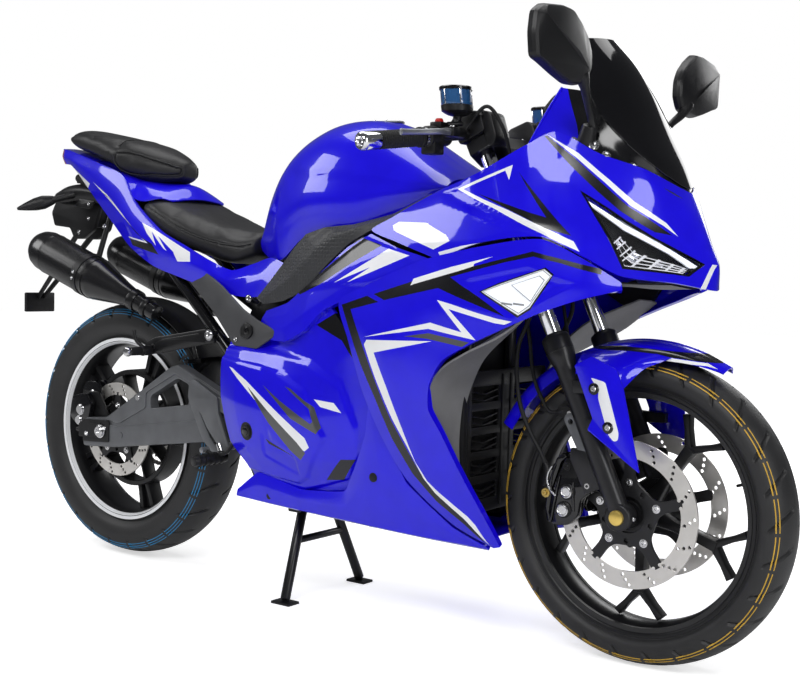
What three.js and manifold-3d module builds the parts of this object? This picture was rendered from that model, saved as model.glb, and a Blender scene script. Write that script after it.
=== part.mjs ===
// Electric sport motorcycle, as an assembly of its separate pieces.
// Millimetres. +X is forward, +Y is the rider's left, +Z is up; the floor is Z = 0.
// The pieces are laid out with the axles half a wheelbase each way from X = 0, and the
// finished model is then centred on its overall length.

import * as THREE from 'three';
import { mergeVertices } from 'three/addons/utils/BufferGeometryUtils.js';
import Module from 'manifold-3d';

const wasm = await Module();
wasm.setup();

// ---------------------------------------------------------------- driving dimensions

const WHEELBASE = 1400;
const FRONT_TYRE_RADIUS = 293;
const REAR_TYRE_RADIUS = 316;
const REAR_WHEEL_LIFT = 6; // the centre stand holds the rear tyre this far off the floor
const RAKE = THREE.MathUtils.degToRad(24.9);
const TRIPLE_CLAMP_OFFSET = 36; // steering axis to fork axis
const FORK_SPACING = 196; // between the two fork legs
const SEAT_GAP = 0.3; // between pieces that bear on each other
const RUNNING_GAP = 6; // between a turning piece and a still one
const SIDES = [['right', -1], ['left', 1]];

const FRONT_AXLE = { x: WHEELBASE / 2, z: FRONT_TYRE_RADIUS };
const REAR_AXLE = { x: -WHEELBASE / 2, z: REAR_TYRE_RADIUS + REAR_WHEEL_LIFT };
const FORK_Y = FORK_SPACING / 2;

const AXLE_RADIUS = { front: 10, rear: 12 };
const TYRE_HEIGHT = { front: 64, rear: 87 }; // above the rim's flange
const FRONT_WHEEL = {
  tyreRadius: FRONT_TYRE_RADIUS, tyreHalfWidth: 55, beadHalfWidth: 38, hubRadius: 34, hubHalfWidth: 66,
  flangeRadius: FRONT_TYRE_RADIUS - TYRE_HEIGHT.front, boreRadius: AXLE_RADIUS.front + SEAT_GAP,
};
const REAR_WHEEL = {
  tyreRadius: REAR_TYRE_RADIUS, tyreHalfWidth: 69, beadHalfWidth: 50, hubRadius: 46, hubHalfWidth: 69,
  flangeRadius: REAR_TYRE_RADIUS - TYRE_HEIGHT.rear, boreRadius: AXLE_RADIUS.rear + SEAT_GAP,
};
const FRONT_DISC = { radius: 138.5, width: 33, y: 69, thickness: 4.5 };
const REAR_DISC = { radius: 116.5, width: 30, y: 72, thickness: 4.5 };

const FORK = {
  tubeRadius: 15.5, sliderRadius: 20, collarRadius: 27,
  sliderTop: 358, collarLength: 40, tubeAboveClamp: 60,
};
const CLAMP = { lower: 500, lowerHeight: 28, upper: 746, upperHeight: 24, reach: 24 };
const STEM_RADIUS = 19.2;
const HEAD_TUBE = { outer: 30, inner: 20 };

const SPAR = { inner: 96, outer: 122 };
const SWING_PIVOT = { x: -215, z: 372, rodRadius: 12, bossRadius: 24 };
const ARM = { inner: 91, outer: 124 };
const CRADLE = { y: 80, radius: 12, z: 228, front: 345, rear: -190 };
const BLOCK = { rear: -60, front: 332, top: 640 };
const MOTOR = { x: -112, z: 372, radius: 76, left: 66 };
const CHAIN = { y: 80, width: 10, thickness: 10, frontRadius: 32, rearRadius: 100 };
const STAND = {
  pivotX: -105, pivotZ: 205, pinRadius: 8, tubeRadius: 11,
  footForward: 22, topHalf: 58, footHalf: 132, lugThickness: 12,
};
const PANEL_THICKNESS = 4;
const WHEEL_FACETS = 32;

// ---------------------------------------------------------------- materials

const paint = (name, colour, roughness, metalness) =>
  Object.assign(new THREE.MeshStandardMaterial({ color: colour, roughness, metalness }), { name });
const BLUE = paint('blue_paint', 0x1212d8, 0.15, 0.1);
const BLACK = paint('black_plastic', 0x17181a, 0.5, 0);
const GREY = paint('grey_plastic', 0x4b4c50, 0.6, 0);
const ALLOY = paint('grey_alloy', 0x55575b, 0.45, 0.7);
const STEEL = paint('black_steel', 0x1b1c1e, 0.4, 0.6);
const BRIGHT = paint('bright_steel', 0xc9cbce, 0.2, 1);
const RUBBER = paint('tyre_rubber', 0x1d1e20, 0.85, 0);
const VINYL = paint('seat_vinyl', 0x1c1d20, 0.6, 0);
const SMOKE = paint('smoked_screen', 0x0b0c0e, 0.05, 0);
const LENS = paint('clear_lens', 0xd8dce2, 0.05, 0);
const RED = paint('red_lens', 0xb01018, 0.1, 0);

// ---------------------------------------------------------------- solids

// Six times the volume inside a triangle mesh, negative when its faces point inward.
function signedVolume(points, corners) {
  const [a, b, c] = [new THREE.Vector3(), new THREE.Vector3(), new THREE.Vector3()];
  let sum = 0;
  for (let i = 0; i < corners.length; i += 3) {
    a.fromArray(points, 3 * corners[i]);
    b.fromArray(points, 3 * corners[i + 1]);
    c.fromArray(points, 3 * corners[i + 2]);
    sum += a.dot(b.cross(c));
  }
  return sum;
}

// A closed triangle mesh with its shared corners merged, its empty triangles dropped and
// its faces turned outward.
function toSolid(geometry) {
  const bare = geometry.clone();
  bare.deleteAttribute('normal');
  bare.deleteAttribute('uv');
  const merged = mergeVertices(bare, 1e-3);
  const corners = merged.index.array;
  const kept = [];
  for (let i = 0; i < corners.length; i += 3) {
    const [a, b, c] = [corners[i], corners[i + 1], corners[i + 2]];
    if (a !== b && b !== c && c !== a) {
      kept.push(a, b, c);
    }
  }
  const points = merged.attributes.position.array;
  if (signedVolume(points, kept) < 0) {
    kept.reverse();
  }
  return new wasm.Manifold(new wasm.Mesh({
    numProp: 3,
    vertProperties: new Float32Array(points),
    triVerts: new Uint32Array(kept),
  }));
}

function toGeometry(solid) {
  const mesh = solid.getMesh();
  const geometry = new THREE.BufferGeometry();
  geometry.setAttribute('position', new THREE.BufferAttribute(new Float32Array(mesh.vertProperties), 3));
  geometry.setIndex(new THREE.BufferAttribute(new Uint32Array(mesh.triVerts), 1));
  return geometry;
}

const join = (...pieces) => toGeometry(pieces.map(toSolid).reduce((whole, piece) => whole.add(piece)));

function cut(body, ...tools) {
  return toGeometry(tools.map(toSolid).reduce((rest, tool) => rest.subtract(tool), toSolid(body)));
}

// The largest of the separate bodies in a geometry.
function largest(geometry) {
  const bodies = toSolid(geometry).decompose();
  return toGeometry(bodies.reduce((best, body) => (body.volume() > best.volume() ? body : best)));
}

const common = (a, b) => toGeometry(toSolid(a).intersect(toSolid(b)));

// The same piece on the other side of the bike.
function mirrored(geometry) {
  const copy = geometry.clone();
  copy.scale(1, -1, 1);
  const source = copy.index ? copy : mergeVertices(copy);
  const corners = source.index.array;
  for (let i = 0; i < corners.length; i += 3) {
    [corners[i], corners[i + 1]] = [corners[i + 1], corners[i]];
  }
  return source;
}

const onSide = (geometry, side) => (side < 0 ? geometry : mirrored(geometry));

// ---------------------------------------------------------------- shapes

const { lerp } = THREE.MathUtils;
const vector = ([x, y, z]) => new THREE.Vector3(x, y, z);
const between = (a, b) => [Math.min(a, b), Math.max(a, b)];

function rod(from, to, radius, endRadius = radius, sides = 12) {
  const a = vector(from);
  const b = vector(to);
  const along = b.clone().sub(a);
  const geometry = new THREE.CylinderGeometry(endRadius, radius, along.length(), sides);
  const upright = new THREE.Vector3(0, 1, 0);
  const turn = new THREE.Quaternion().setFromUnitVectors(upright, along.clone().normalize());
  geometry.applyQuaternion(turn);
  const middle = a.add(b).multiplyScalar(0.5);
  return geometry.translate(middle.x, middle.y, middle.z);
}

// A rod across the bike at a place in X and Z.
const crossRod = (x, z, half, radius) => rod([x, -half, z], [x, half, z], radius);

function box(x, y, z) {
  const geometry = new THREE.BoxGeometry(x[1] - x[0], y[1] - y[0], z[1] - z[0]);
  return geometry.translate((x[0] + x[1]) / 2, (y[0] + y[1]) / 2, (z[0] + z[1]) / 2);
}

// A plate whose outline is given in X and Z, between two values of Y.
function plate(outline, yLow, yHigh, holes = []) {
  const shape = new THREE.Shape(outline.map(([x, z]) => new THREE.Vector2(x, z)));
  for (const hole of holes) {
    shape.holes.push(new THREE.Path(hole.map(([x, z]) => new THREE.Vector2(x, z))));
  }
  const geometry = new THREE.ExtrudeGeometry(shape, { depth: yHigh - yLow, bevelEnabled: false });
  return geometry.rotateX(Math.PI / 2).translate(0, yHigh, 0);
}

function circle(x, z, radius, count = 16, start = 0) {
  return Array.from({ length: count }, (_, i) => {
    const angle = start + (i / count) * 2 * Math.PI;
    return [x + radius * Math.cos(angle), z + radius * Math.sin(angle)];
  });
}

// A profile of [radius, y] points turned about the Y axis, then carried to an axle.
function turned(profile, segments, at) {
  const points = profile.map(([radius, y]) => new THREE.Vector2(radius, y));
  if (profile[0][0] > 0) {
    points.push(points[0].clone());
  }
  return new THREE.LatheGeometry(points, segments).translate(at.x, 0, at.z);
}

// A round bar bent along a smooth curve through its points.
function bentBar(points, radius, steps, sides = 10) {
  const curve = new THREE.CatmullRomCurve3(points.map(vector), false, 'centripetal');
  const section = new THREE.Shape(circle(0, 0, radius, sides).map(([x, y]) => new THREE.Vector2(x, y)));
  return new THREE.ExtrudeGeometry(section, { steps, bevelEnabled: false, extrudePath: curve });
}

function smoothLine(points, count) {
  const curve = new THREE.CatmullRomCurve3(points.map(vector), false, 'centripetal');
  return Array.from({ length: count }, (_, i) => curve.getPoint(i / (count - 1)));
}

// A net of points, with smooth lines through it both ways.
function smoothNet(rows, across, down) {
  const wide = rows.map((row) => smoothLine(row, across));
  const columns = wide[0].map((_, i) => smoothLine(wide.map((row) => row[i].toArray()), down));
  return Array.from({ length: down }, (_, j) => columns.map((column) => column[j]));
}

// A sheet of even thickness behind a net of points, grown all round by its lift. The net's rows run from the
// forward and follow each other downward on the right-hand side, so that its back is inward.
function sheet(net, thickness, lift = 0) {
  const down = net.length;
  const across = net[0].length;
  const at = (i, j) => net[Math.max(0, Math.min(down - 1, i))][Math.max(0, Math.min(across - 1, j))];
  const front = [];
  const back = [];
  for (let i = 0; i < down; i += 1) {
    for (let j = 0; j < across; j += 1) {
      const alongRow = at(i, j + 1).clone().sub(at(i, j - 1));
      const alongColumn = at(i + 1, j).clone().sub(at(i - 1, j));
      const point = at(i, j).clone();
      if (j === 0 || j === across - 1) {
        point.addScaledVector(alongRow.clone().normalize(), j === 0 ? -lift : lift);
      }
      if (i === 0 || i === down - 1) {
        point.addScaledVector(alongColumn.clone().normalize(), i === 0 ? -lift : lift);
      }
      const inward = alongRow.cross(alongColumn).normalize();
      front.push(point.clone().addScaledVector(inward, -lift));
      back.push(point.addScaledVector(inward, thickness + lift));
    }
  }
  const corners = [];
  const quad = (a, b, c, d) => corners.push(a, b, c, a, c, d);
  const under = front.length;
  for (let i = 0; i < down - 1; i += 1) {
    for (let j = 0; j < across - 1; j += 1) {
      const a = i * across + j;
      const b = a + 1;
      const c = b + across;
      const d = a + across;
      quad(d, c, b, a);
      quad(a + under, b + under, c + under, d + under);
    }
  }
  const rim = [];
  for (let j = 0; j < across - 1; j += 1) {
    rim.push(j);
  }
  for (let i = 0; i < down - 1; i += 1) {
    rim.push(i * across + across - 1);
  }
  for (let j = across - 1; j > 0; j -= 1) {
    rim.push((down - 1) * across + j);
  }
  for (let i = down - 1; i > 0; i -= 1) {
    rim.push(i * across);
  }
  rim.forEach((a, k) => {
    const b = rim[(k + 1) % rim.length];
    quad(a, b, b + under, a + under);
  });
  return indexed([...front, ...back], corners);
}

// The space to leave for a panel and its seat gap.
const sheetRoom = (net) => sheet(net, PANEL_THICKNESS, SEAT_GAP);
const below = (geometry) => geometry.clone().translate(0, 0, -SEAT_GAP);

function indexed(points, corners) {
  const geometry = new THREE.BufferGeometry();
  const flat = points.flatMap((point) => point.toArray());
  geometry.setAttribute('position', new THREE.Float32BufferAttribute(flat, 3));
  geometry.setIndex(corners);
  return geometry;
}

// A closed body through rings of points that follow each other along the bike.
function loft(rings) {
  const count = rings[0].length;
  const points = rings.flat();
  const corners = [];
  for (let i = 0; i < rings.length - 1; i += 1) {
    for (let j = 0; j < count; j += 1) {
      const a = i * count + j;
      const b = i * count + ((j + 1) % count);
      corners.push(a, b, b + count, a, b + count, a + count);
    }
  }
  [[0, 1], [rings.length - 1, -1]].forEach(([ring, facing]) => {
    const middle = new THREE.Vector3();
    rings[ring].forEach((point) => middle.addScaledVector(point, 1 / count));
    const hub = points.push(middle) - 1;
    for (let j = 0; j < count; j += 1) {
      const a = ring * count + j;
      const b = ring * count + ((j + 1) % count);
      corners.push(...(facing > 0 ? [b, a, hub] : [a, b, hub]));
    }
  });
  return indexed(points, corners);
}

// A body that is the same on both sides: each station has an X and the half outline as
// [y, z] points from the top centre line round to the bottom one.
function symmetricBody(stations, along) {
  const count = stations[0].half.length;
  const lines = Array.from({ length: count }, (_, k) => smoothLine(
    stations.map(({ x, half, lean = 0 }) => [x + lean * k / (count - 1), ...half[k]]), along,
  ));
  const rings = Array.from({ length: along }, (_, i) => {
    const left = lines.map((line) => line[i]);
    const right = left.slice(1, -1).reverse().map((p) => new THREE.Vector3(p.x, -p.y, p.z));
    return [...left, ...right];
  });
  return loft(rings);
}

// A straight-sided cutter through an outline of points, along a direction.
function prism(outline, direction, before, after) {
  const d = vector(direction).normalize();
  const points = outline.map(vector);
  const near = points.map((p) => p.clone().addScaledVector(d, -before));
  const far = points.map((p) => p.clone().addScaledVector(d, after));
  const u = new THREE.Vector3(0, 0, 1).cross(d).normalize();
  const v = d.clone().cross(u);
  const flat = points.map((p) => new THREE.Vector2(p.dot(u), p.dot(v)));
  const clockwise = THREE.ShapeUtils.isClockWise(flat);
  const faces = THREE.ShapeUtils.triangulateShape(flat, []);
  const n = points.length;
  const corners = [];
  for (const [a, b, c] of faces) {
    corners.push(a, c, b, a + n, b + n, c + n);
  }
  for (let i = 0; i < n; i += 1) {
    const j = (i + 1) % n;
    const side = clockwise ? [j, i, i + n, j, i + n, j + n] : [i, j, j + n, i, j + n, i + n];
    corners.push(...side);
  }
  return indexed([...near, ...far], corners);
}

// ---------------------------------------------------------------- the model's nodes

const bike = new THREE.Group();

function add(name, geometry, material) {
  const mesh = new THREE.Mesh(toGeometry(toSolid(geometry)), material);
  mesh.name = name;
  bike.add(mesh);
}

// A point on the steering axis's frame: s along it, p forward of it, y across.
const STEER_UP = new THREE.Vector3(-Math.sin(RAKE), 0, Math.cos(RAKE));
const STEER_FORWARD = new THREE.Vector3(Math.cos(RAKE), 0, Math.sin(RAKE));

function fork(s, y, p = 0) {
  return [
    FRONT_AXLE.x + STEER_UP.x * s + STEER_FORWARD.x * p,
    y,
    FRONT_AXLE.z + STEER_UP.z * s + STEER_FORWARD.z * p,
  ];
}
const stem = (s) => fork(s, 0, -TRIPLE_CLAMP_OFFSET);

// Points given up the fork and ahead of it, as X and Z.
const forkOutline = (points) => points.map(([s, p]) => fork(s, 0, p)).map(([x, , z]) => [x, z]);

// ---------------------------------------------------------------- wheels

function tyre({ tyreRadius: r, tyreHalfWidth: w, beadHalfWidth: bead, flangeRadius }, at) {
  const seat = flangeRadius - 12 + SEAT_GAP;
  const shoulder = flangeRadius + 3;
  const wall = 8;
  const outer = [
    [shoulder, bead + 1], [flangeRadius + 20, w - 1.5],
    [r - 22, w - 3], [r - 10, w * 0.72], [r - 2.5, w * 0.38], [r, 0],
  ];
  const inner = [
    [r - 13, 0], [flangeRadius + 26, w - wall], [seat, bead - wall],
  ];
  const up = [[seat, bead + 1], ...outer];
  const opposite = (list) => list.map(([radius, y]) => [radius, -y]);
  const profile = [
    ...up,
    ...opposite(up).reverse().slice(1),
    ...opposite(inner).reverse(),
    ...inner.slice(1),
  ];
  return turned(profile, WHEEL_FACETS, at);
}

function rimBarrel({ beadHalfWidth: bead, flangeRadius: r }, at) {
  const edge = bead + 1 + SEAT_GAP;
  const lip = edge + 5;
  const side = [[r - 12, edge], [r, edge], [r, lip], [r - 8, lip], [r - 22, bead - 12]];
  const other = side.map(([radius, y]) => [radius, -y]).reverse();
  return turned([...other, ...side].reverse(), WHEEL_FACETS, at);
}

function hub({ hubRadius, hubHalfWidth, boreRadius }, flange, at) {
  const step = hubHalfWidth - 10;
  return turned([
    [boreRadius, -hubHalfWidth], [boreRadius, hubHalfWidth], [flange, hubHalfWidth], [flange, step],
    [hubRadius, step - 8], [hubRadius, 8 - step], [flange, -step], [flange, -hubHalfWidth],
  ], 16, at);
}

// A flat bar in the wheel's plane, from one radius to another.
function spoke(at, angle, from, to, width, depth, turn = 0) {
  const geometry = new THREE.BoxGeometry(to - from, depth, width);
  geometry.translate((to - from) / 2, 0, 0);
  geometry.rotateY(-turn);
  geometry.translate(from, 0, 0);
  geometry.rotateY(-angle);
  return geometry.translate(at.x, 0, at.z);
}

const SPOKES = 5;
const SPOKE_FORK = 158; // radius at which the front wheel's spokes fork

// The length of a branch that leaves one radius at an angle and ends at another radius.
function branchLength(from, turn, to) {
  return Math.sqrt(to ** 2 - (from * Math.sin(turn)) ** 2) - from * Math.cos(turn);
}

function frontRim() {
  const pieces = [rimBarrel(FRONT_WHEEL, FRONT_AXLE), hub(FRONT_WHEEL, 52, FRONT_AXLE)];
  for (let i = 0; i < SPOKES; i += 1) {
    const angle = (i / SPOKES) * 2 * Math.PI - Math.PI / 2;
    pieces.push(spoke(FRONT_AXLE, angle, 26, SPOKE_FORK + 8, 20, 30));
    for (const turn of [-0.72, 0.72]) {
      const length = branchLength(SPOKE_FORK, turn, FRONT_WHEEL.flangeRadius - 22);
      pieces.push(spoke(FRONT_AXLE, angle, SPOKE_FORK, SPOKE_FORK + length, 11, 24, turn));
    }
  }
  return join(...pieces);
}

const BASKET = { outer: 147, inner: 134, ribs: 10 };

function rearRim() {
  const ring = [
    [BASKET.inner, -26], [BASKET.inner, 26], [BASKET.outer, 26], [BASKET.outer, -26],
  ];
  const pieces = [
    rimBarrel(REAR_WHEEL, REAR_AXLE), hub(REAR_WHEEL, 58, REAR_AXLE), turned(ring, 24, REAR_AXLE),
  ];
  for (let i = 0; i < BASKET.ribs; i += 1) {
    const angle = (i / BASKET.ribs) * 2 * Math.PI;
    pieces.push(spoke(REAR_AXLE, angle, 40, BASKET.inner + 4, 8, 22));
  }
  for (let i = 0; i < SPOKES; i += 1) {
    const angle = (i / SPOKES) * 2 * Math.PI - Math.PI / 2 + 0.25;
    for (const turn of [-0.09, 0.09]) {
      pieces.push(spoke(REAR_AXLE, angle + turn, BASKET.outer - 6, REAR_WHEEL.flangeRadius - 17, 13, 30));
    }
  }
  return join(...pieces);
}

// A brake disc: its band, and a carrier with five arms that is bolted to the hub.
function brakeDisc({ radius, width, y, thickness }, at, hubHalfWidth, side) {
  const inner = radius - width;
  const low = y - thickness / 2;
  const high = y + thickness / 2;
  const seat = hubHalfWidth + SEAT_GAP;
  const pieces = [
    turned([[inner, low], [inner, high], [radius, high], [radius, low]], 24, at),
    turned([[30, seat], [30, low + 3], [56, low + 3], [56, seat]], 14, at),
  ];
  for (let i = 0; i < SPOKES; i += 1) {
    const arm = spoke(at, (i / SPOKES) * 2 * Math.PI + 0.3, 44, inner + 5, 17, thickness - 1.5);
    pieces.push(arm.translate(0, y, 0));
  }
  const disc = join(...pieces);
  return side > 0 ? disc : mirrored(disc);
}

add('front_tyre', tyre(FRONT_WHEEL, FRONT_AXLE), RUBBER);
add('front_rim', frontRim(), STEEL);
for (const [name, side] of SIDES) {
  add(`front_disc_${name}`, brakeDisc(FRONT_DISC, FRONT_AXLE, FRONT_WHEEL.hubHalfWidth, side), BRIGHT);
}
add('rear_tyre', tyre(REAR_WHEEL, REAR_AXLE), RUBBER);
add('rear_rim', rearRim(), STEEL);
add('rear_disc', brakeDisc(REAR_DISC, REAR_AXLE, REAR_WHEEL.hubHalfWidth, -1), BRIGHT);

function rearSprocket() {
  const radius = CHAIN.rearRadius - RUNNING_GAP - 2;
  const seat = REAR_WHEEL.hubHalfWidth + SEAT_GAP;
  const low = CHAIN.y - 3;
  const high = CHAIN.y + 3;
  return turned([
    [30, seat], [30, high], [radius, high], [radius, low], [56, low], [56, seat],
  ], 24, REAR_AXLE);
}
add('rear_sprocket', rearSprocket(), STEEL);

// ---------------------------------------------------------------- frame and running gear

// The loop around two wheels in the plane of X and Z, as an outline.
function loopOutline(front, frontRadius, rear, rearRadius) {
  const points = [];
  const lean = Math.atan2(front.z - rear.z, front.x - rear.x);
  const opening = Math.asin((rearRadius - frontRadius) / Math.hypot(front.x - rear.x, front.z - rear.z));
  const half = Math.PI / 2 - opening;
  const arc = (centre, radius, from, to, count) => {
    for (let i = 0; i <= count; i += 1) {
      const angle = from + ((to - from) * i) / count;
      points.push([centre.x + radius * Math.cos(angle), centre.z + radius * Math.sin(angle)]);
    }
  };
  arc(front, frontRadius, lean - half - 2 * opening, lean + half + 2 * opening, 10);
  arc(rear, rearRadius, lean + half + 2 * opening, lean + 2 * Math.PI - half - 2 * opening, 18);
  return points;
}

function driveChain() {
  const outline = (grow) => loopOutline(
    MOTOR, CHAIN.frontRadius + grow, REAR_AXLE, CHAIN.rearRadius + grow,
  );
  const half = CHAIN.width / 2;
  return plate(outline(CHAIN.thickness), CHAIN.y - half, CHAIN.y + half, [outline(0)]);
}
add('drive_chain', driveChain(), STEEL);

function batteryBlock() {
  const wide = SPAR.inner - SEAT_GAP;
  const shaft = rod([MOTOR.x, MOTOR.left - 2, MOTOR.z], [MOTOR.x, CHAIN.y, MOTOR.z], 13);
  const toothRadius = CHAIN.frontRadius - 2.5 * SEAT_GAP;
  const sprocket = rod(
    [MOTOR.x, CHAIN.y - 3, MOTOR.z], [MOTOR.x, CHAIN.y + 3, MOTOR.z], toothRadius, toothRadius, 20,
  );
  return join(
    box([BLOCK.rear, BLOCK.front], [-wide, wide], [CRADLE.z + CRADLE.radius + SEAT_GAP, BLOCK.top]),
    rod([MOTOR.x, -wide, MOTOR.z], [MOTOR.x, MOTOR.left, MOTOR.z], MOTOR.radius, MOTOR.radius, 24),
    shaft, sprocket,
  );
}

const SPAR_OUTLINE = [
  [352, 862], [340, 786], [332, 735], [150, 690], [-60, 600], [-140, 520], [-172, 420], [-184, 322],
  [-258, 322], [-262, 420], [-240, 540], [-210, 640], [-120, 700], [100, 790],
];

// The seat rails and the struts that brace them, on one side.
function seatRails(side, lift = 0) {
  const railY = side * (SPAR.outer - 12);
  return [
    rod([-190, railY, 640], [-560, side * 88, 826], 13 + lift, 13 + lift, 8),
    rod([-545, side * 88, 818], [-905, side * 34, 955], 13 + lift, 11 + lift, 8),
    rod([-236, side * 112, 500], [-568, side * 92, 800], 14 + lift, 14 + lift, 10),
  ];
}
const seatBridge = (lift = 0) => rod([-560, -88, 822], [-560, 88, 822], 11 + lift, 11 + lift, 8);

function mainFrame() {
  const pieces = [seatBridge()];
  for (const [, side] of SIDES) {
    const [low, high] = side < 0 ? [-SPAR.outer, -SPAR.inner] : [SPAR.inner, SPAR.outer];
    pieces.push(plate(SPAR_OUTLINE, low, high));
    const y = side * CRADLE.y;
    const cradleRod = (from, to) => rod(from, to, CRADLE.radius, CRADLE.radius, 8);
    pieces.push(cradleRod([CRADLE.front, y, 790], [CRADLE.front, y, CRADLE.z]));
    pieces.push(cradleRod([CRADLE.front + CRADLE.radius, y, CRADLE.z], [CRADLE.rear, y, CRADLE.z]));
    pieces.push(cradleRod([CRADLE.rear + 6, y, CRADLE.z], [-236, side * 108, 345]));
    pieces.push(...seatRails(side));
    // lugs of the centre stand
    const lug = side * (STAND.topHalf + RUNNING_GAP + STAND.lugThickness / 2 + 10);
    const reach = STAND.lugThickness / 2;
    pieces.push(plate(
      [[STAND.pivotX - 22, CRADLE.z + 4], [STAND.pivotX + 22, CRADLE.z + 4],
        [STAND.pivotX + 14, STAND.pivotZ - 12], [STAND.pivotX - 14, STAND.pivotZ - 12]],
      lug - reach, lug + reach,
    ));
  }
  const wide = SPAR.inner + 2;
  pieces.push(box([-905, -882], [-40, 40], [940, 962]));
  pieces.push(rod([-200, -wide, 600], [-200, wide, 600], 14, 14, 8));
  pieces.push(crossRod(SWING_PIVOT.x, SWING_PIVOT.z, wide, SWING_PIVOT.rodRadius));
  pieces.push(rod([300, -wide, 800], [300, wide, 800], 24, 24, 12));
  const headLow = CLAMP.lower + CLAMP.lowerHeight + RUNNING_GAP;
  const headHigh = CLAMP.upper - RUNNING_GAP;
  const middle = stem((headLow + headHigh) / 2);
  pieces.push(rod([300, 0, 800], [middle[0] - 8, 0, middle[2] - 10], 36, 30, 12));
  pieces.push(rod(stem(headLow), stem(headHigh), HEAD_TUBE.outer, HEAD_TUBE.outer, 14));
  const bore = rod(stem(headLow - 20), stem(headHigh + 20), HEAD_TUBE.inner, HEAD_TUBE.inner, 14);
  const standPin = crossRod(STAND.pivotX, STAND.pivotZ, 200, STAND.pinRadius + SEAT_GAP);
  return cut(join(...pieces), bore, standPin);
}
add('battery_block', batteryBlock(), BLACK);

const ARM_OUTLINE = [
  [-770, 278], [-650, 286], [-365, 326], [-268, 338], [-268, 434], [-436, 503], [-458, 497],
  [-690, 356], [-770, 350],
];
const ARM_TOP = 5; // the highest corner of the arm's outline
const ARM_WINDOW = [[-531, 392], [-396, 412], [-402, 458], [-440, 470], [-531, 421]];

function swingarm() {
  const pieces = [];
  for (const [, side] of SIDES) {
    const [low, high] = side < 0 ? [-ARM.outer, -ARM.inner] : [ARM.inner, ARM.outer];
    pieces.push(plate(ARM_OUTLINE, low, high, [ARM_WINDOW]));
  }
  const caliperPlate = [[-796, 340], [-770, 300], [-700, 345], [-742, 414], [-800, 414]];
  pieces.push(plate(caliperPlate, -ARM.inner - 8, -ARM.inner));
  const narrow = SPAR.inner - SEAT_GAP;
  const { x, z, bossRadius, rodRadius } = SWING_PIVOT;
  pieces.push(box([-345, -300], [-ARM.inner - 2, ARM.inner + 2], [340, 396]));
  pieces.push(box([-310, x], [-narrow, narrow], [z - 20, z + 20]));
  pieces.push(rod([x, -narrow, z], [x, narrow, z], bossRadius, bossRadius, 20));
  const pivot = crossRod(x, z, 200, rodRadius + SEAT_GAP);
  const axle = crossRod(REAR_AXLE.x, REAR_AXLE.z, 200, AXLE_RADIUS.rear + SEAT_GAP);
  return cut(join(...pieces), pivot, axle);
}
add('swingarm', swingarm(), ALLOY);
add('rear_axle', crossRod(REAR_AXLE.x, REAR_AXLE.z, ARM.outer + 14, AXLE_RADIUS.rear), BRIGHT);

// A caliper: a block over the edge of a disc, with a slot for it.
function caliper(centre, axleAt, disc, outward, lean, length, height) {
  const slot = disc.thickness / 2 + RUNNING_GAP - 1;
  const sign = Math.sign(outward);
  const yLow = disc.y - slot - 13;
  const yHigh = Math.abs(outward);
  const body = new THREE.BoxGeometry(length, yHigh - yLow, height);
  body.rotateY(-lean);
  body.translate(centre.x, (yLow + yHigh) / 2, centre.z);
  const gap = turned([
    [0, disc.y - slot], [disc.radius + RUNNING_GAP, disc.y - slot],
    [disc.radius + RUNNING_GAP, disc.y + slot], [0, disc.y + slot],
  ], 40, axleAt);
  const shaped = cut(body, gap);
  return sign > 0 ? shaped : mirrored(shaped);
}

// ---------------------------------------------------------------- steering

const SLIDER_LUG = { radius: 26, inner: 80, outer: 116 };
const EAR_BOLTS = [[232.8, 51.8], [157.2, 50.9]]; // up the fork and ahead of it, on the mudguard's ears

function forkSlider(side) {
  const y = side * FORK_Y;
  const collar = FORK.sliderTop - FORK.collarLength;
  const { inner, outer, radius: lugRadius } = SLIDER_LUG;
  const pieces = [
    rod(fork(-6, y), fork(collar - 20, y), FORK.sliderRadius, FORK.sliderRadius, 12),
    rod(fork(collar - 22, y), fork(collar, y), FORK.sliderRadius, FORK.collarRadius, 12),
    rod(fork(collar - 0.5, y), fork(FORK.sliderTop, y), FORK.collarRadius, FORK.collarRadius, 12),
    rod(fork(0, side * inner), fork(0, side * outer), lugRadius, lugRadius, 14),
  ];
  pieces.push(plate(forkOutline([[60, -50], [130, -50], [130, 4], [60, 4]]), y - 8, y + 8));
  const face = FORK_Y + FORK.sliderRadius;
  for (const [x, z] of forkOutline(EAR_BOLTS)) {
    pieces.push(plate(
      [[x - 50, z + 12], [x + 9, z + 9], [x + 9, z - 9], [x - 46, z - 12]],
      ...between(side * (face - 14), side * face),
    ));
  }
  const bore = rod(fork(0, -200), fork(0, 200), AXLE_RADIUS.front + SEAT_GAP);
  return cut(join(...pieces), bore);
}

function tripleClamp(s, height, stemFrom, stemTo) {
  const half = FORK_Y + CLAMP.reach;
  const plan = [
    [-CLAMP.reach, -half], [CLAMP.reach - 4, -half], [CLAMP.reach, -half + 12], [CLAMP.reach, half - 12],
    [CLAMP.reach - 4, half], [-CLAMP.reach, half], [-CLAMP.reach - 34, 34], [-CLAMP.reach - 34, -34],
  ];
  const low = plan.map(([p, y]) => vector(fork(s, y, p)));
  const high = plan.map(([p, y]) => vector(fork(s + height, y, p)));
  let body = loft([low, high]);
  if (stemTo) {
    body = join(body, rod(stem(stemFrom), stem(stemTo), STEM_RADIUS));
  }
  const bores = [-FORK_Y, FORK_Y].map((y) => rod(
    fork(s - 20, y), fork(s + height + 20, y), FORK.tubeRadius + SEAT_GAP, FORK.tubeRadius + SEAT_GAP, 18,
  ));
  return cut(body, ...bores);
}

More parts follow.
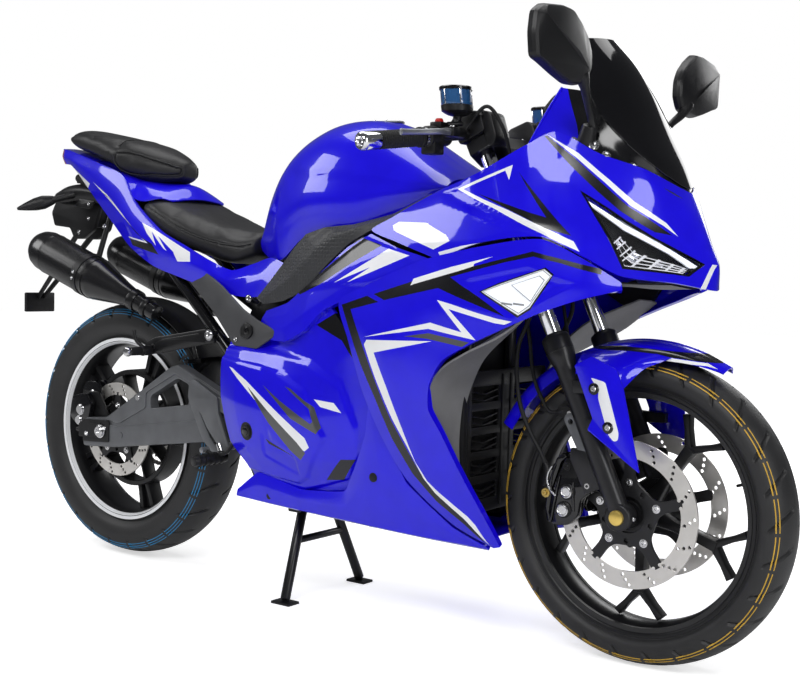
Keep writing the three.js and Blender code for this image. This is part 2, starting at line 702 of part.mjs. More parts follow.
const stemEnds = [CLAMP.lower + 4, CLAMP.upper - SEAT_GAP];
add('lower_clamp', tripleClamp(CLAMP.lower, CLAMP.lowerHeight, ...stemEnds), STEEL);
add('upper_clamp', tripleClamp(CLAMP.upper, CLAMP.upperHeight), STEEL);
add('front_axle', rod(
  [FRONT_AXLE.x, -SLIDER_LUG.outer - 4, FRONT_AXLE.z], [FRONT_AXLE.x, SLIDER_LUG.outer + 4, FRONT_AXLE.z],
  AXLE_RADIUS.front,
), BRIGHT);

const GRIP = { inner: 227, outer: 345, radius: 17 };
const COLLAR = { bottom: CLAMP.upper + CLAMP.upperHeight + SEAT_GAP, height: 30, radius: 25 };
const BAR = { radius: 11, endX: 286, endZ: 967, endY: 372 };
const [BAR_X, , BAR_Z] = fork(COLLAR.bottom + COLLAR.height / 2, -FORK_Y);

// A point of the right-hand bar, at a distance from the bike's middle plane.
function barPoint(y) {
  const share = (y - FORK_Y) / (BAR.endY - FORK_Y);
  return [lerp(BAR_X, BAR.endX, share), -y, lerp(BAR_Z, BAR.endZ, share)];
}

function handlebar() {
  const { bottom, height, radius } = COLLAR;
  const pieces = [
    rod(fork(bottom, -FORK_Y), fork(bottom + height, -FORK_Y), radius, radius, 12),
    rod(barPoint(FORK_Y), barPoint(BAR.endY - 6), BAR.radius, BAR.radius, 8),
    rod(barPoint(GRIP.inner), barPoint(GRIP.outer), GRIP.radius, GRIP.radius, 10),
    rod(barPoint(BAR.endY - 26), barPoint(BAR.endY), 14.5, 14.5, 10),
    rod(barPoint(172), barPoint(222), 20, 20, 10),
  ];
  // lever, its perch and the fluid reservoir
  const perch = barPoint(196);
  const pivot = [perch[0] + 42, perch[1] - 4, perch[2] + 4];
  pieces.push(rod(perch, pivot, 11, 9, 8));
  const knuckle = [pivot[0] + 4, pivot[1] - 30, pivot[2] - 1];
  pieces.push(rod([pivot[0] - 4, pivot[1] + 6, pivot[2]], knuckle, 6, 6, 6));
  pieces.push(rod(knuckle, [pivot[0] - 22, pivot[1] - 140, pivot[2] - 12], 6, 5, 6));
  const cup = [perch[0] + 26, -172, 1036];
  pieces.push(rod([perch[0] + 8, perch[1] + 6, perch[2]], [cup[0], cup[1], cup[2] + 4], 9, 9, 6));
  pieces.push(rod(cup, [cup[0] - 6, cup[1], cup[2] + 50], 27, 27, 12));
  const bore = FORK.tubeRadius + SEAT_GAP;
  const [low, high] = [fork(bottom - 20, -FORK_Y), fork(bottom + height + 20, -FORK_Y)];
  return cut(join(...pieces), rod(low, high, bore, bore, 18));
}

const bar = handlebar();
for (const [name, side] of SIDES) {
  add(`fork_slider_${name}`, forkSlider(side), STEEL);
  add(`fork_tube_${name}`, rod(
    fork(FORK.sliderTop + SEAT_GAP, side * FORK_Y), fork(CLAMP.upper + FORK.tubeAboveClamp, side * FORK_Y),
    FORK.tubeRadius, FORK.tubeRadius, 18,
  ), BRIGHT);
  add(`handlebar_${name}`, onSide(bar, side), BLACK);
  const [x, , z] = fork(96, 0, -74);
  const lean = RAKE + Math.PI / 2;
  add(`front_caliper_${name}`, caliper({ x, z }, FRONT_AXLE, FRONT_DISC, side * 100, lean, 88, 46), BLACK);
}
add('rear_caliper', caliper(
  { x: -777, z: 397 }, REAR_AXLE, REAR_DISC, SEAT_GAP - ARM.inner, 2.4, 66, 44,
), BLACK);

// ---------------------------------------------------------------- front mudguard

const MUDGUARD = { clearance: 29, halfWidth: 72, thickness: 3, frontAngle: 60, rearAngle: 152 };
const MUDGUARD_RADIUS = FRONT_TYRE_RADIUS + MUDGUARD.clearance;
const EAR = [[180, 23], [155, 6], [53, 78], [203, 101]]; // up the fork and ahead of it

function mudguard() {
  const rows = [];
  const arcs = 9;
  for (let i = 0; i <= arcs; i += 1) {
    const share = i / arcs;
    const angle = THREE.MathUtils.degToRad(lerp(MUDGUARD.frontAngle, MUDGUARD.rearAngle, share));
    const taper = 0.30 + 0.70 * Math.min(1, Math.sin(Math.min(1, share * 2.6) * Math.PI / 2));
    const w = MUDGUARD.halfWidth * taper;
    const point = (y, drop) => {
      const r = MUDGUARD_RADIUS - drop;
      return [FRONT_AXLE.x + r * Math.cos(angle), y, FRONT_AXLE.z + r * Math.sin(angle)];
    };
    rows.push([
      point(w, 34 * taper), point(w * 0.93, 10), point(w * 0.5, 2), point(0, 0),
      point(-w * 0.5, 2), point(-w * 0.93, 10), point(-w, 34 * taper),
    ]);
  }
  const arch = sheet(smoothNet(rows, 9, 9), MUDGUARD.thickness);
  // each ear hangs on the slider from a bridge that leaves the arch's edge
  const top = FRONT_AXLE.z + MUDGUARD_RADIUS - 23;
  const rear = FRONT_AXLE.x - 104;
  const front = FRONT_AXLE.x - 6;
  const ears = [-1, 1].map((side) => {
    const inner = side * (FORK_Y + FORK.sliderRadius + SEAT_GAP);
    const outer = inner + side * 4;
    const flag = plate([[rear, top], ...forkOutline(EAR), [front, top]], ...between(inner, outer));
    const bridge = plate(
      [[rear + 10, top], [front, top], [front, top - 8], [rear + 10, top - 8]],
      ...between(side * (MUDGUARD.halfWidth - 6), outer),
    );
    return [flag, bridge];
  });
  const clearance = [-1, 1].map((side) => rod(
    fork(0, side * FORK_Y), fork(FORK.sliderTop + 30, side * FORK_Y),
    FORK.collarRadius + SEAT_GAP, FORK.collarRadius + SEAT_GAP, 14,
  ));
  const slim = [-1, 1].map((side) => rod(
    fork(-60, side * FORK_Y), fork(FORK.sliderTop - FORK.collarLength - 22, side * FORK_Y),
    FORK.sliderRadius + SEAT_GAP, FORK.sliderRadius + SEAT_GAP, 14,
  ));
  return cut(join(arch, ...ears.flat()), clearance[0], clearance[1], slim[0], slim[1]);
}
add('front_mudguard', mudguard(), BLUE);

// ---------------------------------------------------------------- bodywork, right-hand nets

// Each net lists lines of points on the outer face of a panel on the right-hand side.

const COWL = [
  // top edge, then downward; every line runs forward to the centre line of the nose
  [[338, -185, 890], [430, -200, 918], [530, -196, 966], [580, -172, 992], [655, -142, 952],
    [722, -95, 926], [772, 0, 888]],
  [[286, -189, 866], [430, -211, 885], [540, -204, 925], [598, -180, 942], [668, -146, 914],
    [738, -88, 897], [788, 0, 852]],
  [[230, -192, 838], [435, -224, 852], [548, -217, 888], [614, -186, 898], [688, -143, 872],
    [753, -82, 852], [802, 0, 820]],
  [[180, -192, 814], [442, -236, 818], [562, -230, 852], [634, -194, 858], [702, -148, 828],
    [767, -80, 802], [816, 0, 786]],
  [[262, -214, 788], [458, -245, 794], [582, -239, 822], [662, -206, 812], [716, -162, 782],
    [781, -85, 764], [829, 0, 756]],
  [[370, -236, 757], [474, -247, 789], [599, -240, 799], [672, -224, 766], [721, -180, 734],
    [788, -95, 723], [827, 0, 710]],
];

// lines across the fairing, from its rear edge to its front edge
const FAIRING = [
  [[727, -183, 722], [729, -184, 716], [731, -186, 709]],
  [[674, -224, 761], [674, -232, 722], [672, -231, 690]],
  [[599, -242, 795], [606, -252, 728], [606, -247, 666]],
  [[473, -248, 781], [497, -258, 706], [522, -251, 630]],
  [[330, -240, 752], [392, -257, 678], [450, -252, 597]],
  [[207, -228, 708], [300, -248, 646], [395, -250, 566]],
  [[118, -215, 668], [242, -243, 592], [366, -246, 520]],
  [[150, -221, 590], [258, -241, 530], [362, -240, 472]],
  [[187, -221, 495], [286, -236, 464], [385, -232, 430]],
  [[230, -214, 410], [326, -225, 386], [420, -218, 360]],
  [[290, -203, 325], [372, -210, 310], [455, -203, 295]],
  [[393, -189, 248], [437, -193, 246], [480, -188, 245]],
  [[478, -179, 214], [485, -180, 216], [492, -179, 218]],
];

const BELLY = [
  // lines from the top edge down and in under the bike
  [[-198, -166, 244], [-199, -168, 236], [-200, -167, 229], [-196, -150, 225], [-190, -128, 224]],
  [[-133, -170, 290], [-133, -173, 258], [-133, -171, 227], [-130, -152, 220], [-128, -128, 219]],
  [[-3, -180, 268], [-3, -182, 246], [-3, -178, 223], [-3, -156, 215], [-3, -128, 214]],
  [[126, -190, 281], [126, -192, 250], [126, -184, 220], [126, -160, 211], [126, -128, 210]],
  [[186, -207, 400], [186, -203, 306], [195, -188, 218], [195, -162, 209], [195, -128, 208]],
  [[200, -214, 474], [228, -206, 330], [256, -188, 216], [256, -162, 207], [256, -128, 206]],
  [[286, -199, 318], [306, -193, 264], [325, -183, 213], [325, -158, 204], [325, -128, 203]],
  [[388, -185, 242], [396, -183, 226], [402, -178, 211], [400, -154, 202], [398, -128, 201]],
  [[462, -176, 212], [464, -175, 210], [465, -173, 208], [452, -152, 201], [440, -134, 200]],
];

const INNER_PANEL = [
  // lines from the fairing's front edge inward to the grille, top to bottom
  [[600, -236, 682], [596, -226, 684], [592, -214, 686]],
  [[520, -245, 622], [500, -222, 626], [480, -196, 628]],
  [[446, -246, 586], [424, -214, 586], [405, -180, 584]],
  [[390, -243, 552], [384, -206, 540], [379, -164, 530]],
  [[360, -238, 512], [368, -200, 490], [374, -154, 470]],
  [[358, -233, 470], [368, -194, 440], [376, -150, 410]],
  [[382, -225, 424], [378, -188, 390], [378, -150, 350]],
  [[416, -210, 356], [398, -180, 330], [384, -152, 296]],
  [[450, -195, 290], [420, -174, 274], [392, -154, 256]],
  [[474, -181, 242], [440, -168, 234], [410, -152, 226]],
];

const FRAME_COVER = [
  // lines from the rear lower end forward and upward; each crosses the cover downward
  [[-171, -143, 668], [-160, -146, 661], [-150, -146, 654]],
  [[-132, -146, 704], [-110, -158, 684], [-86, -158, 662]],
  [[-92, -150, 742], [-56, -168, 712], [-24, -170, 682]],
  [[-56, -156, 776], [-14, -176, 742], [22, -178, 714]],
  [[-17, -162, 806], [30, -182, 776], [70, -184, 752]],
  [[40, -168, 820], [84, -184, 804], [120, -186, 788]],
  [[120, -172, 826], [150, -184, 822], [172, -188, 812]],
  [[220, -174, 846], [232, -184, 842], [242, -186, 834]],
  [[315, -180, 884], [318, -183, 878], [322, -184, 872]],
];

const MID_PANEL = [
  // lines from the rear forward, the top one first
  [[-136, -150, 640], [-60, -168, 660], [20, -182, 710], [120, -190, 780], [178, -190, 806]],
  [[-146, -154, 622], [-60, -178, 636], [20, -192, 678], [140, -203, 744], [262, -214, 778]],
  [[-150, -156, 600], [-60, -184, 606], [10, -198, 640], [140, -210, 704], [362, -228, 752]],
  [[-152, -156, 580], [-50, -186, 578], [10, -198, 604], [70, -205, 650], [206, -218, 700]],
];

const SIDE_COVER = [
  // lines from the rear forward, the top one first; top, front and foot lap behind their neighbours
  [[-244, -148, 566], [-190, -148, 590], [-124, -139, 602], [-40, -167, 602], [24, -187, 624],
    [74, -194, 664]],
  [[-250, -158, 520], [-190, -172, 522], [-110, -181, 514], [0, -195, 506], [84, -201, 532],
    [160, -208, 580]],
  [[-247, -160, 446], [-190, -178, 440], [-100, -190, 430], [10, -200, 424], [112, -204, 432],
    [212, -198, 466]],
  [[-216, -160, 352], [-160, -176, 350], [-80, -188, 345], [20, -195, 338], [108, -198, 342],
    [206, -190, 374]],
  [[-162, -160, 303], [-110, -170, 300], [-60, -176, 300], [0, -178, 294], [80, -182, 300],
    [170, -184, 320]],
  [[-150, -153, 276], [-110, -159, 268], [-60, -162, 260], [0, -163, 252], [80, -170, 258],
    [160, -177, 290]],
];

const TAIL = [
  // top edge first, each line running forward
  [[-948, -48, 1027], [-880, -70, 1014], [-760, -92, 984], [-650, -108, 948], [-585, -122, 880],
    [-480, -136, 812], [-400, -140, 780], [-330, -137, 750], [-272, -118, 726],
    [-222, -100, 742], [-160, -112, 756], [-108, -126, 744]],
  [[-950, -50, 1010], [-890, -74, 998], [-775, -94, 950], [-680, -112, 895], [-600, -128, 830],
    [-500, -140, 780], [-410, -144, 752], [-330, -143, 726], [-275, -132, 704],
    [-222, -124, 712], [-170, -128, 716], [-132, -134, 708]],
  [[-944, -46, 990], [-899, -62, 984], [-790, -80, 902], [-700, -97, 836], [-620, -112, 778],
    [-520, -128, 732], [-420, -134, 706], [-330, -135, 684], [-280, -134, 674],
    [-230, -133, 668], [-195, -134, 668], [-168, -138, 670]],
];

const turnedNet = (net) => net[0].map((_, k) => net.map((row) => row[k]));

const HEADLAMP = [
  [622, -165, 882], [698, -130, 832], [741, -95, 801], [819, -35, 758],
  [797, -62, 735], [712, -163, 745], [692, -175, 800],
];
const HEADLAMP_AIM = [-0.75, 0.62, -0.1];
const POSITION_LAMP = [
  [478, -250, 699], [520, -250, 716], [612, -250, 745], [628, -250, 733], [584, -250, 670], [558, -250, 655],
];
const POSITION_LAMP_AIM = [-0.25, 1, 0];

function grown(outline, by) {
  const middle = new THREE.Vector3();
  outline.forEach((p) => middle.addScaledVector(vector(p), 1 / outline.length));
  return outline.map((p) => {
    const arm = vector(p).sub(middle);
    return arm.clone().multiplyScalar(1 + by / arm.length()).add(middle).toArray();
  });
}

const mirrorPoint = ([x, y, z]) => [x, -y, z];

// Lines that run forward to the centre line, carried on round the other side.
const acrossNose = (net) => net.map((row) => [...row, ...row.slice(0, -1).reverse().map(mirrorPoint)]);

// Lines that run forward from the tail, joined round the back to those of the other side.
const acrossTail = (net) => net.slice().reverse().map((row) => [
  ...row.slice().reverse(), [row[0][0] - 9, 0, row[0][2]], ...row.map(mirrorPoint),
]);

const cowlNet = smoothNet(acrossNose(COWL), 21, 8);
const fairingNet = smoothNet(turnedNet(FAIRING.slice().reverse()), 19, 5);
const tailNet = smoothNet(acrossTail(TAIL), 31, 4);
const frameCoverNet = smoothNet(turnedNet(FRAME_COVER), 11, 4);
const midPanelNet = smoothNet(MID_PANEL, 9, 5);
const sideCoverNet = smoothNet(SIDE_COVER, 10, 7);
const bellyNet = smoothNet(turnedNet(BELLY), 11, 5);

const headlampHole = prism(grown(HEADLAMP, 0.6), HEADLAMP_AIM, 90, 60);
const headlampPlug = prism(HEADLAMP, HEADLAMP_AIM, 90, 60);
const lampHole = prism(grown(POSITION_LAMP, 0.6), POSITION_LAMP_AIM, 60, 60);
const lampPlug = prism(POSITION_LAMP, POSITION_LAMP_AIM, 60, 60);

const upperCowl = sheet(cowlNet, PANEL_THICKNESS);
const tailCowl = sheet(tailNet, PANEL_THICKNESS);

const pairs = {
  side_fairing: [cut(sheet(fairingNet, PANEL_THICKNESS), lampHole), BLUE],
  headlamp: [common(sheet(cowlNet, 10), headlampPlug), LENS],
  position_lamp: [common(sheet(fairingNet, 9), lampPlug), LENS],
  frame_cover: [sheet(frameCoverNet, PANEL_THICKNESS), GREY],
  mid_panel: [sheet(midPanelNet, PANEL_THICKNESS), BLUE],
  side_cover: [sheet(sideCoverNet, PANEL_THICKNESS), BLUE],
};
for (const [label, [geometry, material]] of Object.entries(pairs)) {
  for (const [name, side] of SIDES) {
    add(`${label}_${name}`, onSide(geometry, side), material);
  }
}
add('upper_cowl', cut(upperCowl, headlampHole, mirrored(headlampHole)), BLUE);
add('tail_cowl', tailCowl, BLUE);

const bellyHalf = sheet(bellyNet, PANEL_THICKNESS);
add('belly_pan', join(bellyHalf, mirrored(bellyHalf), box([150, 400], [-140, 140], [203.5, 206.5])), BLUE);

// the panel behind the front wheel: a louvred grille between two inner panels
const GRILLE = { back: 376, front: 388, halfWidth: 156, low: 258, high: 540, slots: 5 };

function shroud() {
  const inner = sheet(smoothNet(turnedNet(INNER_PANEL), 11, 4), PANEL_THICKNESS);
  const { back, front, halfWidth, low, high, slots } = GRILLE;
  const openings = [];
  const pitch = (high - low - 40) / slots;
  for (const [, side] of SIDES) {
    for (let i = 0; i < slots; i += 1) {
      const z = low + 26 + i * pitch;
      const y = between(side * 30, side * 128);
      openings.push(box([back - 9, front + 9], y, [z, z + pitch - 16]));
    }
  }
  const wall = box([back, front], [-halfWidth, halfWidth], [low, high]);
  return cut(join(wall, inner, mirrored(inner)), ...openings);
}
add('radiator_shroud', shroud(), GREY);

// ---------------------------------------------------------------- tank and seats

// Half outline of a body's section, from the top centre line round to the bottom one.
function section(x, top, wide, shoulder, bottom, base) {
  const rise = top - shoulder;
  return {
    x,
    half: [
      [0, top], [wide * 0.42, top - rise * 0.07], [wide * 0.8, top - rise * 0.36], [wide, shoulder],
      [(wide + base) / 2 + 2, (shoulder + bottom) / 2], [base, bottom], [0, bottom],
    ],
  };
}

const TANK = [
  section(-236, 812, 62, 796, 772, 58),
  section(-190, 930, 92, 835, 756, 84),
  section(-130, 1000, 126, 858, 752, 112),
  section(-40, 1044, 153, 880, 803, 136),
  section(40, 1056, 165, 888, 803, 148),
  section(110, 1047, 165, 890, 803, 150),
  section(180, 1008, 158, 895, 842, 148),
  section(260, 956, 146, 900, 862, 138),
  section(318, 922, 132, 900, 888, 124),
];
const RIDER_SEAT = [
  section(-606, 872, 92, 862, 846, 86),
  section(-560, 900, 128, 872, 836, 122),
  section(-460, 868, 138, 836, 790, 132),
  section(-360, 834, 130, 798, 760, 122),
  section(-290, 816, 102, 786, 744, 96),
  section(-244, 814, 72, 790, 762, 66),
];
const PILLION = [
  section(-930, 1066, 52, 1056, 1036, 46),
  section(-880, 1074, 80, 1050, 1020, 74),
  section(-800, 1062, 97, 1034, 998, 91),
  section(-720, 1046, 104, 1014, 970, 97),
  section(-640, 1028, 94, 992, 944, 86),
  section(-575, 1008, 66, 974, 936, 58),
  section(-526, 988, 30, 968, 944, 25),
];

const tankBody = symmetricBody(TANK, 13);
const pillionBody = symmetricBody(PILLION, 9);
const tailRoom = sheetRoom(tailNet);
const railRoom = [seatBridge(SEAT_GAP), ...SIDES.flatMap(([, side]) => seatRails(side, SEAT_GAP))];
add('tank', cut(tankBody, tailRoom), BLUE);
add('rider_seat', cut(symmetricBody(RIDER_SEAT, 9), tailRoom, ...railRoom), VINYL);
add('pillion_seat', cut(pillionBody, tailRoom, ...railRoom), VINYL);

// ---------------------------------------------------------------- screen, mirrors, dash

const SCREEN = [
  [[574, -57, 1178], [591, -31, 1180], [600, 0, 1181]],
  [[590, -86, 1122], [629, -50, 1130], [646, 0, 1130]],
  [[612, -106, 1066], [664, -62, 1072], [684, 0, 1071]],
  [[650, -117, 1016], [697, -68, 1012], [716, 0, 1008]],
  [[694, -112, 972], [730, -68, 956], [748, 0, 944]],
  [[724, -97, 944], [752, -56, 914], [768, 0, 896]],
];
// The base laps under the screen's edge at its top and under the cowl's edge at its bottom.
const SCREEN_LAP = 3.4;
const screenEdge = [...SCREEN.slice(2).map((row) => row[0]), ...SCREEN[SCREEN.length - 1].slice(1)];
const SCREEN_BASE = [
  [[556, -108, 1080], ...screenEdge.map(([x, y, z]) => [x - SCREEN_LAP, y - Math.sign(y) * SCREEN_LAP, z])],
  [[548, -142, 1036], [590, -138, 1002], [640, -132, 972], [680, -116, 946], [712, -94, 924],
    [750, -54, 896], [769, 0, 880]],
  [[538, -190, 970], [588, -171, 968], [640, -148, 944], [688, -124, 928], [728, -91, 907],
    [764, -50, 882], [777, 0, 866]],
];
const screenNet = smoothNet(acrossNose(SCREEN), 11, 7);
const screenBaseNet = smoothNet(acrossNose(SCREEN_BASE), 19, 4);
const screenBase = largest(cut(sheet(screenBaseNet, 3), sheetRoom(cowlNet), sheet(screenNet, 3, SEAT_GAP)));
add('windscreen', sheet(screenNet, 3), SMOKE);
add('screen_base', screenBase, BLACK);

const MIRROR_OUTLINE = [
  [-232, 1062], [-300, 1066], [-372, 1084], [-385, 1096], [-386, 1130], [-366, 1174],
  [-300, 1190], [-250, 1187], [-226, 1170], [-196, 1112], [-194, 1084],
];
const MIRROR = { x: 640, depth: 34, pivot: [634, -134, 1004] };
const screenBaseRoom = sheet(screenBaseNet, 3, SEAT_GAP);

function mirror() {
  const middle = [-290, 1126];
  const ring = (x, scale) => MIRROR_OUTLINE.map(([y, z]) => new THREE.Vector3(
    x, middle[0] + (y - middle[0]) * scale, middle[1] + (z - middle[1]) * scale,
  ));
  const head = loft([
    ring(MIRROR.x, 0.97), ring(MIRROR.x + 5, 1), ring(MIRROR.x + MIRROR.depth * 0.55, 0.9),
    ring(MIRROR.x + MIRROR.depth, 0.45),
  ]);
  const [x, y, z] = MIRROR.pivot;
  const neck = MIRROR.x + 14;
  const route = [[x, y, z], [x + 4, y - 30, z + 30], [neck, -212, 1068], [neck, -240, 1092]];
  const stalk = bentBar(route, 8, 5, 6);
  const foot = rod([x, y, z + 6], [x - 22, y + 10, z - 28], 13, 15, 10);
  return largest(cut(join(head, stalk, foot), screenBaseRoom));
}
const mirrorPiece = mirror();
for (const [name, side] of SIDES) {
  add(`mirror_${name}`, onSide(mirrorPiece, side), BLACK);
}

const DASH = { x: 490, z: 1036, width: 150, height: 74, depth: 26, lean: 0.9 };
function dash() {
  const body = new THREE.BoxGeometry(DASH.depth, DASH.width, DASH.height);
  body.rotateY(-DASH.lean);
  return body.translate(DASH.x, 0, DASH.z);
}
add('instrument_panel', dash(), BLACK);

// ---------------------------------------------------------------- tail end

const TAIL_LIGHT = [
  [[-944, -43, 1016], [-944, 43, 1016], [-944, 43, 1000], [-944, -43, 1000]],
  [[-966, -34, 1015], [-966, 34, 1015], [-966, 33, 1000], [-966, -33, 1000]],
  [[-972, -22, 1014], [-972, 22, 1014], [-971, 21, 1001], [-971, -21, 1001]],
].map((ring) => ring.map(vector));
add('tail_light', largest(cut(loft(TAIL_LIGHT), tailRoom)), RED);

const UNDERTAIL = [
  section(-700, 898, 44, 886, 868, 36),
  section(-780, 922, 52, 906, 880, 44),
  section(-870, 939, 56, 922, 896, 50),
  section(-940, 938, 50, 920, 892, 44), section(-1000, 922, 34, 910, 892, 28),
];
const INDICATOR = { root: [-900, -44, 912], tip: [-982, -166, 868] };

function undertail() {
  const pieces = [symmetricBody(UNDERTAIL, 7)];
  for (const [, side] of SIDES) {
    const at = ([x, y, z], share) => [
      INDICATOR.root[0] + (x - INDICATOR.root[0]) * share,
      -side * (INDICATOR.root[1] + (y - INDICATOR.root[1]) * share),
      INDICATOR.root[2] + (z - INDICATOR.root[2]) * share,
    ];
    pieces.push(rod(at(INDICATOR.tip, -0.1), at(INDICATOR.tip, 0.42), 11, 9, 6));
    pieces.push(rod(at(INDICATOR.tip, 0.4), at(INDICATOR.tip, 0.62), 11, 17, 8));
    pieces.push(rod(at(INDICATOR.tip, 0.62), at(INDICATOR.tip, 1), 17, 5, 8));
    pieces.push(rod([-985, side * 20, 905], [-1100, side * 6, 650], 8, 8, 6));
  }
  pieces.push(box([-1110, -1098], [-44, 44], [600, 652]));
  return cut(join(...pieces), box([-906, -881], [-41, 41], [939.7, 963]), ...railRoom);
}
add('undertail', undertail(), BLACK);

// ---------------------------------------------------------------- silencers, mudguard, footrests

const SILENCER = {
  rear: [-928, -128, 770], front: [-722, -128, 697], nose: [-600, -124, 655], pipe: [-520, -112, 618],
  radius: 52, noseRadius: 24,
};

function silencer() {
  const { rear, front, nose, pipe, radius, noseRadius } = SILENCER;
  const pieces = [
    rod(rear, front, radius, radius, 14),
    rod([rear[0] - 16, rear[1], rear[2] + 6], [rear[0] + 1, rear[1], rear[2]], radius * 0.82, radius, 14),
    rod(front, nose, radius, noseRadius, 14),
    rod(nose, pipe, noseRadius, noseRadius - 4, 10),
    rod([-748, -104, 730], [-722, -74, 884], 7, 7, 6),
  ];
  return cut(join(...pieces), ...railRoom);
}
const silencerPiece = silencer();
for (const [name, side] of SIDES) {
  add(`silencer_${name}`, onSide(silencerPiece, side), BLACK);
}

const HUGGER = { clearance: 16, halfWidth: 62, thickness: 3, frontAngle: 36, rearAngle: 96 };

function hugger() {
  const rows = [];
  const at = (degrees, drop) => {
    const angle = THREE.MathUtils.degToRad(degrees);
    const r = REAR_TYRE_RADIUS + HUGGER.clearance - drop;
    return [REAR_AXLE.x + r * Math.cos(angle), REAR_AXLE.z + r * Math.sin(angle)];
  };
  const across = [[1, 12], [0.6, 2], [0, 0], [-0.6, 2], [-1, 12]]; // share of the half width, and the drop
  for (let i = 0; i <= 5; i += 1) {
    const degrees = lerp(HUGGER.frontAngle, HUGGER.rearAngle, i / 5);
    rows.push(across.map(([share, drop]) => {
      const [x, z] = at(degrees, drop);
      return [x, share * HUGGER.halfWidth, z];
    }));
  }
  // two legs stand on the top of the swingarm
  const [armX, armZ] = ARM_OUTLINE[ARM_TOP];
  const [legX, legZ] = at(HUGGER.frontAngle + 6, 4);
  const legs = SIDES.flatMap(([, side]) => [
    box([armX - 8, armX + 6], between(side * 54, side * (ARM.inner + 6)), [armZ + 0.5, armZ + 10.5]),
    rod([armX - 2, side * 60, armZ + 6], [legX, side * 54, legZ], 5, 5, 6),
  ]);
  return join(sheet(smoothNet(rows, 7, 8), HUGGER.thickness), ...legs);
}
add('rear_mudguard', hugger(), GREY);

function footrest() {
  const low = -ARM.outer - 10;
  const outline = [
    [-388, 464], [-294, 436], [-226, 418], [-212, 356], [-252, 324], [-276, 296], [-300, 300], [-343, 336],
  ];
  return join(
    plate(outline, low, low + 7),
    rod([-232, -SPAR.outer - SEAT_GAP, 400], [-232, low + 3, 400], 12),
    rod([-272, low + 5, 312], [-288, -216, 300], 13, 12, 12),
  );
}
const footrestPiece = footrest();
for (const [name, side] of SIDES) {
  add(`footrest_${name}`, onSide(footrestPiece, side), ALLOY);
}

// ---------------------------------------------------------------- centre stand

function centreStand() {
  const { pivotX, pivotZ, tubeRadius, footForward, topHalf, footHalf, pinRadius } = STAND;
  const pieces = [
    rod([pivotX, -topHalf, pivotZ], [pivotX, topHalf, pivotZ], tubeRadius, tubeRadius, 14),
    rod([pivotX, -topHalf - 32, pivotZ], [pivotX, topHalf + 32, pivotZ], pinRadius, pinRadius, 12),
    rod([pivotX + 8, -topHalf - 24, 130], [pivotX + 8, topHalf + 24, 130], 8, 8, 10),
  ];
  for (const [, side] of SIDES) {
    const foot = pivotX + footForward;
    const top = [pivotX, side * (topHalf - 8), pivotZ];
    pieces.push(rod(top, [foot, side * footHalf, 9], tubeRadius, tubeRadius, 10));
    const y = between(side * (footHalf - 18), side * (footHalf + 18));
    pieces.push(box([foot - 26, foot + 26], y, [0, 6]));
  }
  return join(...pieces);
}
add('centre_stand', centreStand(), STEEL);

// ---------------------------------------------------------------- brake hoses

function brakeHose() {
  const y = -FORK_Y + 14;
  return bentBar([
    fork(141, y - 2, -74), fork(190, y, -70), fork(260, y + 4, -48), fork(360, y + 6, -44),
    fork(430, y + 2, -34), fork(CLAMP.lower - 2 * SEAT_GAP, y, -30),
  ], 4, 12, 8);
}
const brakeHosePiece = brakeHose();
for (const [name, side] of SIDES) {
  add(`brake_hose_${name}`, onSide(brakeHosePiece, side), BLACK);
}

// ---------------------------------------------------------------- frame with its brackets

// Bosses on the right-hand side, each with the piece that it reaches out to.
const bosses = [
  { from: [345, -80, 505], to: [325, -243, 505], radius: 7, room: sheetRoom(fairingNet) },
  { from: [126, -80, 228], to: [126, -191, 248], radius: 7, room: sheetRoom(bellyNet) },
  { from: [-205, -110, 520], to: [-190, -171, 520], radius: 7, room: sheetRoom(sideCoverNet) },
  { from: [30, -115, 745], to: [30, -183, 768], radius: 7, room: sheetRoom(frameCoverNet) },
  { from: [0, -115, 640], to: [10, -198, 640], radius: 7, room: sheetRoom(midPanelNet) },
  { from: [-500, -92, 790], to: [-500, -141, 780], radius: 7, room: sheetRoom(tailNet) },
  { from: [560, 0, 905], to: [667, -147, 914], radius: 8, room: sheetRoom(cowlNet) },
  { from: [-640, -72, 856], to: [-640, -72, 960], radius: 9, room: below(pillionBody) },
  { from: [40, -109, 740], to: [40, -109, 810], radius: 10, room: below(tankBody) },
];
const HANGER = [[-330, 592], [-300, 562], [-480, 528], [-530, 520], [-535, 548], [-500, 564]];
const PIVOT_PLATE = [
  [-328, 644], [-232, 551], [-184, 552], [-158, 586], [-179, 610], [-206, 620], [-300, 652],
];

function brackets() {
  const stalk = cut(rod([550, 0, 900], [DASH.x - 4, 0, DASH.z - 12], 8, 8, 6), below(dash()));
  const pieces = [rod([423, 0, 865], [562, 0, 905], 12, 10, 8), stalk];
  for (const [, side] of SIDES) {
    for (const { from, to, radius, room } of bosses) {
      pieces.push(onSide(largest(cut(rod(from, to, radius, radius, 6), room)), side));
    }
    pieces.push(rod([345, side * 80, 373], [GRILLE.back - SEAT_GAP, side * 80, 373], 6, 6, 6));
    pieces.push(rod([-322, side * 107, 576], [-322, side * 136, 576], 10, 10, 6));
    pieces.push(plate(HANGER, ...between(side * 130, side * 138)));
    pieces.push(rod([-505, side * 134, 535], [-518, side * 205, 531], 11, 11, 8));
    pieces.push(plate(PIVOT_PLATE, ...between(side * (SPAR.outer - 2), side * (SPAR.outer + 10))));
  }
  return pieces;
}
add('main_frame', join(mainFrame(), ...brackets()), STEEL);

// ---------------------------------------------------------------- placing

// The finished model stands with its overall length centred on X = 0.
const overall = new THREE.Box3().setFromObject(bike);
bike.position.x = -(overall.min.x + overall.max.x) / 2;

export default bike;
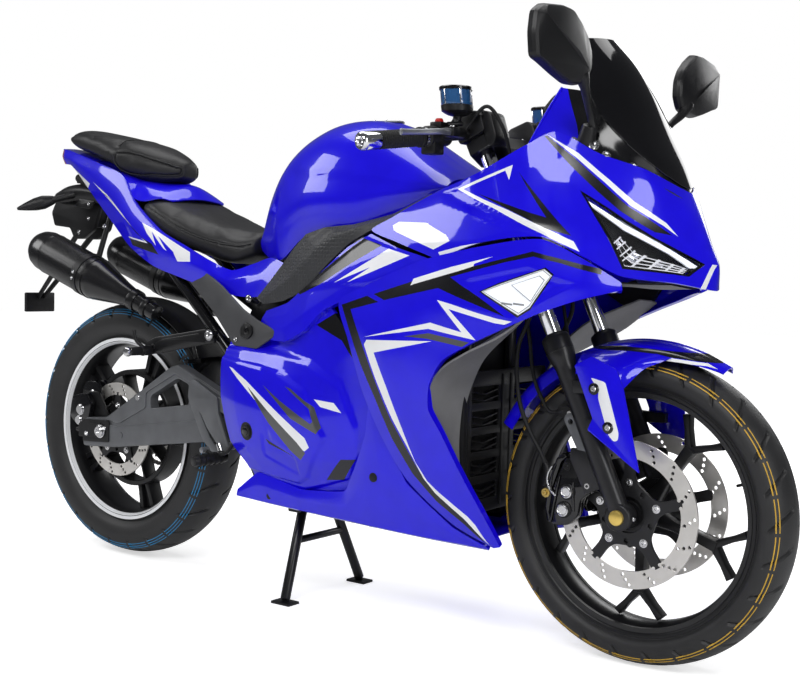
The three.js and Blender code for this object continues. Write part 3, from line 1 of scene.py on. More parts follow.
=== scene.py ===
import bpy, bmesh, math
import numpy as np
from mathutils import Vector, Matrix
from mathutils.bvhtree import BVHTree
from mathutils.kdtree import KDTree


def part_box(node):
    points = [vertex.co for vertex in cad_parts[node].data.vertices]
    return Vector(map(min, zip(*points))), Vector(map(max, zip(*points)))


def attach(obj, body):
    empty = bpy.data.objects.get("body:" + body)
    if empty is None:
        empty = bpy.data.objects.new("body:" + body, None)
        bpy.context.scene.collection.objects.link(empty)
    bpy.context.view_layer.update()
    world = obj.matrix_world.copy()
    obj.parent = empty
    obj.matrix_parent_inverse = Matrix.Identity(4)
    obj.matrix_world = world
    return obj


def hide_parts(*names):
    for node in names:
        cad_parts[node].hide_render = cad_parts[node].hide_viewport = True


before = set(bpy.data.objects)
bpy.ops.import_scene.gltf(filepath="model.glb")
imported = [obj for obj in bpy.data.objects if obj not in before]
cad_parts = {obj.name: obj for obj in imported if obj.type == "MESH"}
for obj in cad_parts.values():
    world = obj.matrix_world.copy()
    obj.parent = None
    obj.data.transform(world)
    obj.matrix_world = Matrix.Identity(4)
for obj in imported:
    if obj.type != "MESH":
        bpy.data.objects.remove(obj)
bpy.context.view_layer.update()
SHIFT = (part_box("front_axle")[0][0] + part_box("front_axle")[1][0]) / 2 - 0.7   # axle frame to row frame
RIGHT, LEFT = -1, 1
SIDES = (("right", RIGHT), ("left", LEFT))


def P(x, y, z):
    """Millimetres about the middle of the wheelbase, to metres in the row frame."""
    return Vector((x / 1000 + SHIFT, y / 1000, z / 1000))


def rows(array):
    array = np.asarray(array, float) / 1000
    return array + np.array([SHIFT, 0, 0])


# ------------------------------------------------------------------ camera, floor, light

def made(tree, kind, **values):
    """A node of a shader tree, with values for its own inputs."""
    node = tree.nodes.new("ShaderNode" + kind)
    for key, value in values.items():
        node.inputs[key.replace("_", " ")].default_value = value
    return node


def wire(tree, *pairs):
    for start, output, end, socket in pairs:
        tree.links.new(start.outputs[output], end.inputs[socket])


CAMERA_TURN, CAMERA_DOWN, CAMERA_ROLL = (math.radians(v) for v in (36.299, 3.536, 1.369))
CAMERA_AIM, CAMERA_DISTANCE, CAMERA_LENS = (116.3, 0, 563.3), 2.7332, 57.06
LAMPS = (     # name, place, aim, size, power
    ("key", (1.2, -3.2, 2.9), (0.1, 0, 0.5), (2.4, 1.2), 78),
    ("front", (3.8, -1.4, 1.5), (0.3, 0, 0.6), (0.8, 2.2), 42),
    ("rear", (-3.0, -1.8, 2.4), (-0.4, 0, 0.6), (1.2, 1.6), 36),
    ("top", (-0.2, 0.5, 3.3), (0, 0, 0.6), (3.2, 1.4), 50),
    ("left", (0.3, 3.4, 1.9), (0, 0, 0.6), (2.4, 1.2), 34),
)


def set_up_camera(scene):
    a, e, r = CAMERA_TURN, CAMERA_DOWN, CAMERA_ROLL
    back = Vector((math.sin(a) * math.cos(e), -math.cos(a) * math.cos(e), math.sin(e)))
    right = (-back).cross(Vector((0, 0, 1))).normalized()
    up = right.cross(-back)
    right, up = right * math.cos(r) + up * math.sin(r), up * math.cos(r) - right * math.sin(r)
    data = bpy.data.cameras.new("camera")
    data.lens = CAMERA_LENS
    data.sensor_width = 36
    camera = bpy.data.objects.new("camera", data)
    scene.collection.objects.link(camera)
    turn = Matrix((right, up, back)).transposed().to_4x4()
    camera.matrix_world = Matrix.Translation(P(*CAMERA_AIM) + back * CAMERA_DISTANCE) @ turn
    scene.camera = camera


def set_up_light(scene):
    world = bpy.data.worlds.new("studio")
    scene.world = world
    world.use_nodes = True
    tree = world.node_tree
    tree.nodes.clear()
    out = made(tree, "OutputWorld")
    plain = made(tree, "Background", Color=(0.93, 0.95, 1, 1), Strength=0.11)
    white = made(tree, "Background", Color=(1, 1, 1, 1), Strength=1.0)
    path, both, mix = made(tree, "LightPath"), made(tree, "Math"), made(tree, "MixShader")
    both.operation = "MAXIMUM"
    wire(tree, (path, "Is Camera Ray", both, 0), (path, "Is Transmission Ray", both, 1),
         (both, 0, mix, "Fac"), (plain, 0, mix, 1), (white, 0, mix, 2), (mix, 0, out, 0))
    for name, at, aim, size, power in LAMPS:
        data = bpy.data.lights.new(name, "AREA")
        data.shape = "RECTANGLE"
        data.size, data.size_y = size
        data.energy = power
        lamp = bpy.data.objects.new(name, data)
        scene.collection.objects.link(lamp)
        lamp.location = at
        lamp.rotation_euler = (Vector(aim) - Vector(at)).to_track_quat("-Z", "Y").to_euler()


def set_up_floor(scene):
    size = 14
    mesh = bpy.data.meshes.new("floor")
    mesh.from_pydata([(-size, -size, 0), (size, -size, 0), (size, size, 0), (-size, size, 0)], [],
                     [(0, 1, 2, 3)])
    floor = bpy.data.objects.new("floor", mesh)
    scene.collection.objects.link(floor)
    material = bpy.data.materials.new("floor")
    material.use_nodes = True
    tree = material.node_tree
    tree.nodes.clear()
    out = made(tree, "OutputMaterial")
    diffuse = made(tree, "BsdfDiffuse", Color=(0.9, 0.9, 0.9, 1))
    glow = made(tree, "Emission", Color=(1, 1, 1, 1))
    # the floor glows where a camera ray meets it: less about the bike, for its shadow, and white further out
    path, place, length = made(tree, "LightPath"), made(tree, "TexCoord"), made(tree, "VectorMath")
    length.operation = "LENGTH"
    reach = made(tree, "MapRange", From_Min=0.9, From_Max=2.2, To_Min=0.6, To_Max=1.0)
    reach.interpolation_type = "SMOOTHSTEP"
    scale, add = made(tree, "Math"), made(tree, "AddShader")
    scale.operation = "MULTIPLY"
    wire(tree, (place, "Object", length, 0), (length, "Value", reach, "Value"),
         (path, "Is Camera Ray", scale, 0), (reach, "Result", scale, 1), (scale, 0, glow, "Strength"),
         (diffuse, 0, add, 0), (glow, 0, add, 1), (add, 0, out, "Surface"))
    mesh.materials.append(material)


bpy.context.scene.view_settings.view_transform = "Standard"
set_up_camera(bpy.context.scene)
set_up_light(bpy.context.scene)
set_up_floor(bpy.context.scene)


# ------------------------------------------------------------------ materials

def finish(name, colour, roughness, metallic=0.0, coat=0.0, bump=0.0, grain=400.0, mottle=0.12, spread=0.12,
           pattern="noise", specular=0.5, deep=0.0006, **extra):
    """A procedural finish: colour and roughness wander with noise, and a fine grain stands in relief."""
    material = bpy.data.materials.new(name)
    material.use_nodes = True
    tree = material.node_tree
    shader = tree.nodes["Principled BSDF"]
    own = {"Metallic": metallic, "Coat Weight": coat, "Coat Roughness": 0.04, "Specular IOR Level": specular}
    own.update({key.replace("_", " "): value for key, value in extra.items()})
    for key, value in own.items():
        shader.inputs[key].default_value = value
    place = made(tree, "TexCoord")
    wander = made(tree, "TexNoise", Scale=22, Detail=5)
    ramp = made(tree, "ValToRGB")
    for element, position, share in zip(ramp.color_ramp.elements, (0.3, 0.7), (1 - mottle, 1 + mottle)):
        element.position = position
        element.color = (*(min(1, max(0, c * share)) for c in colour), 1)
    rough = made(tree, "MapRange", To_Min=roughness * (1 - spread), To_Max=min(1, roughness * (1 + spread)))
    wire(tree, (place, "Object", wander, "Vector"), (wander, "Fac", ramp, "Fac"),
         (ramp, "Color", shader, "Base Color"), (wander, "Fac", rough, "Value"),
         (rough, "Result", shader, "Roughness"))
    if bump:
        relief = made(tree, "Bump", Strength=bump, Distance=deep)
        kind, height = {"cells": ("TexVoronoi", "Distance"), "weave": ("TexChecker", "Fac"),
                        "noise": ("TexNoise", "Fac")}[pattern]
        texture = made(tree, kind, Scale=grain)
        if pattern == "cells":
            texture.feature = "DISTANCE_TO_EDGE"
            texture.inputs["Randomness"].default_value = 0.35
        elif pattern == "noise":
            texture.inputs["Detail"].default_value = 3
        wire(tree, (texture, height, relief, "Height"), (place, "Object", texture, "Vector"),
             (relief, "Normal", shader, "Normal"))
    return material


M = {
    "blue": finish("blue_paint", (0.008, 0.002, 0.70), 0.3, coat=0.9, mottle=0.05, bump=0.015, grain=900,
                   specular=0.08),
    "white": finish("white_stripe_and_painted_highlight", (0.86, 0.87, 0.89), 0.3, coat=0.6, mottle=0.02),
    "black_paint": finish("black_stripe", (0.006, 0.006, 0.008), 0.2, specular=0.5),
    "grey_paint": finish("grey_stripe", (0.055, 0.057, 0.06), 0.3, coat=0.8, mottle=0.05),
    "plastic": finish("black_plastic", (0.008, 0.008, 0.009), 0.38, bump=0.25, grain=1500, specular=0.32),
    "grey": finish("grey_plastic", (0.05, 0.051, 0.055), 0.46, bump=0.3, grain=1500, specular=0.4),
    "hex": finish("hex_plastic", (0.03, 0.031, 0.034), 0.42, bump=0.9, grain=120, pattern="cells",
                  specular=0.4, deep=0.0016),
    "frame": finish("black_enamel", (0.007, 0.007, 0.008), 0.3, bump=0.1, grain=800, specular=0.4),
    "wheel": finish("black_wheel", (0.007, 0.007, 0.008), 0.33, bump=0.12, grain=900, specular=0.35),
    "inner": finish("inner_plastic", (0.15, 0.15, 0.155), 0.5, bump=0.3, grain=1500),
    "alloy": finish("grey_alloy", (0.145, 0.15, 0.16), 0.42, metallic=0.55, bump=0.15, grain=900),
    "fork": finish("black_anodised", (0.018, 0.018, 0.020), 0.33, metallic=0.3, bump=0.05, grain=1200,
                   specular=0.45),
    "steel": finish("ground_steel", (0.68, 0.66, 0.63), 0.32, metallic=0.8, bump=0.12, grain=1500,
                    mottle=0.08),
    "bright": finish("bright_steel", (0.62, 0.62, 0.63), 0.2, metallic=1.0, bump=0.04, grain=900),
    "chrome": finish("chrome", (0.80, 0.80, 0.82), 0.07, metallic=1.0, mottle=0.03),
    "brass": finish("brass", (0.62, 0.45, 0.14), 0.28, metallic=0.9),
    "rubber": finish("tyre_rubber", (0.016, 0.016, 0.017), 0.52, bump=0.3, grain=1300, mottle=0.2,
                     specular=0.5),
    "grip": finish("grip_rubber", (0.010, 0.010, 0.011), 0.6, bump=0.3, grain=1500, specular=0.3),
    "pale_red": finish("pale_red_lens", (0.50, 0.13, 0.13), 0.16, coat=0.8, mottle=0.08),
    "gloss": finish("gloss_black", (0.004, 0.004, 0.005), 0.14, specular=0.6),
    "alu": finish("brushed_aluminium", (0.30, 0.31, 0.33), 0.34, metallic=0.8, bump=0.12, grain=1200),
    "gold": finish("gold_cap", (0.83, 0.60, 0.16), 0.3, metallic=0.9, bump=0.08, grain=700),
    "gold_line": finish("gold_line", (0.55, 0.33, 0.03), 0.6, mottle=0.15),
    "blue_line": finish("blue_line", (0.02, 0.20, 0.42), 0.6, mottle=0.15),
    "vinyl": finish("seat_vinyl", (0.011, 0.011, 0.012), 0.44, bump=0.5, grain=620, pattern="cells",
                    specular=0.4),
    "smoke": finish("smoked_screen", (0.004, 0.004, 0.005), 0.07, mottle=0.05, specular=0.45),
    "weave": finish("woven_black", (0.008, 0.008, 0.009), 0.24, bump=0.4, grain=420, pattern="weave",
                    specular=0.4),
    "satin": finish("satin_black", (0.009, 0.009, 0.010), 0.22, bump=0.05, grain=900, specular=0.5),
    "red_switch": finish("red_switch", (0.55, 0.015, 0.01), 0.35),
    "amber": finish("smoked_amber", (0.05, 0.02, 0.006), 0.14, coat=1.0),
    "fluid": finish("fluid_window", (0.02, 0.09, 0.24), 0.1, coat=1.0),
    "reflector": finish("lamp_reflector", (0.78, 0.79, 0.82), 0.12, metallic=1.0, bump=0.25, grain=160,
                        pattern="cells"),
    "lamp_white": finish("lamp_strip", (0.86, 0.88, 0.92), 0.25, coat=0.6, mottle=0.02,
                         Emission_Color=(0.9, 0.95, 1, 1), Emission_Strength=0.25),
    "lamp_line": finish("lamp_line", (0.22, 0.23, 0.25), 0.35, coat=0.5),
    "display": finish("display_glass", (0.01, 0.012, 0.016), 0.08, coat=1.0),
    "mirror": finish("mirror_glass", (0.9, 0.9, 0.92), 0.02, metallic=1.0, mottle=0.01),
    "clear": finish("clear_lens", (0.96, 0.97, 1.0), 0.03, mottle=0.01, Transmission_Weight=1.0, IOR=1.2),
}

# ------------------------------------------------------------------ building blocks

def piece(name, mesh, body, materials, replaces=(), smooth=35, bevel=0.0, even=False):
    """Links a mesh as a piece that rides on a body."""
    obj = bpy.data.objects.new(name, mesh)
    bpy.context.scene.collection.objects.link(obj)
    if not mesh.materials:
        for key in ([materials] if isinstance(materials, str) else materials):
            mesh.materials.append(M[key])
    if smooth:
        mesh.shade_smooth()
        mesh.set_sharp_from_angle(angle=math.radians(smooth))
    if bevel:
        change = obj.modifiers.new("edges", "BEVEL")
        change.width = bevel / 1000
        change.segments = 2
        change.limit_method = "ANGLE"
        change.angle_limit = math.radians(40)
        change.harden_normals = False
    if even:
        change = obj.modifiers.new("normals", "WEIGHTED_NORMAL")
        change.keep_sharp = True
    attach(obj, body)
    if replaces:
        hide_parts(*([replaces] if isinstance(replaces, str) else replaces))
    return obj


def raw(verts, faces):
    mesh = bpy.data.meshes.new("mesh")
    mesh.from_pydata([tuple(v) for v in verts], [], [tuple(f) for f in faces])
    mesh.validate()
    return mesh


def outward(mesh):
    """Turns the faces of closed bodies to the outside."""
    bm = bmesh.new()
    bm.from_mesh(mesh)
    bmesh.ops.recalc_face_normals(bm, faces=bm.faces)
    bm.to_mesh(mesh)
    bm.free()
    return mesh


def joined(*meshes):
    """Several meshes in one, with their materials kept."""
    bm = bmesh.new()
    materials = []
    for mesh in meshes:
        own = [m for m in mesh.materials] or [None]
        index = []
        for m in own:
            if m not in materials:
                materials.append(m)
            index.append(materials.index(m))
        first = len(bm.faces)
        bm.from_mesh(mesh)
        bm.faces.ensure_lookup_table()
        for face in bm.faces[first:]:
            face.material_index = index[min(face.material_index, len(index) - 1)]
    result = bpy.data.meshes.new("mesh")
    bm.to_mesh(result)
    bm.free()
    for m in materials:
        if m is not None:
            result.materials.append(m)
    return result


def tinted(mesh, key):
    mesh.materials.clear()
    mesh.materials.append(M[key])
    return mesh


def flipped(mesh):
    """The same mesh on the other side of the bike."""
    copy = mesh.copy()
    copy.transform(Matrix.Diagonal((1, -1, 1, 1)))
    copy.flip_normals()
    return copy


def on(side, mesh):
    return mesh if side == RIGHT else flipped(mesh)


def spline(points, count, crisp=0.0):
    """A centripetal curve, sampled evenly in its parameter; crisp draws it toward straight lines."""
    p = np.asarray(points, float)
    n = len(p)
    ends = np.concatenate([[2 * p[0] - p[1]], p, [2 * p[-1] - p[-2]]])
    t = np.linspace(0, n - 1, count)
    i = np.minimum(t.astype(int), n - 2)
    w = (t - i)[:, None]
    a, b, c, d = ends[i], ends[i + 1], ends[i + 2], ends[i + 3]
    gap = lambda u, v: np.maximum((((u - v) ** 2).sum(1) ** 0.25)[:, None], 1e-6)
    d0, d1, d2 = gap(a, b), gap(b, c), gap(c, d)
    t1 = ((b - a) / d0 - (c - a) / (d0 + d1) + (c - b) / d1) * d1
    t2 = ((c - b) / d1 - (d - b) / (d1 + d2) + (d - c) / d2) * d1
    curve = b + t1 * w + (-3 * b + 3 * c - 2 * t1 - t2) * w ** 2 + (2 * b - 2 * c + t1 + t2) * w ** 3
    return curve * (1 - crisp) + (b + (c - b) * w) * crisp


def smooth_net(net, across, down, crisp=0.0):
    wide = [spline(row, across, crisp) for row in net]
    columns = [spline([row[i] for row in wide], down, crisp) for i in range(across)]
    return np.array(columns).transpose(1, 0, 2)


def across_nose(net):
    return [list(row) + [(x, -y, z) for x, y, z in row[-2::-1]] for row in net]


def across_tail(net):
    return [list(row[::-1]) + [(row[0][0] - 9, 0, row[0][2])] + [(x, -y, z) for x, y,
            z in row] for row in net[::-1]]


def turned_net(net):
    return [list(column) for column in zip(*net)]


def grid_normals(net):
    along = np.gradient(net, axis=1)
    down = np.gradient(net, axis=0)
    n = np.cross(along, down)
    return n / np.maximum(np.linalg.norm(n, axis=2, keepdims=True), 1e-12)


def sheet(net, thickness):
    """A closed sheet behind a net in millimetres."""
    inward = grid_normals(net)
    down, across = net.shape[:2]
    back = net + inward * thickness
    verts = np.concatenate([net.reshape(-1, 3), back.reshape(-1, 3)])
    under = down * across
    a = (np.arange(down - 1)[:, None] * across + np.arange(across - 1)[None]).ravel()
    b, c, d = a + 1, a + across + 1, a + across
    faces = [tuple(f) for f in np.stack([d, c, b, a], 1)] + [tuple(f) for f in np.stack([a, b, c, d],
            1) + under]
    edge = list(range(across)) + [i * across + across - 1 for i in range(1, down)]
    edge += [(down - 1) * across + j for j in range(across - 2, -1,
                                                    -1)] + [i * across for i in range(down - 2, 0, -1)]
    for k, p in enumerate(edge):
        q = edge[(k + 1) % len(edge)]
        faces.append((p, q, q + under, p + under))
    return raw(rows(verts), faces)


def lathe(profile, at, segments=96):
    """A closed profile of (radius, y) points turned about an axle at (x, z)."""
    profile = np.asarray(profile, float)
    n = len(profile)
    angles = np.arange(segments) / segments * 2 * math.pi
    verts = [(at[0] + r * math.cos(t), y, at[1] + r * math.sin(t)) for t in angles for r, y in profile]
    faces = []
    for i in range(segments):
        j = (i + 1) % segments
        for k in range(n):
            m = (k + 1) % n
            faces.append((i * n + k, i * n + m, j * n + m, j * n + k))
    return outward(raw(rows(verts), faces))


def rounded(profile, radius, steps=3):
    """Rounds the corners of a closed outline of 2-D points."""
    pts = [np.asarray(p, float) for p in profile]
    out = []
    for i, p in enumerate(pts):
        a, b = pts[i - 1], pts[(i + 1) % len(pts)]
        u, v = a - p, b - p
        lu, lv = np.linalg.norm(u), np.linalg.norm(v)
        cosine = float(np.clip(u @ v / max(lu * lv, 1e-9), -1, 1))
        if cosine < -0.985:
            out.append(p)
            continue
        r = min(radius, lu * 0.45, lv * 0.45)
        s, e = p + u / lu * r, p + v / lv * r
        for k in range(steps + 1):
            t = k / steps
            out.append((1 - t) ** 2 * s + 2 * t * (1 - t) * p + t * t * e)
    return np.array(out)


def sweep(points, radius, sides=20, count=None, cap=0.35, flat=1.0):
    """A round bar along a smooth line in millimetres, its ends rounded off."""
    p = spline(points, count) if count else np.asarray(points, float)
    radius = np.interp(np.linspace(0, 1, len(p)), np.linspace(0, 1, np.size(radius)), np.atleast_1d(radius))
    tangents = np.gradient(p, axis=0)
    tangents /= np.linalg.norm(tangents, axis=1)[:, None]
    u = np.cross(tangents[0], (0, 0, 1))
    if np.linalg.norm(u) < 1e-6:
        u = np.cross(tangents[0], (0, 1, 0))
    if cap:
        # each end narrows in two steps: so much of the radius is lost, so far from the end
        first, last = tangents[0] * radius[0] * cap, tangents[-1] * radius[-1] * cap
        centres = [p[0], p[0] + first * 0.3, p[0] + first, *p[1:-1], p[-1] - last, p[-1] - last * 0.3, p[-1]]
        narrow = (1 - cap, 1 - cap * 0.25)
        radii = [*(radius[0] * k for k in narrow), *radius, *(radius[-1] * k for k in narrow[::-1])]
        lines = [tangents[0]] * 3 + [*tangents[1:-1]] + [tangents[-1]] * 3
    else:
        centres, radii, lines = [*p], [*radius], [*tangents]
    angles = np.arange(sides) / sides * 2 * math.pi
    rings = []
    for c, r, t in zip(centres, radii, lines):
        u = u - t * (u @ t)
        u /= np.linalg.norm(u)
        v = np.cross(t, u)
        rings.append(c + r * (np.cos(angles)[:, None] * u * flat + np.sin(angles)[:, None] * v))
    return ringed(rings)


def ringed(rings):
    """A closed body through rings of points."""
    n = len(rings[0])
    faces = []
    for i in range(len(rings) - 1):
        for k in range(n):
            m = (k + 1) % n
            faces.append((i * n + k, i * n + m, (i + 1) * n + m, (i + 1) * n + k))
    faces.append(tuple(range(n))[::-1])
    faces.append(tuple(range((len(rings) - 1) * n, len(rings) * n)))
    return outward(raw(rows(np.concatenate(rings)), faces))


def flat_plate(outline, low, high, holes=(), bevel=0.6, matrix=None):
    """A plate from an outline in X and Z, between two values of Y, with chamfered edges."""
    data = bpy.data.curves.new("outline", "CURVE")
    data.dimensions = "2D"
    data.fill_mode = "BOTH"
    bevel = min(bevel, (high - low) * 0.45)
    data.extrude = ((high - low) / 2 - bevel) / 1000
    data.bevel_depth = bevel / 1000
    data.bevel_resolution = 1
    data.offset = -bevel / 1000
    for loop in [outline, *holes]:
        curve = data.splines.new("POLY")
        curve.points.add(len(loop) - 1)
        for point, (x, z) in zip(curve.points, loop):
            point.co = (x / 1000, z / 1000, 0, 1)
        curve.use_cyclic_u = True
    obj = bpy.data.objects.new("outline", data)
    mesh = bpy.data.meshes.new_from_object(obj)
    bpy.data.objects.remove(obj)
    bpy.data.curves.remove(data)
    middle = (low + high) / 2000
    place = Matrix(((1, 0, 0, 0), (0, 0, -1, middle), (0, 1, 0, 0), (0, 0, 0, 1)))
    mesh.transform(place)
    mesh.transform(matrix if matrix is not None else Matrix.Translation((SHIFT, 0, 0)))
    bm = bmesh.new()
    bm.from_mesh(mesh)
    bmesh.ops.remove_doubles(bm, verts=bm.verts, dist=2e-6)
    bmesh.ops.recalc_face_normals(bm, faces=bm.faces)
    bm.to_mesh(mesh)
    bm.free()
    return mesh


def ring(x, z, radius, count=24, start=0.0):
    return [(x + radius * math.cos(start + i / count * 2 * math.pi),
             z + radius * math.sin(start + i / count * 2 * math.pi)) for i in range(count)]


def block(x, y, z, bevel=1.0):
    """A box in millimetres with rounded edges."""
    bm = bmesh.new()
    bmesh.ops.create_cube(bm, size=1)
    for v in bm.verts:
        v.co = P(*(low + (high - low) * (c + 0.5) for (low, high), c in zip((x, y, z), v.co)))
    bmesh.ops.bevel(bm, geom=bm.edges[:], offset=bevel / 1000, segments=2, affect="EDGES", profile=0.6)
    mesh = bpy.data.meshes.new("mesh")
    bm.to_mesh(mesh)
    bm.free()
    return mesh


def screw(at, along, radius, height=3.0, key="bright", sides=24, socket=6, washer=0.0):
    """A screw head that stands on a surface at a point, with its socket sunk into it."""
    direction = Vector(along).normalized()
    turn = direction.to_track_quat("Z", "Y").to_matrix().to_4x4()
    rings = []
    angles = np.arange(sides) / sides * 2 * math.pi
    hexes = np.round(angles / (2 * math.pi / socket)) * (2 * math.pi / socket) if socket else angles
    circle = lambda r, h, a=angles: np.stack([r * np.cos(a), r * np.sin(a), np.full(sides, h)], 1)
    if washer:
        rings += [circle(washer, -1.0), circle(washer, 0.7), circle(radius * 1.01, 0.9)]
    rings += [circle(radius, -1.0 if not washer else 0.9), circle(radius, height * 0.75),
              circle(radius * 0.86, height)]
    if socket:
        inner = circle(radius * 0.5, height, hexes + 1e-4 * np.arange(sides))
        rings += [inner, inner - (0, 0, height * 0.55)]
    verts = np.concatenate(rings) / 1000
    n = sides
    faces = [(i * n + k, i * n + (k + 1) % n, (i + 1) * n + (k + 1) % n, (i + 1) * n + k)
             for i in range(len(rings) - 1) for k in range(n)]
    faces += [tuple(range(n))[::-1], tuple(range((len(rings) - 1) * n, len(rings) * n))]
    mesh = outward(raw(verts, faces))
    mesh.transform(Matrix.Translation(P(*at)) @ turn)
    return tinted(mesh, key)


def cad(node):
    """A copy of a CAD node's mesh, its triangles merged back into flat faces."""
    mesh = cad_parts[node].data.copy()
    mesh.materials.clear()
    bm = bmesh.new()
    bm.from_mesh(mesh)
    bmesh.ops.remove_doubles(bm, verts=bm.verts, dist=2e-5)
    bmesh.ops.dissolve_limit(bm, angle_limit=math.radians(0.6), verts=bm.verts, edges=bm.edges)
    for layer in list(bm.loops.layers.uv):
        bm.loops.layers.uv.remove(layer)
    bm.to_mesh(mesh)
    bm.free()
    return mesh


def boolean(mesh, tool, operation="DIFFERENCE"):
    """Cuts one mesh with another and gives the result."""
    a = bpy.data.objects.new("a", mesh)
    b = bpy.data.objects.new("b", tool)
    for obj in (a, b):
        bpy.context.scene.collection.objects.link(obj)
    change = a.modifiers.new("cut", "BOOLEAN")
    change.operation = operation
    change.object = b
    change.solver = "EXACT"
    bpy.context.view_layer.update()
    result = bpy.data.meshes.new_from_object(a.evaluated_get(bpy.context.evaluated_depsgraph_get()))
    bpy.data.objects.remove(a)
    bpy.data.objects.remove(b)
    return result


# ------------------------------------------------------------------ nets of the panels, as in the solids

COWL = [
    # top edge, then downward; every line runs forward to the centre line of the nose
    [[338, -185, 890], [430, -200, 918], [530, -196, 966], [580, -172, 992], [655, -142, 952],
     [722, -95, 926], [772, 0, 888]],
    [[286, -189, 866], [430, -211, 885], [540, -204, 925], [598, -180, 942], [668, -146, 914],
     [738, -88, 897], [788, 0, 852]],
    [[230, -192, 838], [435, -224, 852], [548, -217, 888], [614, -186, 898], [688, -143, 872],
     [753, -82, 852], [802, 0, 820]],
    [[180, -192, 814], [442, -236, 818], [562, -230, 852], [634, -194, 858], [702, -148, 828],
     [767, -80, 802], [816, 0, 786]],
    [[262, -214, 788], [458, -245, 794], [582, -239, 822], [662, -206, 812], [716, -162, 782],
     [781, -85, 764], [829, 0, 756]],
    [[370, -236, 757], [474, -247, 789], [599, -240, 799], [672, -224, 766], [721, -180, 734],
     [788, -95, 723], [827, 0, 710]],
]
FAIRING = [
    [[727, -183, 722], [729, -184, 716], [731, -186, 709]],
    [[674, -224, 761], [674, -232, 722], [672, -231, 690]],
    [[599, -242, 795], [606, -252, 728], [606, -247, 666]],
    [[473, -248, 781], [497, -258, 706], [522, -251, 630]],
    [[330, -240, 752], [392, -257, 678], [450, -252, 597]],
    [[207, -228, 708], [300, -248, 646], [395, -250, 566]],
    [[118, -215, 668], [242, -243, 592], [366, -246, 520]],
    [[150, -221, 590], [258, -241, 530], [362, -240, 472]],
    [[187, -221, 495], [286, -236, 464], [385, -232, 430]],
    [[230, -214, 410], [326, -225, 386], [420, -218, 360]],
    [[290, -203, 325], [372, -210, 310], [455, -203, 295]],
    [[393, -189, 248], [437, -193, 246], [480, -188, 245]],
    [[478, -179, 214], [485, -180, 216], [492, -179, 218]],
]
BELLY = [
    # lines from the top edge down and in under the bike
    [[-198, -166, 244], [-199, -168, 236], [-200, -167, 229], [-196, -150, 225], [-190, -128, 224]],
    [[-133, -170, 290], [-133, -173, 258], [-133, -171, 227], [-130, -152, 220], [-128, -128, 219]],
    [[-3, -180, 268], [-3, -182, 246], [-3, -178, 223], [-3, -156, 215], [-3, -128, 214]],
    [[126, -190, 281], [126, -192, 250], [126, -184, 220], [126, -160, 211], [126, -128, 210]],
    [[186, -207, 400], [186, -203, 306], [195, -188, 218], [195, -162, 209], [195, -128, 208]],
    [[200, -214, 474], [228, -206, 330], [256, -188, 216], [256, -162, 207], [256, -128, 206]],
    [[286, -199, 318], [306, -193, 264], [325, -183, 213], [325, -158, 204], [325, -128, 203]],
    [[388, -185, 242], [396, -183, 226], [402, -178, 211], [400, -154, 202], [398, -128, 201]],
    [[462, -176, 212], [464, -175, 210], [465, -173, 208], [452, -152, 201], [440, -134, 200]],
]
INNER_PANEL = [
    # lines from the fairing's front edge inward to the grille, top to bottom
    [[600, -236, 682], [592, -222, 685], [578, -200, 687]],
    [[520, -245, 622], [500, -196, 632], [486, -138, 634]],
    [[446, -246, 586], [430, -198, 584], [420, -140, 572]],
    [[390, -243, 552], [390, -198, 540], [396, -142, 524]],
    [[360, -238, 512], [370, -194, 490], [384, -146, 480]],
    [[358, -233, 470], [368, -194, 440], [376, -150, 410]],
    [[382, -225, 424], [378, -188, 390], [378, -150, 350]],
    [[416, -210, 356], [398, -180, 330], [384, -152, 296]],
    [[450, -195, 290], [420, -174, 274], [392, -154, 256]],
    [[474, -181, 242], [440, -168, 234], [410, -152, 226]],
]
FRAME_COVER = [
    # lines from the rear lower end forward and upward; each crosses the cover downward
    [[-171, -143, 668], [-160, -146, 661], [-150, -146, 654]],
    [[-132, -146, 704], [-110, -158, 684], [-86, -158, 662]],
    [[-92, -150, 742], [-56, -168, 712], [-24, -170, 682]],
    [[-56, -156, 776], [-14, -176, 742], [22, -178, 714]],
    [[-17, -162, 806], [30, -182, 776], [70, -184, 752]],
    [[40, -168, 820], [84, -184, 804], [120, -186, 788]],
    [[120, -172, 826], [150, -184, 822], [172, -188, 812]],
    [[220, -174, 846], [232, -184, 842], [242, -186, 834]],
    [[315, -180, 884], [318, -183, 878], [322, -184, 872]],
]
MID_PANEL = [
    # lines from the rear forward, the top one first
    [[-136, -150, 640], [-60, -168, 660], [20, -182, 710], [120, -190, 780], [178, -190, 806]],
    [[-146, -154, 622], [-60, -178, 636], [20, -192, 678], [140, -203, 744], [262, -214, 778]],
    [[-150, -156, 600], [-60, -184, 606], [10, -198, 640], [140, -210, 704], [362, -228, 752]],
    [[-152, -156, 580], [-50, -186, 578], [10, -198, 604], [70, -205, 650], [206, -218, 700]],
]
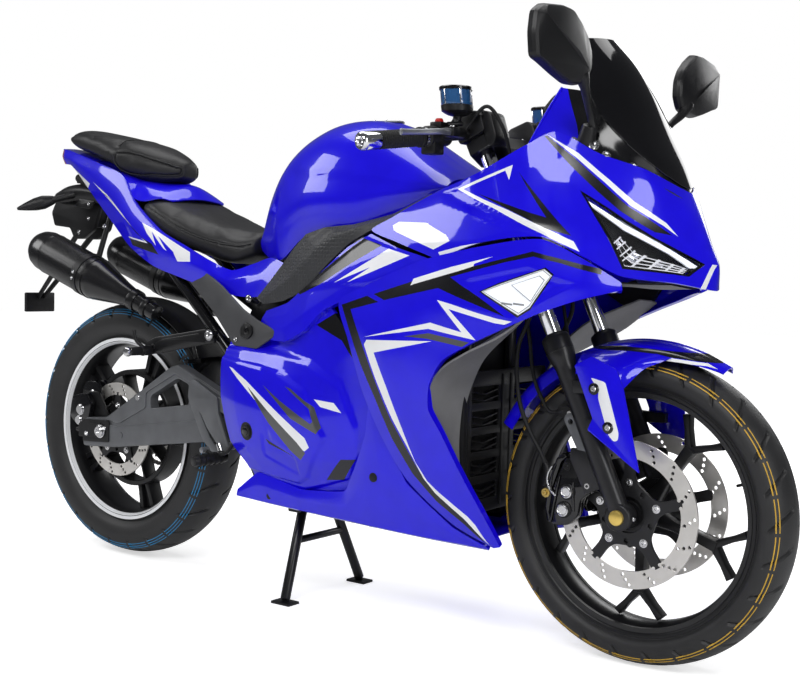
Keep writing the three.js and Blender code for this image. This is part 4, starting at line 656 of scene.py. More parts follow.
SIDE_COVER = [
    # lines from the rear forward, the top one first; top, front and foot lap behind their neighbours
    [[-244, -148, 566], [-190, -148, 590], [-124, -139, 602], [-40, -167, 602], [24, -187, 624],
     [74, -194, 664]],
    [[-250, -158, 520], [-190, -172, 522], [-110, -181, 514], [0, -195, 506], [84, -201, 532],
     [160, -208, 580]],
    [[-247, -160, 446], [-190, -178, 440], [-100, -190, 430], [10, -200, 424], [112, -204, 432],
     [212, -198, 466]],
    [[-216, -160, 352], [-160, -176, 350], [-80, -188, 345], [20, -195, 338], [108, -198, 342],
     [206, -190, 374]],
    [[-162, -160, 303], [-110, -170, 300], [-60, -176, 300], [0, -178, 294], [80, -182, 300],
     [170, -184, 320]],
    [[-150, -153, 276], [-110, -159, 268], [-60, -162, 260], [0, -163, 252], [80, -170, 258],
     [160, -177, 290]],
]
TAIL = [
    # top edge first, each line running forward
    [[-948, -48, 1027], [-880, -70, 1014], [-760, -92, 984], [-650, -108, 948], [-585, -122, 880],
     [-480, -136, 812],
    [-400, -140, 780], [-330, -137, 750], [-272, -118, 726], [-222, -100, 742], [-160, -112, 756],
     [-108, -126, 744]],
    [[-950, -50, 1010], [-890, -74, 998], [-775, -94, 950], [-680, -112, 895], [-600, -128, 830],
     [-500, -140, 780],
    [-410, -144, 752], [-330, -143, 726], [-275, -132, 704], [-222, -124, 712], [-170, -128, 716],
     [-132, -134, 708]],
    [[-944, -46, 990], [-899, -62, 984], [-790, -80, 902], [-700, -97, 836], [-620, -112, 778],
     [-520, -128, 732],
    [-420, -134, 706], [-330, -135, 684], [-280, -134, 674], [-230, -133, 668], [-195, -134, 668],
     [-168, -138, 670]],
]
HEADLAMP = [
    [622, -165, 882], [698, -130, 832], [741, -95, 801], [819, -35, 758],
    [797, -62, 735], [712, -163, 745], [692, -175, 800],
]
HEADLAMP_AIM = [-0.75, 0.62, -0.1]
POSITION_LAMP = [
    [478, -250, 699], [520, -250, 716], [612, -250, 745], [628, -250, 733], [584, -250, 670],
                 [558, -250, 655],
]
POSITION_LAMP_AIM = [-0.25, 1, 0]
SCREEN = [
    [[574, -57, 1178], [591, -31, 1180], [600, 0, 1181]],
    [[590, -86, 1122], [629, -50, 1130], [646, 0, 1130]],
    [[612, -106, 1066], [664, -62, 1072], [684, 0, 1071]],
    [[650, -117, 1016], [697, -68, 1012], [716, 0, 1008]],
    [[694, -112, 972], [730, -68, 956], [748, 0, 944]],
    [[724, -97, 944], [752, -56, 914], [768, 0, 896]],
]
# ------------------------------------------------------------------ panels with relief and painted stripes

def bisect(bm, pool, start, end, aim, margin=0.004):
    """Cuts the pool's faces near a segment along the plane through it and a direction."""
    low = np.minimum(start, end) - margin
    high = np.maximum(start, end) + margin
    normal = (end - start).cross(aim).normalized()
    skip = max(range(3), key=lambda i: abs(aim[i]))
    axes = [i for i in range(3) if i != skip]
    near = []
    for face in pool:
        c = face.calc_center_median()
        if all(low[i] < c[i] < high[i] for i in axes):
            near.append(face)
    parts = set(near) | {e for f in near for e in f.edges} | {v for f in near for v in f.verts}
    found = bmesh.ops.bisect_plane(bm, geom=list(parts), dist=1e-6, plane_co=start, plane_no=normal)
    pool.update(g for g in found["geom"] if isinstance(g, bmesh.types.BMFace))


def inside(point, outline):
    x, z = point
    hit = False
    for (x1, z1), (x2, z2) in zip(outline, outline[1:] + outline[:1]):
        if (z1 > z) != (z2 > z) and x < (x2 - x1) * (z - z1) / (z2 - z1) + x1:
            hit = not hit
    return hit


def painted(mesh, areas, side=RIGHT):
    """Paints areas, each a finish and an outline in X and Z, on the faces that look to one side."""
    bm = bmesh.new()
    bm.from_mesh(mesh)
    aim = Vector((0, 1, 0))
    for key, outline in areas:
        loop = [P(x, 0, z) for x, z in outline]
        low, high = np.min(loop, axis=0) - 0.012, np.max(loop, axis=0) + 0.012
        pool = set()
        for face in bm.faces:
            c = face.calc_center_median()
            if low[0] < c.x < high[0] and low[2] < c.z < high[2] and face.normal.y * side > 0.02:
                pool.add(face)
        for a, b in zip(loop, loop[1:] + loop[:1]):
            bisect(bm, pool, a, b, aim)
        flat = [(p.x, p.z) for p in loop]
        index = mesh.materials.find(M[key].name)
        if index < 0:
            mesh.materials.append(M[key])
            index = len(mesh.materials) - 1
        for face in pool:
            c = face.calc_center_median()
            if inside((c.x, c.z), flat):
                face.material_index = index
    bm.to_mesh(mesh)
    bm.free()
    return mesh


def emboss(net, outline, height, soft):
    """Raises or sinks a net inside an outline of X and Z, over a soft border."""
    net = net.copy()
    points = net[..., [0, 2]]
    loop = np.asarray(outline, float)
    away = np.full(points.shape[:2], 1e9)
    within = np.zeros(points.shape[:2], bool)
    for a, b in zip(loop, np.roll(loop, -1, axis=0)):
        line = b - a
        t = np.clip(((points - a) @ line) / (line @ line), 0, 1)
        away = np.minimum(away, np.linalg.norm(points - a - t[..., None] * line, axis=2))
        cross = (a[1] > points[..., 1]) != (b[1] > points[..., 1])
        slope = (b[0] - a[0]) * (points[..., 1] - a[1]) / (b[1] - a[1] if b[1] != a[1] else 1e-9) + a[0]
        within ^= cross & (points[..., 0] < slope)
    share = np.clip(away / soft, 0, 1) * within
    share = share * share * (3 - 2 * share)
    right = net[..., 1] < 8
    net -= grid_normals(net) * (share * right * height)[..., None]
    return net


def shell(net, thickness=3.2, depth=14.0, inset=3.2):
    """A panel of even thickness whose edges are turned inward all round, to a depth in millimetres."""
    inward = grid_normals(net)
    down, across = net.shape[:2]
    edge = [(0, j) for j in range(across)] + [(i, across - 1) for i in range(1, down)]
    edge += [(down - 1, j) for j in range(across - 2, -1, -1)] + [(i, 0) for i in range(down - 2, 0, -1)]
    back = net + inward * thickness
    core = back.copy()
    for i, j in edge:
        toward = net[min(max(i, 1), down - 2), min(max(j, 1), across - 2)] - net[i, j]
        core[i, j] += toward / max(np.linalg.norm(toward), 1e-9) * inset
    rim = [net[i, j] + inward[i, j] * depth for i, j in edge]
    lip = [core[i, j] + inward[i, j] * (depth - thickness) for i, j in edge]
    verts = np.concatenate([net.reshape(-1, 3), core.reshape(-1, 3), rim, lip])
    under = down * across
    a = (np.arange(down - 1)[:, None] * across + np.arange(across - 1)[None]).ravel()
    b, c, d = a + 1, a + across + 1, a + across
    faces = [tuple(f) for f in np.stack([d, c, b, a], 1)] + [tuple(f) for f in np.stack([a, b, c, d],
            1) + under]
    count = len(edge)
    flat = [i * across + j for i, j in edge]
    for k in range(count):
        m = (k + 1) % count
        p, q, r, s = flat[k], flat[m], 2 * under + k, 2 * under + m
        faces += [(p, q, s, r), (r, s, s + count, r + count), (r + count, s + count, q + under, p + under)]
    return raw(rows(verts), faces)


def prism(outline, aim, before, after):
    """A cutter through an outline of points in millimetres, along a direction."""
    aim = np.asarray(aim, float) / np.linalg.norm(aim)
    points = np.asarray(outline, float)
    return ringed([points - aim * before, points + aim * after])


def grown(outline, by):
    points = np.asarray(outline, float)
    arms = points - points.mean(0)
    return points + arms / np.linalg.norm(arms, axis=1)[:, None] * by


def panel(name, net, size, areas=(), relief=(), hole=None, key="blue", depth=14.0,
          crisp=0.0):
    """A body panel on each side, from the same net as its solid, with its relief and painted stripes."""
    net = smooth_net(net, *size, crisp)
    for outline, height, soft in relief:
        net = emboss(net, outline, height, soft)
    mesh = tinted(shell(net, depth=depth), key)
    if hole:
        mesh = boolean(mesh, prism(grown(hole[0], 0.6), hole[1], 90, 60))
    if areas:
        mesh = painted(mesh, areas)
    for label, side in SIDES:
        node = f"{name}_{label}"
        piece(f"{node}_panel", on(side, mesh), "chassis", key, node, bevel=0.9)


# ------------------------------------------------------------------ bodywork

FAIRING_NET = turned_net(FAIRING[::-1])
FAIRING_CRISP, COWL_CRISP = 0.3, 0.3
LAMP_FRAME = [(440, 722), (580, 750), (668, 718), (548, 653), (447, 678)]
FAIRING_STRIPES = [
    ("black_paint", [(128, 663), (154, 610), (185, 548), (224, 483), (262, 407), (308, 341), (361, 292),
                     (423, 253), (464, 219), (446, 244), (391, 292), (339, 331), (306, 381), (264, 446),
                     (224, 525), (180, 611), (156, 655), (235, 672), (201, 683)]),
    ("black_paint", [(219, 687), (320, 714), (464, 745), (584, 773), (636, 761), (700, 745), (700, 735),
                     (637, 753), (587, 764), (530, 753), (413, 724), (476, 690), (534, 655), (472, 675),
                     (387, 703), (250, 676)]),
    ("white", [(199, 587), (207, 597), (374, 603), (228, 573), (260, 508), (286, 449), (320, 366), (345, 331),
               (366, 315), (431, 271), (446, 256), (471, 218), (423, 265), (362, 308), (336, 335), (302, 396),
               (270, 445), (227, 527)]),
    ("white", [(387, 681), (421, 674), (472, 661), (518, 651), (547, 647), (532, 641), (511, 643), (458, 655),
               (414, 665), (472, 610), (438, 615), (366, 626), (199, 602), (371, 638), (442, 623)]),
    ("grey_paint", [(306, 609), (366, 618), (458, 605), (443, 596), (363, 607)]),
    ("white", [(317, 706), (323, 719), (413, 743), (504, 763), (464, 749), (464, 745), (429, 735),
               (326, 709)]),
]
MID_STRIPES = [
    ("black_paint", [(160, 797), (219, 783), (144, 748), (48, 700), (-16, 679), (-27, 683)]),
    ("white", [(240, 776), (296, 763), (136, 708), (195, 739), (97, 707)]),
]
SIDE_STRIPES = [
    ("white", [(-219, 514), (-205, 512), (-156, 489), (30, 383), (42, 364), (29, 355), (5, 363)]),
    ("grey_paint", [(-150, 477), (-80, 429), (6, 372), (31, 351), (17, 335), (-12, 352), (-79, 405)]),
    ("grey_paint", [(-102, 484), (-46, 455), (46, 414), (52, 419), (41, 445), (-32, 486), (-14, 482),
                    (53, 448), (73, 408), (62, 394), (-11, 420)]),
    ("white", [(51, 465), (106, 462), (126, 443), (69, 451)]),
    ("black_paint", [(-91, 369), (-1, 339), (-80, 359)]),
    ("gloss", [(122, 347), (156, 350), (119, 303), (73, 298)]),
    ("gloss", [(40, 618), (104, 648), (152, 582), (160, 545), (118, 590)]),
]
SIDE_RELIEF = [
    ([(-85, 557), (27, 544), (123, 502), (163, 420), (170, 365), (131, 303), (-3, 262), (-174, 270),
      (-300, 330), (-300, 560)], 5.5, 9),
    ([(-300, 545), (-235, 538), (-69, 521), (25, 484), (87, 387), (26, 294), (-3, 278), (-167, 290),
      (-300, 330)], 5, 9),
    ([(-104, 378), (-79, 393), (-70, 372), (3, 338), (6, 296), (-99, 330)], -3, 6),
]
panel("side_fairing", FAIRING_NET, (151, 47), FAIRING_STRIPES, [(LAMP_FRAME, -3.5, 12)],
      (POSITION_LAMP, POSITION_LAMP_AIM), crisp=FAIRING_CRISP)
panel("mid_panel", MID_PANEL, (71, 31), MID_STRIPES,
      [([(170, 800), (226, 785), (350, 752), (193, 702), (98, 700), (-30, 680)], 2.5, 6)], crisp=0.75)
panel("side_cover", SIDE_COVER, (109, 81), SIDE_STRIPES, SIDE_RELIEF, depth=8, crisp=0.55)
panel("frame_cover", turned_net(FRAME_COVER), (77, 17), key="hex", depth=10, crisp=0.9)


def upper_cowl():
    net = smooth_net(across_nose(COWL), 151, 51, COWL_CRISP)
    net = emboss(net, [(349, 888), (387, 890), (600, 808), (610, 798), (520, 818), (372, 868)], -3, 5)
    mesh = tinted(sheet(net, 4), "blue")
    stripes = [
        ("white", [(238, 822), (254, 829), (329, 826), (388, 802), (399, 791), (359, 775), (312, 790),
                   (245, 811)]),
        ("white", [(372, 770), (430, 782), (555, 799), (480, 786), (378, 762)]),
        ("white", [(390, 890), (403, 890), (459, 869), (523, 847), (597, 817), (652, 792), (665, 774),
                   (627, 791), (489, 851), (441, 869)]),
        ("black_paint", [(526, 918), (559, 886), (595, 850), (646, 802), (605, 813), (557, 834), (443, 880),
                         (520, 857), (569, 842), (598, 834), (574, 861)]),
        ("white", [(390, 890), (511, 931), (509, 903), (497, 921), (405, 889)]),
        ("black_paint", [(562, 984), (568, 984), (619, 943), (667, 898), (709, 857), (734, 839), (753, 823),
                         (770, 808), (748, 813), (727, 828), (698, 850), (659, 886), (613, 931)]),
        ("white", [(566, 987), (622, 953), (676, 905), (716, 866), (737, 850), (760, 830), (777, 806),
                   (757, 825), (733, 843), (710, 860), (670, 900), (619, 946)]),
        # a painted highlight: this thin white line on the nose's corner below the lamp stands in for the
        # light that the crease there catches
        ("white", [(812, 705), (817, 704), (828, 757), (824, 758)]),
    ]
    mesh = painted(mesh, stripes)
    mesh = flipped(painted(flipped(mesh), stripes))
    cutter = prism(grown(HEADLAMP, 0.6), HEADLAMP_AIM, 90, 60)
    mesh = boolean(boolean(mesh, cutter), flipped(cutter))
    floor = smooth_net([[(596, -146, 728), (632, -75, 720), (636, 0, 716), (632, 75, 720), (596, 146, 728)],
                        [(660, -138, 726), (664, -70, 719), (666, 0, 716), (664, 70, 719), (660, 138, 726)],
                        [(715, -120, 722), (715, -60, 716), (715, 0, 713), (715, 60, 716), (715, 120, 722)],
                        [(772, -76, 722), (777, -38, 718), (780, 0, 715), (777, 38, 718), (772, 76, 722)]],
                       31, 31)
    mesh = joined(mesh, tinted(outward(sheet(floor, 3)), "plastic"))
    piece("upper_cowl_shell", mesh, "chassis", "blue", "upper_cowl", bevel=0.9)


def tail_cowl():
    net = smooth_net(across_tail(TAIL), 201, 27, 0.3)
    mesh = tinted(sheet(net, 4), "blue")
    stripes = [
        ("white", [(-781, 937), (-712, 904), (-639, 856), (-573, 809), (-528, 783), (-614, 798), (-616, 801),
                   (-543, 790), (-605, 830), (-692, 884)]),
        ("black_paint", [(-750, 916), (-702, 893), (-619, 840), (-556, 799), (-513, 783), (-490, 758),
                         (-604, 780), (-612, 796), (-528, 784), (-573, 807), (-640, 853), (-712, 900)]),
        ("white", [(-883, 976), (-801, 934), (-817, 924), (-896, 966)]),
        ("pale_red", [(-970, 1040), (-936, 1036), (-928, 960), (-970, 960)]),
        ("white", [(-556, 834), (-495, 812), (-383, 765), (-379, 743), (-423, 743), (-436, 765), (-493, 802),
                   (-459, 767), (-470, 772), (-517, 812), (-497, 779), (-535, 809)]),
    ]
    mesh = painted(mesh, stripes)
    mesh = flipped(painted(flipped(mesh), stripes))
    hump = [[(-690, -98, 957), (-690, -60, 957), (-690, 0, 955)],
            [(-640, -108, 938), (-640, -70, 940), (-640, 0, 936)],
            [(-598, -118, 892), (-600, -88, 926), (-600, 0, 931)],
            [(-560, -122, 884), (-560, -90, 912), (-560, 0, 930)],
            [(-522, -104, 890), (-520, -70, 904), (-520, 0, 924)],
            [(-500, -84, 884), (-496, -56, 888), (-492, 0, 892)]]
    lid = [[(-949, -47, 1026), (-949, -24, 1028), (-950, 0, 1029)],
           [(-905, -62, 1019), (-905, -32, 1021), (-905, 0, 1022)],
           [(-850, -78, 1006), (-850, -40, 1006), (-850, 0, 1006)],
           [(-790, -88, 990), (-790, -46, 990), (-790, 0, 990)]]
    tops = [tinted(outward(sheet(smooth_net(across_nose(net), 31, 31), -3)), "blue") for net in (hump, lid)]
    mesh = joined(mesh, *tops)
    bolts = [screw((-204, -135, 664), (0, -1, 0), 7, 2.5, "bright", washer=9)]
    bolts.append(flipped(bolts[0]))
    piece("tail_cowl_shell", joined(mesh, *bolts), "chassis", "blue", "tail_cowl", bevel=0.9)


def belly_pan():
    net = smooth_net(turned_net(BELLY), 101, 35, 0.8)
    vent = [(112, 342), (160, 348), (126, 300), (77, 296)]
    net = emboss(net, vent, -4, 5)
    half = painted(tinted(shell(net, depth=9), "blue"), [("gloss",
                                                          [(114, 340), (156, 345), (124, 302), (81, 299)])])
    plugs = [screw((x, y, z), (0, -1, 0), 8, 1.6, "plastic", socket=0, washer=9.5)
             for x, y, z in ((208, -205, 321), (-97, -173, 242))]
    half = joined(half, *plugs)
    floor = block((150, 400), (-140, 140), (203.5, 206.5), 0.8)
    piece("belly_pan_shell", joined(half, flipped(half), tinted(floor, "blue")), "chassis", "blue",
          "belly_pan",
          bevel=0.9)


def radiator_shroud():
    inner = sheet(smooth_net(turned_net(INNER_PANEL), 61, 17), 4)
    low, high, slots = 258, 540, 5
    pitch = (high - low - 40) / slots
    holes, slats = [], []
    for side in (-1, 1):
        a, b = sorted((side * 30, side * 128))
        middle = (a + b) / 2
        for i in range(slots):
            z = low + 26 + i * pitch
            holes.append([(a, z), (b, z), (b, z + pitch - 16), (a, z + pitch - 16)])
            # a bent louvre stands in every opening, its middle lower than its ends
            for lift in (7, 20):
                line = [(a + 1, z + lift + 5), (middle, z + lift - 3), (b - 1, z + lift + 5)]
                outline = line + [(y, h - 2.6) for y, h in line[::-1]]
                slats.append(outline)
    outline = rounded([(-156, low), (156, low), (156, high), (-156, high)], 6)
    turn = Matrix.Translation((SHIFT, 0, 0)) @ Matrix(((0, 1, 0, 0), (1, 0, 0, 0), (0, 0, 1, 0),
                                                       (0, 0, 0, 1)))
    wall = flat_plate(outline, 376, 388, [rounded(h, 4) for h in holes], bevel=1, matrix=turn)
    bars = [flat_plate(s, 377, 387, bevel=0.5, matrix=turn) for s in slats]
    ribs = [block((386, 389.5), (y - 4, y + 4), (low + 8, high - 8), 1) for y in (-142, -16, 16, 142)]
    mesh = joined(tinted(joined(inner, flipped(inner)), "inner"),
                  tinted(joined(wall, *bars, *ribs), "plastic"))
    piece("radiator_shroud_louvres", mesh, "chassis", "grey", "radiator_shroud", bevel=0)


def section(x, top, wide, shoulder, bottom, base):
    rise = top - shoulder
    return (x, [(0, top), (wide * 0.42, top - rise * 0.07), (wide * 0.8, top - rise * 0.36), (wide, shoulder),
                ((wide + base) / 2 + 2, (shoulder + bottom) / 2), (base, bottom), (0, bottom)])


def symmetric(stations, along, around):
    """Rings round a body that is the same on both sides."""
    lines = [spline([(x, *half[k]) for x, half in stations], along) for k in range(len(stations[0][1]))]
    rings = []
    for i in range(along):
        left = spline([line[i] for line in lines[:-1]], around)
        left = np.vstack([left, lines[-1][i]])
        rings.append(np.vstack([left, (left[1:-1] * (1, -1, 1))[::-1]]))
    return rings


upper_cowl()
tail_cowl()
belly_pan()
radiator_shroud()


# ------------------------------------------------------------------ wheels

FRONT = (700, 293)
REAR = (-700, 322)
RAKE = math.radians(24.9)
UP = np.array([-math.sin(RAKE), 0, math.cos(RAKE)])
AHEAD = np.array([math.cos(RAKE), 0, math.sin(RAKE)])


def fork(s, y, p=0.0):
    """A point up the fork from the front axle, at y, and ahead of it by p."""
    return np.array([FRONT[0], 0, FRONT[1]]) + UP * s + AHEAD * p + np.array([0, y, 0])


def polar(at, radius, angle):
    return (at[0] + radius * math.cos(angle), at[1] + radius * math.sin(angle))


def tread(at, outer, inner, sipes, start, end, shear, depth=2.4, width=3.4):
    """A tyre whose tread has slanted grooves that run from near its middle far round its shoulders."""
    outer = spline([(r, y, 0) for r, y in outer], 29)[:, :2]
    lengths = np.linalg.norm(np.diff(outer, axis=0), axis=1)
    run = np.append(np.cumsum(lengths[::-1])[::-1], 0)      # the way over the tread from its middle
    reach = [*run, *run[-2::-1]]
    half = outer[:-1]
    profile = [*half, outer[-1], *[(r, -y) for r, y in half[::-1]]]
    top = len(profile)
    profile += [(r, -y) for r, y in inner] + [(r, y) for r, y in inner[-2::-1]]
    profile = np.array(profile)
    pitch = 2 * math.pi / sipes
    groove = width / outer[-1][0]
    steps = [0, groove * 0.18, groove * 0.82, groove]
    steps += list(np.linspace(groove, pitch / 2, 5)[1:])
    steps = steps + [pitch / 2 + s for s in steps[1:-1]]
    angles = np.concatenate([i * pitch + np.array(steps) for i in range(sipes)])
    columns = len(steps)
    verts = []
    for i, angle in enumerate(angles):
        k = i % columns
        for j, (r, y) in enumerate(profile):
            side = 1 if y > 0 else -1
            turn, cut = angle, 0.0
            if j < top:
                share = reach[j]
                turn += shear * (min(share, end) / end) ** 1.4 / outer[-1][0] * side
                here = (k in (1, 2)) if side > 0 else (k in (9, 10))
                if here and start < share < end:
                    cut = depth * min(1, (share - start) / 4, (end - share) / 6)
            low = cut * min(1, share / 90)
            out = r - cut + low * 0.5
            verts.append((at[0] + out * math.cos(turn), y - side * low, at[1] + out * math.sin(turn)))
    n = len(profile)
    count = len(angles)
    faces = [(i * n + k, i * n + (k + 1) % n, ((i + 1) % count) * n + (k + 1) % n, ((i + 1) % count) * n + k)
             for i in range(count) for k in range(n)]
    return outward(raw(rows(verts), faces))


def dashes(at, radius, y, lean, count, share, width=1.6):
    """A broken line painted round a tread."""
    verts, faces = [], []
    for i in range(count):
        angles = np.linspace(0, share, 7) * 2 * math.pi / count + i * 2 * math.pi / count
        first = len(verts)
        for a in angles:
            for r, w in ((radius - 1, -width / 2), (radius + 0.45, -width / 2),
                         (radius + 0.45 - lean * width, width / 2), (radius - 1 - lean * width, width / 2)):
                verts.append((at[0] + r * math.cos(a), y + w, at[1] + r * math.sin(a)))
        for k in range(6):
            for m in range(4):
                a, b = first + k * 4 + m, first + k * 4 + (m + 1) % 4
                faces.append((a, b, b + 4, a + 4))
        faces += [tuple(first + m for m in range(4)), tuple(first + 24 + m for m in range(4))]
    return outward(raw(rows(verts), faces))


def arm_outline(at, angle, stations):
    """An outline symmetric about a radial line: (radius, half width) stations."""
    def place(r, w):
        return (at[0] + r * math.cos(angle) - w * math.sin(angle),
                at[1] + r * math.sin(angle) + w * math.cos(angle))
    return [place(r, w) for r, w in stations] + [place(r, -w) for r, w in stations[::-1]]


def rim_ring(at, bead, flange):
    """The rim: flanges over the beads, and a deep well between them."""
    edge = bead + 1.3
    top = [(flange - 10, edge), (flange - 0.6, edge), (flange, edge + 0.6), (flange, edge + 4.2),
           (flange - 0.8, edge + 5)]
    under = [(flange - 6, edge + 5), (flange - 8, edge + 4.2), (flange - 10.5, edge + 1),
             (flange - 14, edge - 4), (flange - 20, bead - 14), (flange - 24, bead - 22)]
    well = [(flange - 14, bead - 6), (flange - 18, bead - 14), (flange - 19, bead - 22)]
    half = [*reversed(well), *top, *under]
    loop = half + [(r, -y) for r, y in reversed(half)]
    return lathe(loop, at, 160)


def front_wheel():
    beads = [(237.5, 43.5), (241, 48), (247, 52.2), (254, 54.3), (262, 54.6), (270, 52.2), (279, 44.5),
             (286, 33.5), (290.8, 19), (292.4, 8), (293, 0)]
    tyre = tread(FRONT, beads, [(217.6, 39), (217.6, 31), (255, 44), (280, 0)], 26, 9, 72, 44, 5.0, 6.5)
    marks = joined(*[dashes(FRONT, r, s * y, lean * s, 26, 0.9, width) for s in (1, -1) for y, r, lean,
                     width in
                     ((45.6, 277.9, 1.15, 0.75), (50.4, 272.7, 1.8, 0.6))])
    piece("front_tyre_tread", tyre, "front_wheel", "rubber", "front_tyre", smooth=30)
    piece("front_tyre_marks", marks, "front_wheel", "gold_line", smooth=0)
    parts = [rim_ring(FRONT, 38, 236)]
    hub = [(10.3, -66), (10.3, 66), (24, 66), (26, 64), (50, 64), (52, 62), (52, 57), (49, 55), (35, 48),
           (33, 40)]
    parts.append(lathe(hub + [(r, -y) for r, y in hub[2:][::-1]], FRONT, 96))
    for i in range(5):
        angle = i / 5 * 2 * math.pi - math.pi / 2
        stem = arm_outline(FRONT, angle, [(26, 20), (40, 15), (70, 10.5), (120, 9.5), (158, 11)])
        parts.append(flat_plate(stem, -15, 15, bevel=4))
        for turn in (-0.72, 0.72):
            root = polar(FRONT, 150, angle)
            branch = arm_outline(root, angle + turn, [(-4, 8), (6, 7.5), (40, 5.5), (68, 7.5)])
            parts.append(flat_plate(branch, -12.5, 12.5, bevel=3))
    piece("front_wheel_casting", joined(*parts), "front_wheel", "wheel", "front_rim",
          smooth=40)
    valve = sweep([(*polar(FRONT, 207, 0.35)[:1], 14, polar(FRONT, 207, 0.35)[1]),
                   (*polar(FRONT, 184, 0.35)[:1], 18, polar(FRONT, 184, 0.35)[1])], 3, 12)
    piece("front_valve", valve, "front_wheel", "plastic")


def disc(at, radius, width, y, seat, holes, arms, start, side, name, body, node, key="steel"):
    """A drilled brake disc on a dark five-armed carrier, with its bobbins and bolts."""
    inner = radius - width
    drill = []
    for group in range(holes):
        angle = group / holes * 2 * math.pi
        for k, share in enumerate((0.22, 0.5, 0.78)):
            drill.append(ring(*polar(at, inner + width * share, angle + (k - 1) * 0.055), 3.4, 12))
    band = flat_plate(ring(*at, radius, 128), y - 2.2, y + 2.2, [ring(*at, inner, 128), *drill], bevel=0.35)
    outline = []
    for i in range(arms):
        angle = start + i / arms * 2 * math.pi
        for a, r in ((-0.52, 58), (-0.26, 62), (-0.13, 78), (-0.10, inner + 7), (0.10, inner + 7), (0.13, 78),
                     (0.26, 62), (0.52, 58)):
            outline.append(polar(at, r, angle + a))
    outline = rounded(outline, 9)
    windows = [ring(*polar(at, 49, start + (i + 0.5) / arms * 2 * math.pi), 5, 16) for i in range(arms)]
    carrier = flat_plate(outline, y - 3.2, y + 3.0, [ring(*at, 34, 48), *windows], bevel=0.7)
    spacer = lathe([(30, seat), (52, seat), (56, seat + 1), (56, y - 2), (30, y - 2)], at, 64)
    bolts = []
    for i in range(arms):
        angle = start + i / arms * 2 * math.pi
        x, z = polar(at, 60, angle)
        bolts.append(screw((x, y + 3.0, z), (0, 1, 0), 5.5, 3.6, "bright", washer=8))
        for k in (-0.07, 0.07):
            x, z = polar(at, inner + 2.5, angle + k)
            bolts.append(screw((x, y + 2.6, z), (0, 1, 0), 3.4, 1.0, "steel", socket=0))
    mesh = joined(tinted(band, key), tinted(joined(carrier, spacer), "fork"), *bolts)
    mesh = mesh if side > 0 else flipped(mesh)
    piece(name, mesh, body, key, node, smooth=14, even=True)


def rear_wheel():
    beads = [(232, 51), (237, 56), (246, 63), (262, 68.4), (276, 68.6), (286, 66.8), (294.5, 63.5),
             (303, 53.5), (309.3, 40), (313.7, 26), (315.6, 10), (316, 0)]
    tyre = tread(REAR, beads, [(217.6, 51), (217.6, 43), (255, 60), (303, 0)], 26, 12, 84, 48, 5.0, 6.5)
    marks = joined(*[dashes(REAR, r, s * y, lean * s, 26, 0.9, width) for s in (1, -1) for y, r, lean,
                     width in
                     ((58.6, 299.4, 1.3, 0.8), (63.4, 294.6, 2.2, 0.5), (66.0, 288.6, 2.8, 0.4))])
    piece("rear_tyre_tread", tyre, "rear_wheel", "rubber", "rear_tyre", smooth=30)
    piece("rear_tyre_marks", marks, "rear_wheel", "blue_line", smooth=0)
    parts = [rim_ring(REAR, 50, 229)]
    basket = [(134, -26), (134, 26), (136, 28), (145, 28), (147, 26), (147, -26), (145, -28), (136, -28)]
    parts.append(lathe(basket, REAR, 96))
    hub = [(12.3, -69), (12.3, 69), (56, 69), (58, 67), (58, 61), (55, 58), (47, 50), (45, 44)]
    parts.append(lathe(hub + [(r, -y) for r, y in hub[2:][::-1]], REAR, 96))
    for i in range(10):
        angle = i / 10 * 2 * math.pi
        parts.append(flat_plate(arm_outline(REAR, angle, [(40, 8), (60, 4.5), (120, 3.6), (137, 6)]), -20, 20,
                                bevel=2))
    for i in range(5):
        angle = i / 5 * 2 * math.pi - math.pi / 2 + 0.25
        for turn in (-0.09, 0.09):
            parts.append(flat_plate(arm_outline(REAR, angle + turn, [(141, 8), (160, 6.5), (207, 7.5)]), -20,
                                    20, bevel=3))
        web = arm_outline(REAR, angle, [(141, 14), (165, 13), (205, 17)])
        parts.append(flat_plate(web, -9, 9, bevel=1.5))
    casting = joined(*parts)
    stripe = []
    for s in (1, -1):
        for face in ([(228.2, 57.1), (222, 57.1), (220.6, 56.6), (220.6, 51.6), (228.2, 54)],
                     [(219, 56), (217.6, 55.4), (213.4, 48.6), (214.7, 47.4), (219, 50.4)]):
            stripe.append(lathe([(r, s * y) for r, y in face], REAR, 160))
    piece("rear_wheel_casting", casting, "rear_wheel", "wheel", "rear_rim", smooth=40)
    piece("rear_rim_stripe", joined(*stripe), "rear_wheel", "white", smooth=30)


def toothed(at, root, tip, teeth):
    points = []
    for i in range(teeth):
        for a, r in ((-0.30, root), (-0.16, tip - 0.5), (-0.08, tip), (0.08, tip), (0.16, tip - 0.5),
                     (0.30, root)):
            points.append(polar(at, r, (i + a) / teeth * 2 * math.pi))
    return points


def sprocket():
    teeth = toothed(REAR, 85, 91.6, 44)
    slots = []
    for i in range(5):
        start = i / 5 * 2 * math.pi + 0.25
        arc = np.linspace(0, 0.75, 10)
        slots.append([polar(REAR, 77, start + a) for a in arc] + [polar(REAR, 63,
                start + a) for a in arc[::-1]])
    plate = flat_plate(teeth, 77.2, 82.8, [ring(*REAR, 31, 48), *slots], bevel=0.7)
    seat = lathe([(30, 69.3), (56, 69.3), (56, 78), (30, 78)], REAR, 64)
    bolts = []
    for i in range(5):
        x, z = polar(REAR, 48, i / 5 * 2 * math.pi)
        bolts.append(screw((x, 82.6, z), (0, 1, 0), 7, 4.5, "bright", socket=6))
    mesh = joined(tinted(plate, "steel"), tinted(seat, "fork"), *bolts)
    piece("rear_sprocket_teeth", mesh, "rear_wheel", "steel", "rear_sprocket", smooth=30)


